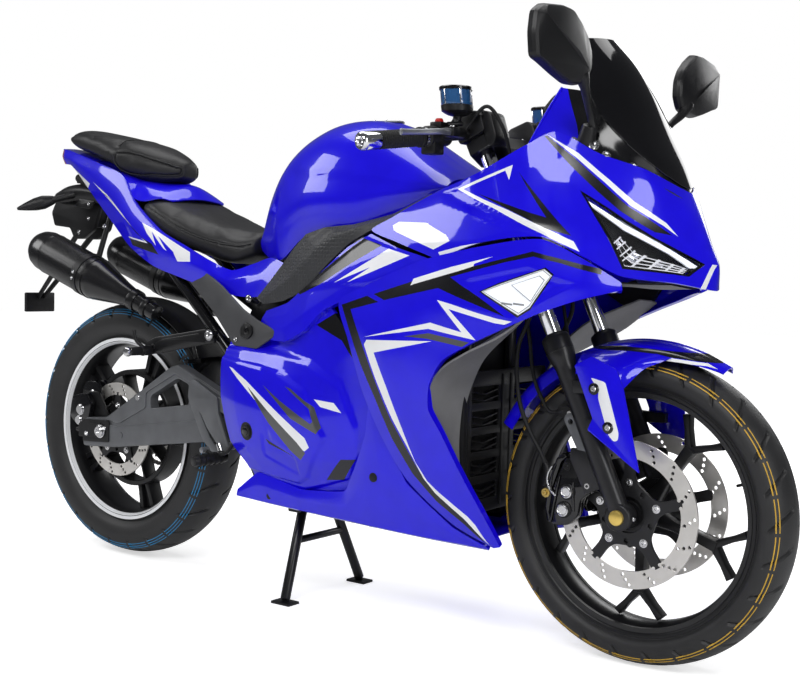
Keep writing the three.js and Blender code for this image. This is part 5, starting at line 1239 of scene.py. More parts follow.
front_wheel()
for label, side in SIDES:
    disc(FRONT, 138.5, 33, 69, 66.3, 16, 5, 0.3, side, f"front_brake_disc_{label}", "front_wheel",
         f"front_disc_{label}")
rear_wheel()
disc(REAR, 116.5, 30, 72, 69.3, 14, 5, 0.3, -1, "rear_brake_disc", "rear_wheel", "rear_disc")
sprocket()


# ------------------------------------------------------------------ lamps

COWL_NET = smooth_net(across_nose(COWL), 121, 45, COWL_CRISP)
COWL_INWARD = grid_normals(COWL_NET)


def slab(outline, depth, thickness, aim=HEADLAMP_AIM, net=COWL_NET, inward=COWL_INWARD):
    """The part of a layer behind a panel that an outline takes in, seen along a direction."""
    layer = sheet(net + inward * depth, thickness)
    return boolean(layer, prism(outline, aim, 90, 60), "INTERSECT")


def mixed(a, b, share):
    return np.asarray(a, float) * (1 - share) + np.asarray(b, float) * share


def headlamps():
    """A clear cover over a dark housing with its light strip, shelves and fins of chrome."""
    a, b, c, d, e, f, g = HEADLAMP
    parts = [tinted(boolean(slab(grown(HEADLAMP, -0.5), -1.2, 9),
                            prism(grown(HEADLAMP, -6), HEADLAMP_AIM, 90, 60)), "gloss")]
    parts.append(tinted(slab(grown(HEADLAMP, -2), 30, 2), "plastic"))
    upper = [mixed(a, f, 0.10), mixed(b, f, 0.09), mixed(c, e, 0.12), mixed(d, e, 0.30)]
    lower = [mixed(a, f, 0.16), mixed(b, f, 0.21), mixed(c, e, 0.42),
             mixed(mixed(c, e, 0.42), mixed(d, e, 0.62), 0.8)]
    parts.append(tinted(slab(upper + lower[::-1], 2.5, 5), "lamp_white"))
    base = [mixed(g, b, 0.10), mixed(f, b, 0.06), mixed(e, d, 0.10)]
    roof = [mixed(g, b, 0.52), mixed(f, c, 0.62), mixed(e, d, 0.55)]

    def spot(t, h):
        t = min(max(t, 0), 1) * 2
        i = min(int(t), 1)
        return mixed(mixed(base[i], base[i + 1], t - i), mixed(roof[i], roof[i + 1], t - i), h)
    for t in (0.14, 0.24, 0.36, 0.44, 0.56, 0.68, 0.80, 0.90):
        parts.append(tinted(slab([spot(t, 0), spot(t + 0.018, 0), spot(t + 0.022, 0.8), spot(t - 0.006, 0.8)],
                                 7, 18), "chrome"))
    for h in (0.02, 0.26, 0.5, 0.72):
        line = [spot(t, h + 0.03 * math.sin(t * 9)) for t in np.linspace(0.10 + h * 0.12, 0.95, 7)]
        parts.append(tinted(slab(line + [p + (0, 0, 1.9) for p in line[::-1]], 5 + h * 8, 15), "chrome"))
    for t in (0.2, 0.5, 0.74):
        bowl = [spot(t - 0.07, 0.3), spot(t + 0.07, 0.3), spot(t + 0.08, 0.68), spot(t - 0.05, 0.7)]
        parts.append(tinted(slab(bowl, 20, 3), "reflector"))
    edge = [mixed(g, a, 0.02), mixed(f, g, 0.06), mixed(e, f, 0.04)]
    lip = [mixed(p, mixed(a, d, 0.6), 0.035) for p in edge]
    parts.append(tinted(slab(edge + lip[::-1], 1.0, 6), "bright"))
    inside = joined(*parts)
    glass = tinted(slab(grown(HEADLAMP, -0.6), -0.4, 1.4), "clear")
    for label, side in SIDES:
        piece(f"headlamp_{label}_cover", on(side, glass), "chassis", "clear", f"headlamp_{label}")
        piece(f"headlamp_{label}_inside", on(side, inside), "chassis", "plastic", f"headlamp_{label}",
              smooth=30)


def position_lamps():
    """A white lamp in a thin dark rim, its face stepped and lined."""
    net = smooth_net(FAIRING_NET, 97, 33, FAIRING_CRISP)
    inward = grid_normals(net)
    layer = lambda outline, depth, thick: slab(outline, depth, thick, POSITION_LAMP_AIM, net, inward)
    cut = lambda mesh, outline: boolean(mesh, prism(outline, POSITION_LAMP_AIM, 60, 60))
    a, b, c, d, e, f = POSITION_LAMP
    rim = cut(layer(grown(POSITION_LAMP, 0.3), 2.6, 6), grown(POSITION_LAMP, -3.5))
    face = layer(grown(POSITION_LAMP, -3), 5.5, 3)
    middle = np.mean(POSITION_LAMP, axis=0)
    inner = [mixed(p, middle, 0.42) for p in (b, c, d, e)]
    inner = [p + (8, 0, 2) for p in inner]
    step = layer(inner, 4.2, 2)
    lines = [cut(layer(grown(inner, 1.8), 3.9, 2), grown(inner, 0.6)),
             cut(layer(grown(POSITION_LAMP, -7), 5.0, 2), grown(POSITION_LAMP, -8.2))]
    marks = [layer([mixed(a, f, 0.45) + (k, 0, 2), mixed(a, f, 0.45) + (k + 22, 0, 0),
                    mixed(a, f, 0.45) + (k + 22, 0, -3),
                    mixed(a, f, 0.45) + (k, 0, -1.4)], 4.8, 2) for k in (10, 34)]
    back = layer(grown(POSITION_LAMP, 1), 9, 8)
    mesh = joined(tinted(back, "plastic"), tinted(joined(face, step), "lamp_white"), tinted(rim, "gloss"),
                  tinted(joined(*lines, *marks), "lamp_line"))
    for label, side in SIDES:
        piece(f"position_lamp_{label}_face", on(side, mesh), "chassis", "lamp_white",
              f"position_lamp_{label}",
              smooth=30)


headlamps()
position_lamps()

# ------------------------------------------------------------------ tank and seats

TANK_STATIONS = [
    (-236, 812, 62, 796, 772, 58), (-190, 930, 92, 835, 756, 84), (-130, 1000, 126, 858, 752, 112),
    (-40, 1044, 153, 880, 803, 136), (40, 1056, 165, 888, 803, 148), (110, 1047, 165, 890, 803, 150),
    (180, 1008, 158, 895, 842, 148), (260, 956, 146, 900, 862, 138), (318, 922, 132, 900, 888, 124),
]


def tank():
    """The tank's shell with the crease along its flank, and its filler cap."""
    rings = symmetric([section(*s) for s in TANK_STATIONS], 121, 61)
    shaped = []
    for points in rings:
        points = points.copy()
        x, y, z = points.T
        # a crease runs forward along each flank, and the cover stands out above it
        line = 930 + (x - 40) * -0.12
        over = np.clip((z - line) / 5, -1, 1) * np.clip((x + 150) / 60, 0, 1) * np.clip((300 - x) / 60, 0, 1)
        points[:, 1] += np.sign(y) * over * np.clip(np.abs(y) / 60, 0, 1) * 1.6
        shaped.append(points)
    shell_ = tinted(ringed(shaped), "blue")
    cap = [lathe([(0.5, -3), (34, -3), (36, -1), (36, 1.5), (33.5, 3.5), (29, 3.5), (28, 2.2), (0.5, 2.2)],
                 (0, 0), 64)]
    cap[0].transform(Matrix.Translation((-SHIFT, 0, 0)))
    cap[0].transform(Matrix.Translation(P(70, 0, 1050)) @ Matrix.Rotation(math.radians(94), 4, "X"))
    cap = tinted(cap[0], "alloy")
    bolts = [screw((70 + 31 * math.cos(a), 31 * math.sin(a), 1052.6), (0, 0, 1), 2.6, 1.6, "bright")
             for a in np.arange(6) / 6 * 2 * math.pi]
    piece("tank_shell", joined(shell_, cap, *bolts), "chassis", "blue", "tank", smooth=50)


tank()

RIDER_STATIONS = [
    (-606, 872, 92, 862, 846, 86), (-560, 900, 128, 872, 836, 122), (-460, 868, 138, 836, 790, 132),
    (-360, 834, 130, 798, 760, 122), (-290, 816, 102, 786, 744, 96), (-244, 814, 72, 790, 762, 66),
]
PILLION_STATIONS = [
    (-930, 1066, 52, 1056, 1036, 46), (-880, 1074, 80, 1050, 1020, 74), (-800, 1062, 97, 1034, 998, 91),
    (-720, 1046, 104, 1014, 970, 97), (-640, 1028, 94, 992, 944, 86), (-575, 1008, 66, 974, 936, 58),
    (-526, 988, 30, 968, 944, 25),
]


def swollen(mesh, pressure, cap):
    """Foam under its cover: the form is remeshed, blown up by cloth pressure and held near its shape."""
    obj = bpy.data.objects.new("foam", mesh)
    scene = bpy.context.scene
    scene.collection.objects.link(obj)
    remesh = obj.modifiers.new("even", "REMESH")
    remesh.mode = "VOXEL"
    remesh.voxel_size = 0.006
    bpy.context.view_layer.update()
    even = bpy.data.meshes.new_from_object(obj.evaluated_get(bpy.context.evaluated_depsgraph_get()))
    obj.modifiers.clear()
    obj.data = even
    count = len(even.vertices)
    start = np.empty(count * 3)
    even.vertices.foreach_get("co", start)
    start = start.reshape(-1, 3)
    cloth = obj.modifiers.new("cloth", "CLOTH")
    cloth.settings.use_pressure = True
    cloth.settings.uniform_pressure_force = pressure
    cloth.settings.effector_weights.gravity = 0
    cloth.settings.tension_stiffness = 25
    cloth.settings.bending_stiffness = 2
    cloth.point_cache.frame_start, cloth.point_cache.frame_end = 1, 20
    for number in range(1, 21):
        scene.frame_set(number)
    after = obj.evaluated_get(bpy.context.evaluated_depsgraph_get()).to_mesh()
    moved = np.empty(count * 3)
    after.vertices.foreach_get("co", moved)
    moved = moved.reshape(-1, 3) - start
    scene.frame_set(1)
    obj.modifiers.clear()
    size = np.linalg.norm(moved, axis=1, keepdims=True)
    start = start + moved * np.minimum(1, cap / 1000 / np.maximum(size, 1e-9))
    bpy.data.objects.remove(obj)
    even.vertices.foreach_set("co", start.ravel())
    even.update()
    return even


def smoothed(mesh, rounds=6):
    """Relaxes a mesh."""
    bm = bmesh.new()
    bm.from_mesh(mesh)
    for _ in range(rounds):
        bmesh.ops.smooth_vert(bm, verts=bm.verts, factor=0.5, use_axis_x=True, use_axis_y=True,
                              use_axis_z=True)
    bm.to_mesh(mesh)
    bm.free()
    return mesh


def sewn(mesh, lines, depth=3.0, half=7.0):
    """Sinks a seam along each line near a cushion's surface, and lays its piping in it."""
    tree = BVHTree.FromPolygons([v.co for v in mesh.vertices], [p.vertices for p in mesh.polygons])
    cords, threads = [], []
    for line in lines:
        path = []
        for p in spline(line, 90):
            near = tree.find_nearest(P(*p))[0]
            if not path or (near - path[-1]).length > 0.003:
                path.append(near)
        cords += path
        threads.append([((p.x - SHIFT) * 1000, p.y * 1000, p.z * 1000) for p in path])
    finder = KDTree(len(cords))
    for i, p in enumerate(cords):
        finder.insert(p, i)
    finder.balance()
    reach = half / 1000
    for v in mesh.vertices:
        away = finder.find(v.co)[2]
        if away < reach:
            v.co -= v.normal * (depth / 1000 * (0.5 + 0.5 * math.cos(away / reach * math.pi)))
    return joined(mesh, *[tinted(sweep(t, [1.5, 1.5], 8, None, cap=0.1), "vinyl") for t in threads])


def seats():
    def body(stations, along=49, around=31, shrink=3.0):
        shrunk = []
        for x, top, wide, shoulder, bottom, base in stations:
            shrunk.append((x, top - shrink, wide - shrink, shoulder, bottom, base - shrink))
        return ringed(symmetric([section(*s) for s in shrunk], along, around))

    rider = smoothed(swollen(body(RIDER_STATIONS), 4, 6))
    crease = [(-560, 878), (-500, 850), (-430, 818), (-350, 794), (-280, 790), (-220, 812)]
    rider = sewn(tinted(rider, "vinyl"), [[(x, s * 120, z) for x, z in crease] for s in (-1, 1)], 2.0)
    bm = bmesh.new()
    bm.from_mesh(rider)
    bmesh.ops.subdivide_edges(bm, edges=bm.edges, cuts=1, use_grid_fill=True, smooth=0.3)
    bm.to_mesh(rider)
    bm.free()
    obj = piece("rider_seat_cushion", rider, "chassis", "vinyl", "rider_seat", smooth=60)

    pillion = smoothed(swollen(body(PILLION_STATIONS), 4, 6))
    bm = bmesh.new()
    bm.from_mesh(pillion)
    bmesh.ops.subdivide_edges(bm, edges=bm.edges, cuts=1, use_grid_fill=True, smooth=0.3)
    bm.to_mesh(pillion)
    bm.free()
    # the rear part is thinner than the front pad, whose sides are sewn in as panels of their own
    for v in pillion.vertices:
        x, z = (v.co.x - SHIFT) * 1000, v.co.z * 1000
        share = min(1, max(0, (-690 - x) / 30))
        bottom = 958 + (-690 - x) * 0.26
        v.co.z += share * 0.012 * min(1, max(0, 1 - (z - bottom) / 45))
        v.co.y *= 1 - 0.05 * share
    rim = [(-690, 1008), (-700, 990), (-690, 966), (-649, 946), (-560, 930), (-478, 920), (-436, 940),
           (-428, 968), (-445, 988), (-500, 1000), (-563, 1006), (-630, 1010), (-690, 1008)]
    across = [(-700, y, 1040 - abs(y) * 0.1) for y in (-84, -60, -30, 0, 30, 60, 84)]
    lines = [[(x, s * 92, z) for x, z in rim] for s in (-1, 1)] + [across]
    pillion = sewn(tinted(pillion, "vinyl"), lines)
    obj = piece("pillion_seat_cushion", pillion, "chassis", "vinyl", "pillion_seat", smooth=60)


seats()

# ------------------------------------------------------------------ screen, mirrors

SCREEN_NET = smooth_net(across_nose(SCREEN), 61, 41)
LAP = 3.4
edge = [row[0] for row in SCREEN[2:]] + SCREEN[-1][1:]
BASE_NET = [
    [(556, -108, 1080)] + [(x - LAP, y + LAP * (y < 0), z) for x, y, z in edge],
    [(548, -142, 1036), (590, -138, 1002), (640, -132, 972), (680, -116, 946), (712, -94, 924),
     (750, -54, 896), (769, 0, 880)],
    [(538, -190, 970), (588, -171, 968), (640, -148, 944), (688, -124, 928), (728, -91, 907), (764, -50, 882),
     (777, 0, 866)],
]


def screen():
    """The smoked screen with its folded rim, on a black base with its screws."""
    net = SCREEN_NET.copy()
    piece("windscreen_sheet", sheet(net, 3), "chassis", "smoke", "windscreen", bevel=0.7)
    base = tinted(sheet(smooth_net(across_nose(BASE_NET), 91, 25), 3), "gloss")
    shoulder = [("blue", [(500, 1100), (566, 1078), (600, 1008), (612, 978), (640, 950), (600, 900),
                          (500, 900)])]
    base = painted(base, shoulder)
    base = flipped(painted(flipped(base), shoulder))
    rim = tinted(sweep([(536, -190, 968), (547, -143, 1036), (555, -109, 1080)], 2.6, 14, 20), "blue")
    trims = [rim, flipped(rim)]
    for y in (-1, 1):
        trims.append(screw((606, y * 152, 976), (0.55, y * 0.75, 0.55), 6, 3, "bright", washer=8))
        trims.append(screw((640, y * 140, 968), (0.6, y * 0.6, 0.6), 8.5, 5, "bright", washer=11))
        trims.append(screw((663, y * 132, 950), (0.6, y * 0.6, 0.6), 6.5, 4, "bright", washer=8.5))
        trims.append(screw((704, y * 104, 931), (0.6, y * 0.6, 0.6), 7, 3, "bright", washer=9))
    piece("screen_base_sheet", joined(base, *trims), "chassis", "gloss", "screen_base",
          smooth=30)


def mirrors():
    """A faceted back shell with a crease from its upper outer corner, the glass, and the stalk."""
    outline = rounded([(-379, 1166), (-354, 1181), (-293, 1189), (-258, 1188), (-226, 1169), (-200, 1148),
                       (-186, 1125), (-184, 1094), (-200, 1070), (-228, 1062), (-267, 1060), (-307, 1070),
                       (-354, 1084), (-379, 1090), (-385, 1130)], 7, 2)
    middle = np.array([-290, 1126])
    rings = []
    for x, scale in ((640, 0.95), (641, 0.985), (643, 1.0), (650, 0.995), (656, 0.97), (660, 0.93)):
        points = middle + (outline - middle) * scale
        rings.append(np.column_stack([np.full(len(points), x), points]))
    verts = [tuple(p) for r in rings for p in r]
    n = len(outline)
    faces = [(i * n + k, i * n + (k + 1) % n, (i + 1) * n + (k + 1) % n, (i + 1) * n + k)
             for i in range(len(rings) - 1) for k in range(n)]
    faces.append(tuple(range(n)))
    hubs = [(667, -362, 1160), (676, -262, 1112), (674, -226, 1090)]
    first = len(verts)
    verts += hubs
    last = rings[-1]
    near = [min(range(3),
                key=lambda h: np.linalg.norm(p - np.array(hubs[h])) + (40 if h == 1 else 0)) for p in last]
    for k in range(n):
        m = (k + 1) % n
        a, b = (len(rings) - 1) * n + k, (len(rings) - 1) * n + m
        faces.append((a, b, first + near[k]))
        if near[k] != near[m]:
            faces.append((b, first + near[m], first + near[k]))
            if {near[k], near[m]} == {0, 2}:
                faces.append((first + near[m], first + 1, first + near[k]))
    head = raw(rows(np.array(verts)), faces)
    bm = bmesh.new()
    bm.from_mesh(head)
    bmesh.ops.remove_doubles(bm, verts=bm.verts, dist=1e-6)
    bmesh.ops.holes_fill(bm, edges=bm.edges, sides=8)
    bm.to_mesh(head)
    bm.free()
    head = outward(head)
    stalk = sweep([(640, -138, 990), (640, -150, 1016), (646, -178, 1040), (655, -206, 1062),
                   (657, -222, 1080), (656, -238, 1092)], [10, 8, 7.2, 9.5, 15, 12], 24, 40, flat=0.9)
    foot = sweep([(636, -146, 1004), (622, -136, 968)], [14, 17], 28)
    glass_outline = middle + (outline - middle) * 0.9
    glass = ringed([np.column_stack([np.full(len(outline), x), glass_outline]) for x in (639.3, 640.8)])
    mesh = joined(tinted(joined(head, stalk, foot), "plastic"), tinted(glass, "mirror"))
    for label, side in SIDES:
        piece(f"mirror_{label}_head", on(side, mesh), "chassis", "plastic", f"mirror_{label}",
              smooth=14,
              bevel=1.6)


screen()
mirrors()
# ------------------------------------------------------------------ fork, calipers and hoses

def fork_plan(points):
    """An outline up the fork and ahead of it, as X and Z."""
    return [tuple(fork(s, 0, p)[[0, 2]]) for s, p in points]


def turned_leg(profile, y, p=0.0, sides=48):
    """A body turned about a line parallel to the fork, from (distance up, radius) stations."""
    angles = np.arange(sides) / sides * 2 * math.pi
    spread = np.cos(angles)[:, None] * AHEAD + np.sin(angles)[:, None] * np.array([0, 1, 0])
    return ringed([fork(s, y, p) + r * spread for s, r in profile])


def fork_leg():
    """A slider with its collar, the lug that holds the axle, and lugs for the caliper and the mudguard."""
    leg = turned_leg([(-6, 17), (-4, 19.5), (0, 20), (292, 20), (298, 20.8), (310, 24.6), (316, 26.3),
                      (322, 27), (350, 27), (355, 26.2), (358, 24), (358, 17.2), (354, 16.4)], -98)
    groove = turned_leg([(326, 27.3), (327, 27.6), (329, 27.6), (330, 27.3)], -98)
    seal = turned_leg([(356, 15.9), (356, 20), (360, 19.5), (362, 17), (362, 15.9)], -98)
    lug = lathe([(10.3, -116), (22, -116), (24.5, -115), (26, -112.5), (26, -84), (24, -80), (10.3, -80)],
                FRONT, 64)
    arm = flat_plate(fork_plan([(60, -52), (132, -56), (150, -46), (120, 4), (60, 4)]), -106, -90, bevel=3)
    holder = flat_plate(rounded(fork_plan([(128, -34), (205, -40), (214, -30), (208, -18), (150, 0),
                                           (128, 0)]), 5),
                        -104, -94, [ring(*fork_plan([(196, -28)])[0], 5, 16)], bevel=1.5)
    ears = []
    for s, p in ((232.8, 51.8), (157.2, 50.9)):
        x, z = fork(s, 0, p)[[0, 2]]
        ears.append(flat_plate([(x - 50, z + 12), (x + 9, z + 9), (x + 9, z - 9), (x - 46, z - 12)], -117.8,
                               -106, bevel=2))
    body = tinted(joined(leg, groove, lug, arm, *ears), "fork")
    pinch = screw(tuple(fork(-12, -98, 22)), tuple(AHEAD), 4.5, 3, "bright")
    return joined(body, tinted(holder, "alloy"), tinted(seal, "plastic"), pinch)


def fork_tube():
    return turned_leg([(358.3, 14.8), (359.5, 15.5), (803, 15.5), (806, 13.5), (806, 9), (803, 8.5)], -98)


def caliper_pair():
    """A two-piston caliper over the front disc, with its pad pins, caps and mounting bolts."""
    outline = rounded([(606, 392), (582, 390), (566, 352), (553, 322), (549, 280), (560, 258), (592, 262),
                       (612, 282), (616, 312), (640, 330), (644, 346), (628, 356), (612, 350)], 7)
    outer = flat_plate(outline, -101, -77.5, bevel=4)
    inner = flat_plate(rounded([(604, 388), (580, 386), (566, 352), (553, 322), (549, 284), (562, 262),
                                (590, 270), (606, 300), (612, 340)], 7), -60.5, -49, bevel=3)
    bridge = flat_plate(rounded([(584, 392), (571, 380), (554, 330), (548, 284), (556, 262), (545, 262),
                                 (537, 290), (541, 330), (560, 386), (574, 398)], 3), -96, -54, bevel=2.5)
    ribs = [sweep([(572, -102, 356), (556, -102, 268)], 2.6, 12),
            sweep([(600, -102, 345), (604, -102, 290)], 2.6, 12)]
    parts = [tinted(joined(outer, inner, bridge, *ribs), "gloss")]
    for x, z, r in ((590, 326, 12.5), (583, 291, 13)):
        parts.append(tinted(lathe([(0.5, -108), (r - 5, -108), (r - 4, -107), (r - 2.5, -109),
                                   (r - 1, -108.5), (r, -106.5), (r, -98), (0.5, -98)], (x, z), 40),
                            "bright"))
        parts.append(tinted(lathe([(r, -100), (r + 2.5, -101), (r + 3, -103.5), (r + 1.6, -104.5), (r, -104)],
                                  (x, z), 40),
                            "plastic"))
    parts.append(screw((632, -101, 342), (0, -1, 0), 6, 5, "bright", washer=9))
    parts.append(screw((586, -101, 374), (0, -1, 0), 5.5, 4, "plastic", washer=8))
    parts.append(tinted(lathe([(3, -100), (8, -100), (9, -99), (9, -92), (8, -91), (3, -91)], (541, 318), 32),
                        "brass"))
    parts.append(screw((541, -100, 318), (0, -1, 0), 5, 4, "brass"))
    parts.append(tinted(sweep([(556, -104, 372), (548, -106, 352), (552, -106, 330), (566, -104, 316)], 2.2,
                              12, 12), "bright"))
    return joined(*parts)


def hoses():
    """Two held hoses beside each fork leg: one to the caliper, one to the mudguard's clip."""
    one = sweep([fork(141, -86, -74), (541, -86, 364), (518, -86, 396), (488, -85, 442), (468, -82, 484),
                 (459, -80, 530), (458, -80, 570), (462, -80, 600), (fork(430, -82, -34)),
                 (fork(499.5, -84, -30))], 4.4, 16, 90)
    two = sweep([(548, -70, 470), (528, -72, 471), (514, -74, 492), (500, -76, 520), (489, -76, 560),
                 (484, -76, 600), (fork(470, -80, -44))], 3.8, 16, 60)
    ends = [sweep([(536, -94, 330), (538, -90, 352), (534, -87, 372)], 5.6, 16, 8),
            sweep([(560, -70, 473), (544, -70, 471)], 5.4, 16)]
    eye = flat_plate(rounded([(548, 482), (548, 462), (584, 458), (592, 470), (584, 484)], 5), -74, -66,
                     [ring(574, 471, 4, 16)], bevel=1.5)
    clip = screw((574, -74, 471), (0, -1, 0), 5, 3, "bright")
    return joined(tinted(joined(one, two, eye), "grip"), tinted(joined(*ends), "plastic"), clip)


leg, tube, caliper, hose = fork_leg(), tinted(fork_tube(), "chrome"), caliper_pair(), hoses()
for label, side in SIDES:
    piece(f"fork_slider_{label}_leg", on(side, leg), "steering", "fork", f"fork_slider_{label}",
          smooth=40)
    piece(f"fork_tube_{label}_stanchion", on(side, tube), "steering", "chrome", f"fork_tube_{label}")
    piece(f"front_caliper_{label}_body", on(side, caliper), "steering", "gloss", f"front_caliper_{label}")
    piece(f"brake_hose_{label}_line", on(side, hose), "steering", "grip", f"brake_hose_{label}")

cap = [lathe([(0.5, s * 121.5), (11, s * 121.5), (13.5, s * 120.5), (14.5, s * 118.5), (14.5, s * 116.3),
              (0.5, s * 116.3)],
             FRONT, 48) for s in (1, -1)]
shaft = lathe([(0.5, -118), (10, -118), (10, 118), (0.5, 118)], FRONT, 40)
piece("front_axle_caps", joined(tinted(joined(*cap), "gold"), tinted(shaft, "bright")), "steering", "gold",
      "front_axle")
for node in ("lower_clamp", "upper_clamp"):
    bolts = []
    if node == "upper_clamp":
        bolts = [screw(tuple(fork(770, 0, -20)), tuple(UP), 15, 8, "bright", washer=20)]
    plate = tinted(cad(node), "fork")
    piece(f"{node}_plate", joined(plate, *bolts), "steering", "fork", node, bevel=2.2,
          smooth=30)


def mudguard():
    """The arch over the tyre, the flares that leave its sides and the ears that are bolted to the sliders."""
    rows_ = []
    for i in range(10):
        share = i / 9
        angle = math.radians(60 + 92 * share)
        taper = 0.30 + 0.70 * min(1, math.sin(min(1, share * 2.6) * math.pi / 2))
        w = 72 * taper
        at = lambda y, drop: (FRONT[0] + (322 - drop) * math.cos(angle), y,
                              FRONT[1] + (322 - drop) * math.sin(angle))
        rows_.append([at(w, 34 * taper), at(w * 0.93, 10), at(w * 0.5, 2), at(0, 0), at(-w * 0.5, 2),
                      at(-w * 0.93, 10),
                      at(-w, 34 * taper)])
    net = smooth_net(rows_, 47, 71)
    ridge = np.clip(1 - np.abs(net[..., 1]) / 9, 0, 1) * 2.4
    net = net - grid_normals(net) * ridge[..., None]
    arch = sheet(net, 3)
    flare = [
        [(588, -60, 590), (640, -62, 597), (700, -64, 600), (770, -60, 588)],
        [(602, -88, 584), (642, -90, 588), (697, -86, 582), (748, -70, 576)],
        [(605, -110, 569), (645, -112, 570), (696, -106, 563), (728, -78, 566)],
        [(609, -121, 552), (650, -121, 548), (694, -121, 536), (706, -119, 530)],
    ]
    side = sheet(smooth_net(turned_net(turned_net(flare)), 41, 31), 3)
    ear = flat_plate(rounded(fork_plan([(288, 30), (184, 27), (168, 9), (60, 77), (214, 107), (250, 107),
                                        (290, 70)]), 3),
                     -122.3, -118.3, bevel=1.2)
    side, ear = outward(side), outward(ear)
    half = tinted(joined(side, ear), "blue")
    stripe = rounded(fork_plan([(255, 53), (236, 78), (140, 67), (129, 60), (130, 52), (145, 46), (214, 53),
                                (228, 60)]), 5)
    half = joined(half, tinted(flat_plate(stripe, -122.75, -122.1, bevel=0.2), "white"))
    bolts = []
    for s, p in ((232.8, 51.8), (157.2, 50.9)):
        x, _, z = fork(s, 0, p)
        bolts.append(tinted(lathe([(5, -122), (10.5, -122), (11, -123.5), (9.5, -125.2), (5, -125.4)], (x, z),
                                  32), "gloss"))
        bolts.append(screw((x, -123.5, z), (0, -1, 0), 5.6, 3.6, "bright"))
    half = joined(half, *bolts)
    arch = tinted(arch, "blue")
    marks = [("black_paint", [(601, 600), (671, 605), (733, 602), (826, 595), (848, 580), (828, 581),
                              (765, 588), (705, 593), (610, 597)]),
             ("white", [(705, 592), (766, 587), (828, 580), (845, 570), (828, 575), (778, 578)])]
    arch = painted(arch, marks)
    arch = flipped(painted(flipped(arch), marks))
    piece("front_mudguard_arch", joined(arch, half, flipped(half)), "steering", "blue", "front_mudguard",
          smooth=32)


mudguard()


# ------------------------------------------------------------------ handlebar

def bar_at(y):
    """A point of the right-hand bar at a distance from the middle plane."""
    inner = fork(785.3, -98)
    share = (y - 98) / (372 - 98)
    return np.array([inner[0] + (286 - inner[0]) * share, -y, inner[2] + (967 - inner[2]) * share])


def along_bar(stations, sides=32):
    """A body turned about the bar, from (distance from the middle plane, radius) stations."""
    axis = bar_at(300) - bar_at(200)
    axis /= np.linalg.norm(axis)
    u = np.cross(axis, (0, 0, 1))
    u /= np.linalg.norm(u)
    v = np.cross(axis, u)
    angles = np.arange(sides) / sides * 2 * math.pi
    spread = np.cos(angles)[:, None] * u + np.sin(angles)[:, None] * v
    return ringed([bar_at(y) + r * spread for y, r in stations])


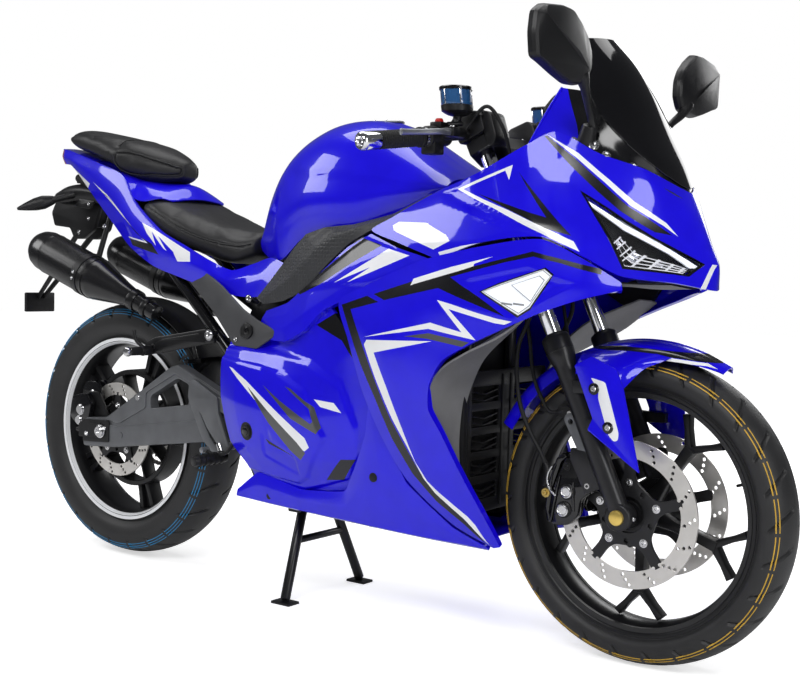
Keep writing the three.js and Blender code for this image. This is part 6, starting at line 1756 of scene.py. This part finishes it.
def handlebar():
    grip = [(236, 15), (237, 19.5), (241, 19.5), (242, 16.5)]
    for k in range(18):
        y = 243 + k * 4.6
        grip += [(y, 16.4), (y + 0.8, 17.3), (y + 3.2, 17.3), (y + 4, 16.4)]
    grip += [(328, 17.6), (331, 17.6), (332, 15)]
    grip = tinted(along_bar(grip), "grip")
    sleeve = tinted(along_bar([(332, 12), (332.3, 17), (334, 17.8), (362, 17.8), (369, 17), (371.8, 14.5),
                               (371.8, 11), (364, 8), (364, 5), (369, 3.6), (369, 0.5)]), "chrome")
    band = tinted(along_bar([(228, 14), (228.3, 18.6), (233.5, 18.6), (233.8, 14)]), "bright")
    tube = along_bar([(100, 10.8), (100, 11), (240, 11), (240, 10.8)])
    housing = along_bar([(176, 12), (177, 19), (180, 20.5), (202, 20.5), (203, 18.6), (205, 18.6),
                         (206, 20.5), (224, 20.5), (227, 18), (227, 12)])
    perch = bar_at(196)
    parts = [tinted(joined(tube, housing), "plastic"), grip, sleeve, band]
    # switch block under the bar and the red switch on top
    low = bar_at(214)
    parts.append(tinted(block((low[0] - 16, low[0] + 17), (low[1] - 10, low[1] + 22),
                              (low[2] - 34, low[2] - 8), 4), "plastic"))
    parts.append(tinted(block((perch[0] - 12, perch[0] + 14), (perch[1] - 14, perch[1] + 12),
                              (perch[2] + 14, perch[2] + 26), 3),
                        "plastic"))
    parts.append(tinted(sweep([(perch[0] + 2, perch[1] - 2, perch[2] + 25),
                               (perch[0] + 2, perch[1] - 2, perch[2] + 33)],
                              [8.5, 7.5], 28), "red_switch"))
    parts.append(tinted(sweep([(perch[0] + 16, perch[1] + 4, perch[2] + 21),
                               (perch[0] + 34, perch[1] + 30, perch[2] + 25)],
                              [5.5, 5], 20), "plastic"))
    # the master cylinder with its lever
    pivot = perch + (42, -4, 4)
    parts.append(tinted(joined(
        sweep([perch, pivot], [12, 9.5], 24),
        sweep([pivot + (-14, 44, 4), pivot + (-4, -16, 0)], [10.5, 10], 28),
        block((pivot[0] - 12, pivot[0] + 12), (pivot[1] - 24, pivot[1] - 2), (pivot[2] - 9, pivot[2] + 9),
              3)), "plastic"))
    knuckle = pivot + (4, -30, -1)
    blade = sweep([pivot + (0, -8, 0), knuckle, knuckle + (2, -30, -3), pivot + (-10, -100, -8),
                   pivot + (-20, -136, -11),
                   pivot + (-22, -146, -12)], [7, 6.5, 5.6, 5.2, 5.6, 6.4], 20, 30, flat=0.62)
    parts.append(tinted(blade, "alu"))
    parts.append(screw(tuple(pivot + (0, -12, 8)), (0, 0, 1), 5.5, 3.5, "bright"))
    # the fluid reservoir: dark base, blue body and dark lid, with its clamp
    cup = np.array([perch[0] + 26, -172, 1036])

    def turned_cup(stations):
        angles = np.arange(48) / 48 * 2 * math.pi
        lean = np.array([-0.12, 0, 0])
        return ringed([cup + (0, 0, h) + lean * h + 1.2 * r * np.stack([np.cos(angles), np.sin(angles),
                np.zeros(48)], 1)
                       for h, r in stations])
    parts.append(tinted(turned_cup([(-6, 10), (-4, 16), (0, 22), (3, 25.5), (14, 26), (15, 24.8)]),
                        "plastic"))
    parts.append(tinted(turned_cup([(14.5, 24.5), (16, 25.2), (30, 25.3), (43, 25.2), (43.5, 24.5)]),
                        "fluid"))
    for k in range(6):
        a = k / 6 * 2 * math.pi + 0.3
        x, y = cup[0] + 30.4 * math.cos(a), cup[1] + 30.4 * math.sin(a)
        parts.append(tinted(sweep([(x - 1.8, y, cup[2] + 15), (x - 5, y, cup[2] + 43)], 1.2, 8), "bright"))
    parts.append(tinted(turned_cup([(43, 25.5), (43.3, 26.6), (48, 26.8), (50, 25.4), (50.4, 22), (49.4, 20),
                                    (49.4, 1)]),
                        "gloss"))
    parts.append(tinted(sweep([perch + (8, 6, 0), cup + (-2, 0, -14), cup + (0, 0, 0)], [9, 8, 9], 20, 10),
                        "plastic"))
    # the clamp on the fork, a block with a split and its bolt
    collar = turned_leg([(770.4, 24), (771, 25), (799, 25), (800.3, 24), (800.3, 15.8), (770.4, 15.8)], -98)
    housing = flat_plate(rounded(fork_plan([(773, -33), (773, 30), (806, 34), (820, 24), (824, -22),
                                            (812, -36)]), 6),
                         -132, -66, bevel=4)
    hood = flat_plate(rounded(fork_plan([(744, 20), (800, 26), (812, 40), (800, 52), (752, 46), (740, 34)]),
                              6), -126, -74,
                      bevel=3)
    parts.append(tinted(joined(collar, housing, hood), "plastic"))
    parts.append(screw(tuple(fork(784, -66, 0) + (0, 2, 0)), (0, 1, 0), 5, 3, "bright"))
    parts.append(screw(tuple(fork(812, -116, 32)), tuple(AHEAD), 4.5, 3, "plastic"))
    line = sweep([pivot + (-14, 44, 4), fork(812, -132, 52), fork(770, -120, 62), fork(700, -98, 44),
                  fork(640, -92, 30)],
                 3.6, 14, 40)
    parts.append(tinted(line, "grip"))
    return joined(*parts)


bars = handlebar()
for label, side in SIDES:
    piece(f"handlebar_{label}_controls", on(side, bars), "steering", "plastic", f"handlebar_{label}",
          smooth=35)


def dash():
    """A display under a hood, above the panel's solid and leaning to the rider."""
    lean = Matrix.Rotation(0.75, 4, "Y")
    place = Matrix.Translation(P(514, 0, 1060)) @ lean
    case = flat_plate(rounded([(-66, -28), (-58, -34), (58, -34), (66, -28), (66, 8), (44, 32), (-44, 32),
                               (-66, 8)], 7),
                      -6, 9, bevel=2.5, matrix=Matrix.Identity(4))
    bezel = flat_plate(rounded([(-63, -26), (-56, -32), (56, -32), (63, -26), (63, 7), (42, 30), (-42, 30),
                                (-63, 7)], 7),
                       8, 12, [rounded([(-52, -22), (52, -22), (53, 4), (37, 24), (-37, 24), (-53, 4)], 5)],
                       bevel=1.4,
                       matrix=Matrix.Identity(4))
    glass = flat_plate(rounded([(-53, -23), (53, -23), (54, 4), (38, 25), (-38, 25), (-54, 4)], 5), 7, 9.8,
                       bevel=0.4,
                       matrix=Matrix.Identity(4))
    mesh = joined(tinted(joined(case, bezel), "plastic"), tinted(glass, "display"))
    # the plates lie in X and Z with their thickness along Y; the case looks back and up at the rider
    mesh.transform(place @ Matrix(((0, -1, 0, 0), (1, 0, 0, 0), (0, 0, 1, 0), (0, 0, 0, 1))))
    foot = sweep([(494, 0, 1018), (502, 0, 1038), (514, 0, 1054)], [9, 10, 12], 20, 8)
    mesh = joined(mesh, tinted(foot, "plastic"))
    piece("instrument_panel_case", mesh, "chassis", "plastic", "instrument_panel")


dash()
# ------------------------------------------------------------------ swingarm, footrests and frame

def swing_arm():
    """A forged arm on each side with a raised border and a window, joined by a cross beam round the pivot."""
    outline = rounded([(-770, 278), (-650, 286), (-365, 326), (-268, 338), (-268, 434), (-436, 503),
                       (-458, 497), (-690, 356), (-770, 350)], 14, 4)
    window = rounded([(-531, 392), (-396, 412), (-402, 458), (-440, 470), (-531, 421)], 9)
    core = flat_plate(outline, -121, -93, [window], bevel=3)
    # the lower beam and the upper bow stand out from the web
    beam = flat_plate(rounded([(-770, 279), (-650, 287), (-365, 327), (-268, 339), (-268, 392), (-396, 374),
                               (-640, 338), (-770, 346)], 10), -124, -91, bevel=2.5)
    bow = flat_plate(rounded([(-690, 352), (-640, 345), (-545, 392), (-545, 428), (-446, 480), (-392, 462),
                              (-300, 420), (-270, 432), (-436, 502), (-460, 496)], 8), -124, -91, bevel=2.5)
    rib = flat_plate(rounded([(-404, 404), (-300, 372), (-272, 372), (-272, 400), (-300, 420), (-392, 462)],
                             6), -122, -92,
                     bevel=2)
    parts = [tinted(joined(core, beam, bow, rib), "alloy")]
    # the axle's plate with its two screws and the adjuster at the arm's end
    parts.append(tinted(flat_plate(rounded([(-768, 291), (-672, 296), (-672, 350), (-768, 346)], 5), -127,
                                   -123, bevel=1),
                        "plastic"))
    parts.append(tinted(flat_plate(rounded([(-746, 303), (-700, 305), (-700, 342), (-746, 340)], 4), -130,
                                   -126, bevel=1),
                        "plastic"))
    parts.append(screw((-752, -127, 312), (0, -1, 0), 6, 4, "bright"))
    parts.append(screw((-686, -127, 330), (0, -1, 0), 6, 4, "bright"))
    parts.append(screw((-570, -124, 415), (0, -1, 0), 7, 4, "bright", socket=0))
    parts.append(screw((-632, -124, 318), (0, -1, 0), 8, 1.5, "alloy", socket=0))
    parts.append(tinted(flat_plate(rounded([(-793, 300), (-768, 300), (-768, 340), (-793, 340)], 3), -120,
                                   -96, bevel=2),
                        "plastic"))
    parts.append(tinted(sweep([(-770, -108, 318), (-812, -108, 316)], [6, 6], 16), "plastic"))
    half = joined(*parts)
    plate_ = flat_plate(rounded([(-796, 340), (-770, 300), (-700, 345), (-742, 414), (-800, 414)], 8), -99,
                        -91.5, bevel=2)
    boss = lathe([(12.3, -95.7), (22, -95.7), (24, -94), (24, 94), (22, 95.7), (12.3, 95.7)], (-215, 372), 48)
    beam = block((-347, -298), (-93, 93), (341, 395), 6)
    block_ = block((-312, -213), (-94, 94), (353, 391), 4)
    middle = joined(tinted(joined(boss, beam, block_), "alloy"), tinted(plate_, "plastic"))
    piece("swingarm_forging", joined(half, flipped(half), middle), "chassis", "alloy", "swingarm",
          even=True)
    axle = lathe([(6, -138), (11, -138), (12, -137), (12, 137), (11, 138), (6, 138)], REAR, 40)
    nuts = [screw((REAR[0], s * 130, REAR[1]), (0, s, 0), 14, 7, "bright", sides=48, washer=17) for s in (1,
            -1)]
    piece("rear_axle_shaft", joined(tinted(axle, "bright"), *nuts), "chassis", "bright", "rear_axle")


def rear_caliper():
    outline = rounded([(-812, 418), (-800, 436), (-764, 440), (-744, 420), (-740, 392), (-758, 372),
                       (-790, 366), (-812, 380)], 7)
    outer = flat_plate(outline, -91.2, -79.5, bevel=3)
    inner = flat_plate(outline, -64.5, -52, bevel=3)
    bridge = flat_plate(rounded([(-812, 418), (-800, 436), (-780, 440), (-788, 424), (-800, 410)], 3), -90,
                        -54, bevel=2)
    parts = [tinted(joined(outer, inner, bridge), "gloss")]
    for x, z, r in ((-772, 404, 13), (-796, 394, 9)):
        parts.append(tinted(lathe([(0.5, -94.5), (r - 4, -94.5), (r - 2.5, -95.6), (r, -94), (r, -90),
                                   (0.5, -90)], (x, z), 36),
                            "bright"))
    parts.append(screw((-750, -91, 386), (0, -1, 0), 6, 4, "bright"))
    piece("rear_caliper_body", joined(*parts), "chassis", "gloss", "rear_caliper")


def footrests():
    """Heel guard, its links to the frame and the folding peg with the brake pedal."""
    guard = rounded([(-388, 466), (-372, 474), (-294, 436), (-290, 404), (-252, 324), (-276, 296),
                     (-300, 300), (-343, 336), (-392, 430)], 7)
    slot = rounded([(-352, 400), (-344, 384), (-316, 340), (-292, 318), (-296, 330), (-330, 366)], 2)
    plate_ = flat_plate(guard, -134, -128, [slot], bevel=1.8)
    rib = flat_plate(rounded([(-300, 436), (-294, 436), (-290, 404), (-254, 326), (-262, 326), (-298, 402)],
                             1), -137, -132,
                     bevel=1)
    upper = flat_plate(rounded([(-298, 440), (-226, 418), (-216, 402), (-226, 390), (-290, 404)], 6), -133,
                       -126, bevel=1.8)
    lower = flat_plate(rounded([(-262, 336), (-218, 364), (-206, 350), (-216, 338), (-252, 320)], 5), -133,
                       -126, bevel=1.8)
    bar = flat_plate(rounded([(-232, 410), (-220, 410), (-206, 352), (-216, 346)], 3), -131, -127, bevel=1.5)
    stem = lathe([(0.5, -126), (12, -126), (12, -122.4), (0.5, -122.4)], (-232, 400), 32)
    parts = [tinted(joined(plate_, rib, upper, lower, bar, stem), "alloy")]
    parts.append(screw((-228, -133, 404), (0, -1, 0), 7, 4, "bright", washer=10))
    parts.append(screw((-213, -133, 352), (0, -1, 0), 6, 4, "bright", washer=8))
    peg = sweep([(-268, -132, 306), (-288, -216, 300)], [13, 12], 28)
    ribs = [sweep([(-270 - k * 3.1, -146 - k * 13, 305 - k * 0.9),
                   (-271.2 - k * 3.1, -151 - k * 13, 304.7 - k * 0.9)],
                  [14.2, 14.2], 28) for k in range(5)]
    parts.append(tinted(joined(peg, *ribs), "plastic"))
    pedal = sweep([(-232, -136, 352), (-250, -150, 318), (-276, -160, 312), (-300, -166, 318)], 4.5, 14, 16)
    parts.append(tinted(pedal, "plastic"))
    parts.append(tinted(sweep([(-300, -156, 320), (-302, -178, 320)], [7, 7], 16), "alu"))
    parts.append(tinted(sweep([(-276, -131, 300), (-292, -131, 334)], [8, 8], 16), "bright"))
    mesh = joined(*parts)
    for label, side in SIDES:
        piece(f"footrest_{label}_plate", on(side, mesh), "chassis", "alloy", f"footrest_{label}")


SPAR = [(352, 862), (340, 786), (332, 735), (150, 690), (-60, 600), (-140, 520), (-172, 420), (-184, 322),
        (-258, 322), (-262, 420), (-240, 540), (-210, 640), (-120, 700), (100, 790)]
PIVOT_PLATE = [(-328, 644), (-232, 551), (-184, 552), (-158, 586), (-179, 610), (-206, 620), (-300, 652)]
HANGER = [(-330, 592), (-300, 562), (-480, 528), (-530, 520), (-535, 548), (-500, 564)]


def head_tube():
    """The head tube, its outline turned about the steering stem, with its gusset."""
    tube = turned_leg([(533.7, 20), (533.7, 29), (536, 30), (738, 30), (740.3, 29), (740.3, 20)], 0, -36)
    middle = fork(637, 0, -36)
    return joined(tube, sweep([(300, 0, 800), tuple(middle + (-14, 0, -10))], [36, 30], 28))


def main_frame():
    """Twin spars, cradle, seat rails and struts, with the brackets that carry the shells."""
    parts = []
    spar = flat_plate(rounded(SPAR, 12), -122, -96, [ring(-215, 372, 12.2, 32)], bevel=4)
    parts.append(spar)
    parts.append(sweep([(345, -80, 786), (345, -80, 240), (333, -80, 228), (-180, -80, 228), (-200, -86, 250),
                        (-236, -108, 345)], 12, 20, None, cap=0.1))
    rail = 110
    parts.append(sweep([(-190, -rail, 640), (-560, -88, 826)], [13, 13], 24))
    parts.append(sweep([(-545, -88, 818), (-905, -34, 955)], [13, 11], 24))
    strut = sweep([(-236, -112, 500), (-568, -92, 800)], [14, 14], 28)
    parts.append(sweep([(-322, -107, 576), (-322, -136, 576)], [11, 11], 20))
    parts.append(flat_plate(rounded(HANGER, 9), -138, -130, bevel=2))
    parts.append(flat_plate(rounded(HANGER, 9) * 0.72 + np.array([-410, 552]) * 0.28, -139.4, -136, bevel=1))
    parts.append(flat_plate(rounded(PIVOT_PLATE, 7), -132, -120, bevel=3))
    parts.append(flat_plate([(-127, 232), (-83, 232), (-91, 193), (-119, 193)], -86, -74,
                            [ring(-105, 205, 8.3, 24)], bevel=2))
    for (x, y, z), (x2, y2, z2), radius in (
            ((345, -80, 505), (325, -238, 505), 7), ((126, -80, 228), (126, -186, 246), 7),
            ((-205, -110, 520), (-191, -166, 520), 7), ((30, -115, 745), (30, -177, 766), 7),
            ((0, -115, 640), (9, -192, 640), 7), ((-500, -92, 790), (-500, -135, 781), 7),
            ((560, -4, 905), (655, -134, 913), 8), ((-640, -72, 856), (-640, -72, 938), 9),
            ((40, -109, 740), (40, -109, 799), 10)):
        parts.append(sweep([(x, y, z), (x2, y2, z2)], [radius, radius], 20))
    parts.append(sweep([(345, -80, 373), (375, -80, 373)], [6, 6], 16))
    half = tinted(joined(*parts), "frame")
    trim = [tinted(strut, "gloss"), screw((-206, -132, 600), (0, -1, 0), 9, 3.5, "plastic", washer=16),
            screw((-244, -132, 566), (0, -1, 0), 6, 3.5, "bright"),
            screw((-322, -138, 578), (0, -1, 0), 9, 4, "bright", washer=13),
            screw((-505, -137, 541), (0, -1, 0), 7, 3, "plastic", washer=12)]
    trim.append(tinted(flat_plate(rounded([(-345, 700), (-312, 716), (-296, 700), (-330, 682)], 3), -122,
                                  -112, bevel=1.5), "plastic"))
    trim.append(screw((-318, -122, 704), (0, -1, 0), 4, 2.5, "bright"))
    trim.append(screw((-332, -122, 696), (0, -1, 0), 4, 2.5, "bright"))
    # the passenger's peg: folded out and back, black with chrome ends
    peg = [sweep([(-512, -139, 533), (-516, -168, 532)], [12, 12], 24),
           sweep([(-514, -160, 540), (-530, -168, 556), (-536, -170, 580)], 4.5, 12, 8)]
    trim.append(tinted(joined(*peg), "plastic"))
    trim.append(tinted(sweep([(-516, -164, 532), (-518, -206, 531)], [10.5, 9.5], 24), "grip"))
    trim.append(tinted(joined(sweep([(-517, -199, 531), (-518.3, -212, 531)], [11.4, 10.8], 24),
                              sweep([(-515, -156, 532), (-516, -164, 532)], [12.6, 12.6], 24)), "bright"))
    half = joined(half, *trim)
    wide = 98
    middle = [block((-905, -882), (-40, 40), (940, 962), 2),
              sweep([(-200, -wide, 600), (-200, wide, 600)], 14, 20),
              sweep([(-215, -wide, 372), (-215, wide, 372)], [12, 12], 24, cap=0.05),
              sweep([(300, -wide, 800), (300, wide, 800)], [24, 24], 28),
              sweep([(-560, -88, 822), (-560, 88, 822)], [11, 11], 20),
              sweep([(423, 0, 865), (562, 0, 905)], [12, 10], 20),
              sweep([(550, 0, 900), (488, 0, 1018)], [8, 8], 16)]
    middle.append(head_tube())
    piece("main_frame_tubes", joined(half, flipped(half), tinted(joined(*middle), "frame")), "chassis",
          "frame", "main_frame",
          smooth=40)


swing_arm()
rear_caliper()
footrests()
main_frame()


def hugger():
    """The short mudguard that follows the rear tyre, on two legs."""
    lines = []
    for i in range(6):
        degrees = 36 + 60 * i / 5
        angle = math.radians(degrees)
        lines.append([(REAR[0] + (332 - drop) * math.cos(angle), share * 62,
                       REAR[1] + (332 - drop) * math.sin(angle))
                      for share, drop in ((1, 12), (0.6, 2), (0, 0), (-0.6, 2), (-1, 12))])
    mesh = outward(sheet(smooth_net(lines, 41, 41), 3))
    legs = []
    for s in (1, -1):
        legs.append(block((-444, -430), tuple(sorted((s * 54, s * 97))), (503.5, 513.5), 2))
        legs.append(sweep([(-438, s * 60, 509), (REAR[0] + 328 * math.cos(math.radians(42)), s * 54,
                                                REAR[1] + 328 * math.sin(math.radians(42)))], [5, 5], 16))
    piece("rear_mudguard_arch", joined(mesh, *legs), "chassis", "plastic", "rear_mudguard")


hugger()


def stand():
    """The centre stand: a tube, two legs with feet and a brace."""
    x, z = -105, 205
    parts = [sweep([(x, -58, z), (x, 58, z)], [11, 11], 24), sweep([(x, -90, z), (x, 90, z)], [8, 8], 20),
             sweep([(x + 8, -82, 130), (x + 8, 82, 130)], [8, 8], 20)]
    for s in (1, -1):
        parts.append(sweep([(x, s * 50, z), (x + 22, s * 132, 9)], [11, 11], 24))
        parts.append(block((x - 4, x + 48), tuple(sorted((s * 114, s * 150))), (0, 6), 1.5))
        parts.append(flat_plate([(x + 12, 5), (x + 32, 5), (x + 26, 26), (x + 16, 26)],
                                *sorted((s * 128, s * 133)), bevel=0.8))
    piece("centre_stand_legs", tinted(joined(*parts), "frame"), "centre_stand", "frame", "centre_stand")


stand()


def chain():
    """Side plates and rollers of a chain, laid along its solid's middle line."""
    front, rear, fr, rr = np.array([-112, 372.0]), np.array(REAR, float), 37.0, 105.0
    span = rear - front
    distance = np.linalg.norm(span)
    lean = math.atan2(-span[1], -span[0])
    opening = math.asin((rr - fr) / distance)
    half = math.pi / 2 - opening
    points = [front + fr * np.array([math.cos(a),
                                     math.sin(a)]) for a in np.linspace(lean - half - 2 * opening,
            lean + half + 2 * opening, 60)]
    points += [rear + rr * np.array([math.cos(a), math.sin(a)]) for a in
               np.linspace(lean + half + 2 * opening, lean + 2 * math.pi - half - 2 * opening, 120)]
    loop = np.array(points + [points[0]])
    steps = np.concatenate([[0], np.cumsum(np.linalg.norm(np.diff(loop, axis=0), axis=1))])
    links = int(steps[-1] / 13.5) // 2 * 2
    at = np.linspace(0, steps[-1], links, endpoint=False)
    pins = np.stack([np.interp(at, steps, loop[:, 0]), np.interp(at, steps, loop[:, 1])], 1)
    verts, faces = [], []
    for i, p in enumerate(pins):
        q = pins[(i + 1) % links]
        d = (q - p) / np.linalg.norm(q - p)
        n = np.array([-d[1], d[0]])
        outer = i % 2 == 0
        low, high = (3.6, 4.8) if outer else (2.3, 3.5)
        shape = [p - d * 4.4 + n * k for k in (-2, 2)] + [p + n * 4.6, p + (q - p) / 2 + n * 3.4, q + n * 4.6]
        shape += [q + d * 4.4 + n * k for k in (2, -2)] + [q - n * 4.6, p + (q - p) / 2 - n * 3.4,
                                                           p - n * 4.6]
        for side in (1, -1):
            first = len(verts)
            for y in (80 + side * low, 80 + side * high):
                verts += [(c[0], y, c[1]) for c in shape]
            m = len(shape)
            faces += [tuple(range(first, first + m)), tuple(range(first + m, first + 2 * m))]
            faces += [(first + k, first + (k + 1) % m, first + m + (k + 1) % m,
                       first + m + k) for k in range(m)]
        first = len(verts)
        for y in (75.1, 84.9):
            verts += [(p[0] + 2.4 * math.cos(a), y,
                       p[1] + 2.4 * math.sin(a)) for a in np.arange(8) / 8 * 2 * math.pi]
        faces += [tuple(range(first, first + 8)), tuple(range(first + 8, first + 16))]
        faces += [(first + k, first + (k + 1) % 8, first + 8 + (k + 1) % 8, first + 8 + k) for k in range(8)]
    piece("drive_chain_links", outward(raw(rows(verts), faces)), "chassis", "steel", "drive_chain",
          smooth=30)


chain()
# ------------------------------------------------------------------ tail end and silencers

def tail_end():
    """The tail light, the undertail with its indicators, and the holder of the blank plate."""
    lamp = ringed([np.array([(x, -w, 1015 + d), (x, w, 1015 + d), (x, w, 1001 - d), (x, -w, 1001 - d)], float)
                   for x, w, d in ((-944, 43, 1), (-950, 43, 1), (-964, 35, 0), (-970, 24, -1),
                                   (-971.5, 18, -3))])
    piece("tail_light_lens", tinted(lamp, "pale_red"), "chassis", "pale_red", "tail_light",
          bevel=1.2)
    stations_ = [(-700, 898, 44, 886, 868, 36), (-780, 922, 52, 906, 880, 44), (-870, 939, 56, 922, 896, 50),
                 (-940, 938, 50, 920, 892, 44), (-1000, 922, 34, 910, 892, 28)]
    body = ringed(symmetric([section(*s) for s in stations_], 41, 25))
    root, tip = np.array([-900, -44, 912.0]), np.array([-982, -166, 868.0])
    at = lambda share: root + (tip - root) * share
    leaf = sweep([at(0.36), at(0.44), at(0.56), at(0.70), at(0.86), at(1.0)], [9, 13, 17.5, 16, 10, 3.5], 24,
                 24, cap=0.3, flat=0.62)
    lens = sweep([at(0.47) + (-4, 0, 3), at(0.6) + (-6, 0, 4), at(0.78) + (-4, 0, 3), at(0.93) + (-1, 0, 1)],
                 [8, 12, 9, 3], 20, 16,
                 cap=0.3, flat=0.5)
    stalk = sweep([at(-0.1), at(0.2), at(0.42)], [11, 8, 9], 20, 10)
    side = [tinted(joined(leaf, stalk), "plastic"), tinted(lens, "amber")]
    side.append(tinted(sweep([(-915, -26, 812), (-1012, -17, 720), (-1098, -9, 640)], [9, 8, 7], 12, 12,
                             flat=0.55), "plastic"))
    side.append(tinted(flat_plate(rounded([(-880, 898), (-820, 892), (-850, 820), (-890, 797), (-926, 797),
                                           (-944, 826), (-1006, 832), (-1018, 866), (-1000, 896)], 6), -30,
                                  -18, bevel=2), "plastic"))
    side.append(screw((-905, -30, 815), (0, -1, 0), 6, 3.5, "bright"))
    side.append(screw((-868, -30, 850), (0, -1, 0), 5, 3, "bright"))
    side.append(tinted(flat_plate(rounded([(-880, 900), (-820, 892), (-838, 872), (-900, 880)], 5), -52, -46,
                                  bevel=1.5), "plastic"))
    side.append(screw((-842, -52, 885), (0, -1, 0), 5, 3, "bright"))
    half = joined(*side)
    tray = flat_plate(rounded([(-870, 884), (-836, 880), (-858, 826), (-940, 836), (-1004, 842), (-990, 868)],
                              5), -19, 19,
                      bevel=2)
    body = joined(body, tray)
    plate_ = block((-1110, -1098), (-46, 46), (600, 652), 3)
    face = block((-1112.5, -1108), (-42, 42), (604, 648), 1.5)
    mesh = joined(tinted(body, "plastic"), half, flipped(half), tinted(plate_, "plastic"),
                  tinted(face, "frame"))
    piece("undertail_body", mesh, "chassis", "plastic", "undertail", smooth=40)


def silencers():
    """A tapered can with a rounded cap, a woven sleeve between two bands, and the pipe that leaves it."""
    rear, front, nose, pipe = (np.array(p, float) for p in
                               ((-928, -128, 770), (-722, -128, 697), (-600, -124, 655), (-520, -112, 618)))
    axis = (rear - front) / np.linalg.norm(rear - front)
    u = np.array([0, 1, 0])
    v = np.cross(axis, u)
    angles = np.arange(64) / 64 * 2 * math.pi
    spread = np.cos(angles)[:, None] * u + np.sin(angles)[:, None] * v

    def can(stations_):
        return ringed([front + axis * t + r * spread for t, r in stations_])
    sleeve = can([(2, 48), (2, 51.4), (140, 52), (168, 52), (168, 48)])
    bands = [can([(a - 3, 48), (a - 3, 52.3), (a + 3, 52.6), (a + 3, 48)]) for a in (0, 168)]
    cap = can([(170, 50), (171, 51.6), (196, 51), (212, 47), (224, 40), (229, 33), (230, 27), (226, 25.5),
               (190, 25), (190, 0.5)])
    cone = sweep([pipe, mixed(pipe, nose, 0.5), nose, mixed(nose, front, 0.25), mixed(nose, front, 0.6),
                  mixed(nose, front, 0.88),
                  front + axis * 2], [20, 21, 24, 30, 41, 50, 51.2], 48, 40, cap=0.12)
    collar = [sweep([nose + (p - nose) * a, nose + (p - nose) * b], [r, r], 40, cap=0.1) for p, a, b, r in
              ((pipe, 0.05, 0.3, 26), (pipe, 0.55, 0.72, 24.5))]
    hanger = sweep([(-748, -104, 732), (-742, -98, 764), (-722, -74, 880)], [8, 7, 7], 16, 12)
    strap = can([(16, 49), (16, 53.4), (34, 53.8), (34, 49)])
    dots = [screw(tuple(front + axis * 25 - u * 53.6 + v * k), (0, -1, 0), 4.5, 2.5, "bright") for k in (-8,
            8)]
    mesh = joined(tinted(sleeve, "weave"), tinted(joined(cap, cone, *bands), "satin"),
                  tinted(joined(*collar, hanger), "frame"),
                  tinted(strap, "plastic"), *dots, screw((-735, -91, 826), (0.2, -1, 0.1), 6, 4, "bright"))
    for label, side in SIDES:
        piece(f"silencer_{label}_can", on(side, mesh), "chassis", "weave", f"silencer_{label}")


def side_details():
    """The plate behind the seat rail with its boss, and the round caps of the side covers."""
    outline = rounded([(-470, 750), (-411, 712), (-302, 632), (-227, 560), (-149, 557), (-93, 586),
                       (-89, 600), (-150, 620), (-200, 642), (-273, 690), (-380, 745)], 6)
    plate_ = flat_plate(outline, -4, 3, bevel=1.5)
    boss = flat_plate(rounded([(-200, 601), (-184, 613), (-162, 606), (-160, 588), (-176, 576), (-200, 581)],
                              5), -9, -3,
                      bevel=1.5)
    dot = screw((-178, -9, 595), (0, -1, 0), 8, 1.5, "gloss")
    plate_ = joined(tinted(plate_, "grey"), tinted(boss, "plastic"), dot,
                    screw((-220, -4, 574), (0, -1, 0), 6, 3, "bright"))
    for v in plate_.vertices:        # the plate leans outward toward its front end
        v.co.y -= 0.124 + 0.139 * (v.co.x - SHIFT + 0.43)
    # the caliper's pistons and its bracket show behind the arm's end
    stay = flat_plate(rounded([(-816, 400), (-770, 412), (-748, 386), (-758, 346), (-806, 332), (-828, 350)],
                              8), -119, -100,
                      bevel=2.5)
    pistons = [screw((-787, -119, 368), (0, -1, 0), 12, 5, "bright", sides=40, socket=0, washer=14),
               screw((-793, -119, 341), (0, -1, 0), 10, 5, "bright", sides=40, socket=0, washer=12)]
    stay = joined(tinted(stay, "gloss"), *pistons)
    piece("rear_caliper_cover", stay, "chassis", "gloss")
    out = Vector((-0.16, -0.98, -0.08))     # the side cover's own direction there
    cap = joined(screw((-151, -190.9, 379), out, 15, 4, "plastic", sides=48, socket=0, washer=20),
                 screw((-151.6, -194.6, 378.7), out, 9, 2.5, "gloss", sides=48, socket=0, washer=11))
    for label, side in SIDES:
        piece(f"seat_rail_plate_{label}", on(side, plate_), "chassis", "grey")
        piece(f"side_cover_cap_{label}", on(side, cap), "chassis", "plastic")


tail_end()
silencers()
side_details()

# ------------------------------------------------------------------ battery block and motor

def battery_block():
    """A finned battery case with its lids, and the round motor behind it."""
    case = tinted(cad("battery_block"), "plastic")
    fins = [block((-46 + k * 36, -34 + k * 36), (-97.5, -95), (262, 622), 1) for k in range(10)]
    ribs = joined(*fins)
    motor = tinted(joined(ribs, flipped(ribs)), "plastic")
    piece("battery_block_case", joined(case, motor), "chassis", "plastic", "battery_block",
          bevel=2, smooth=30)


battery_block()
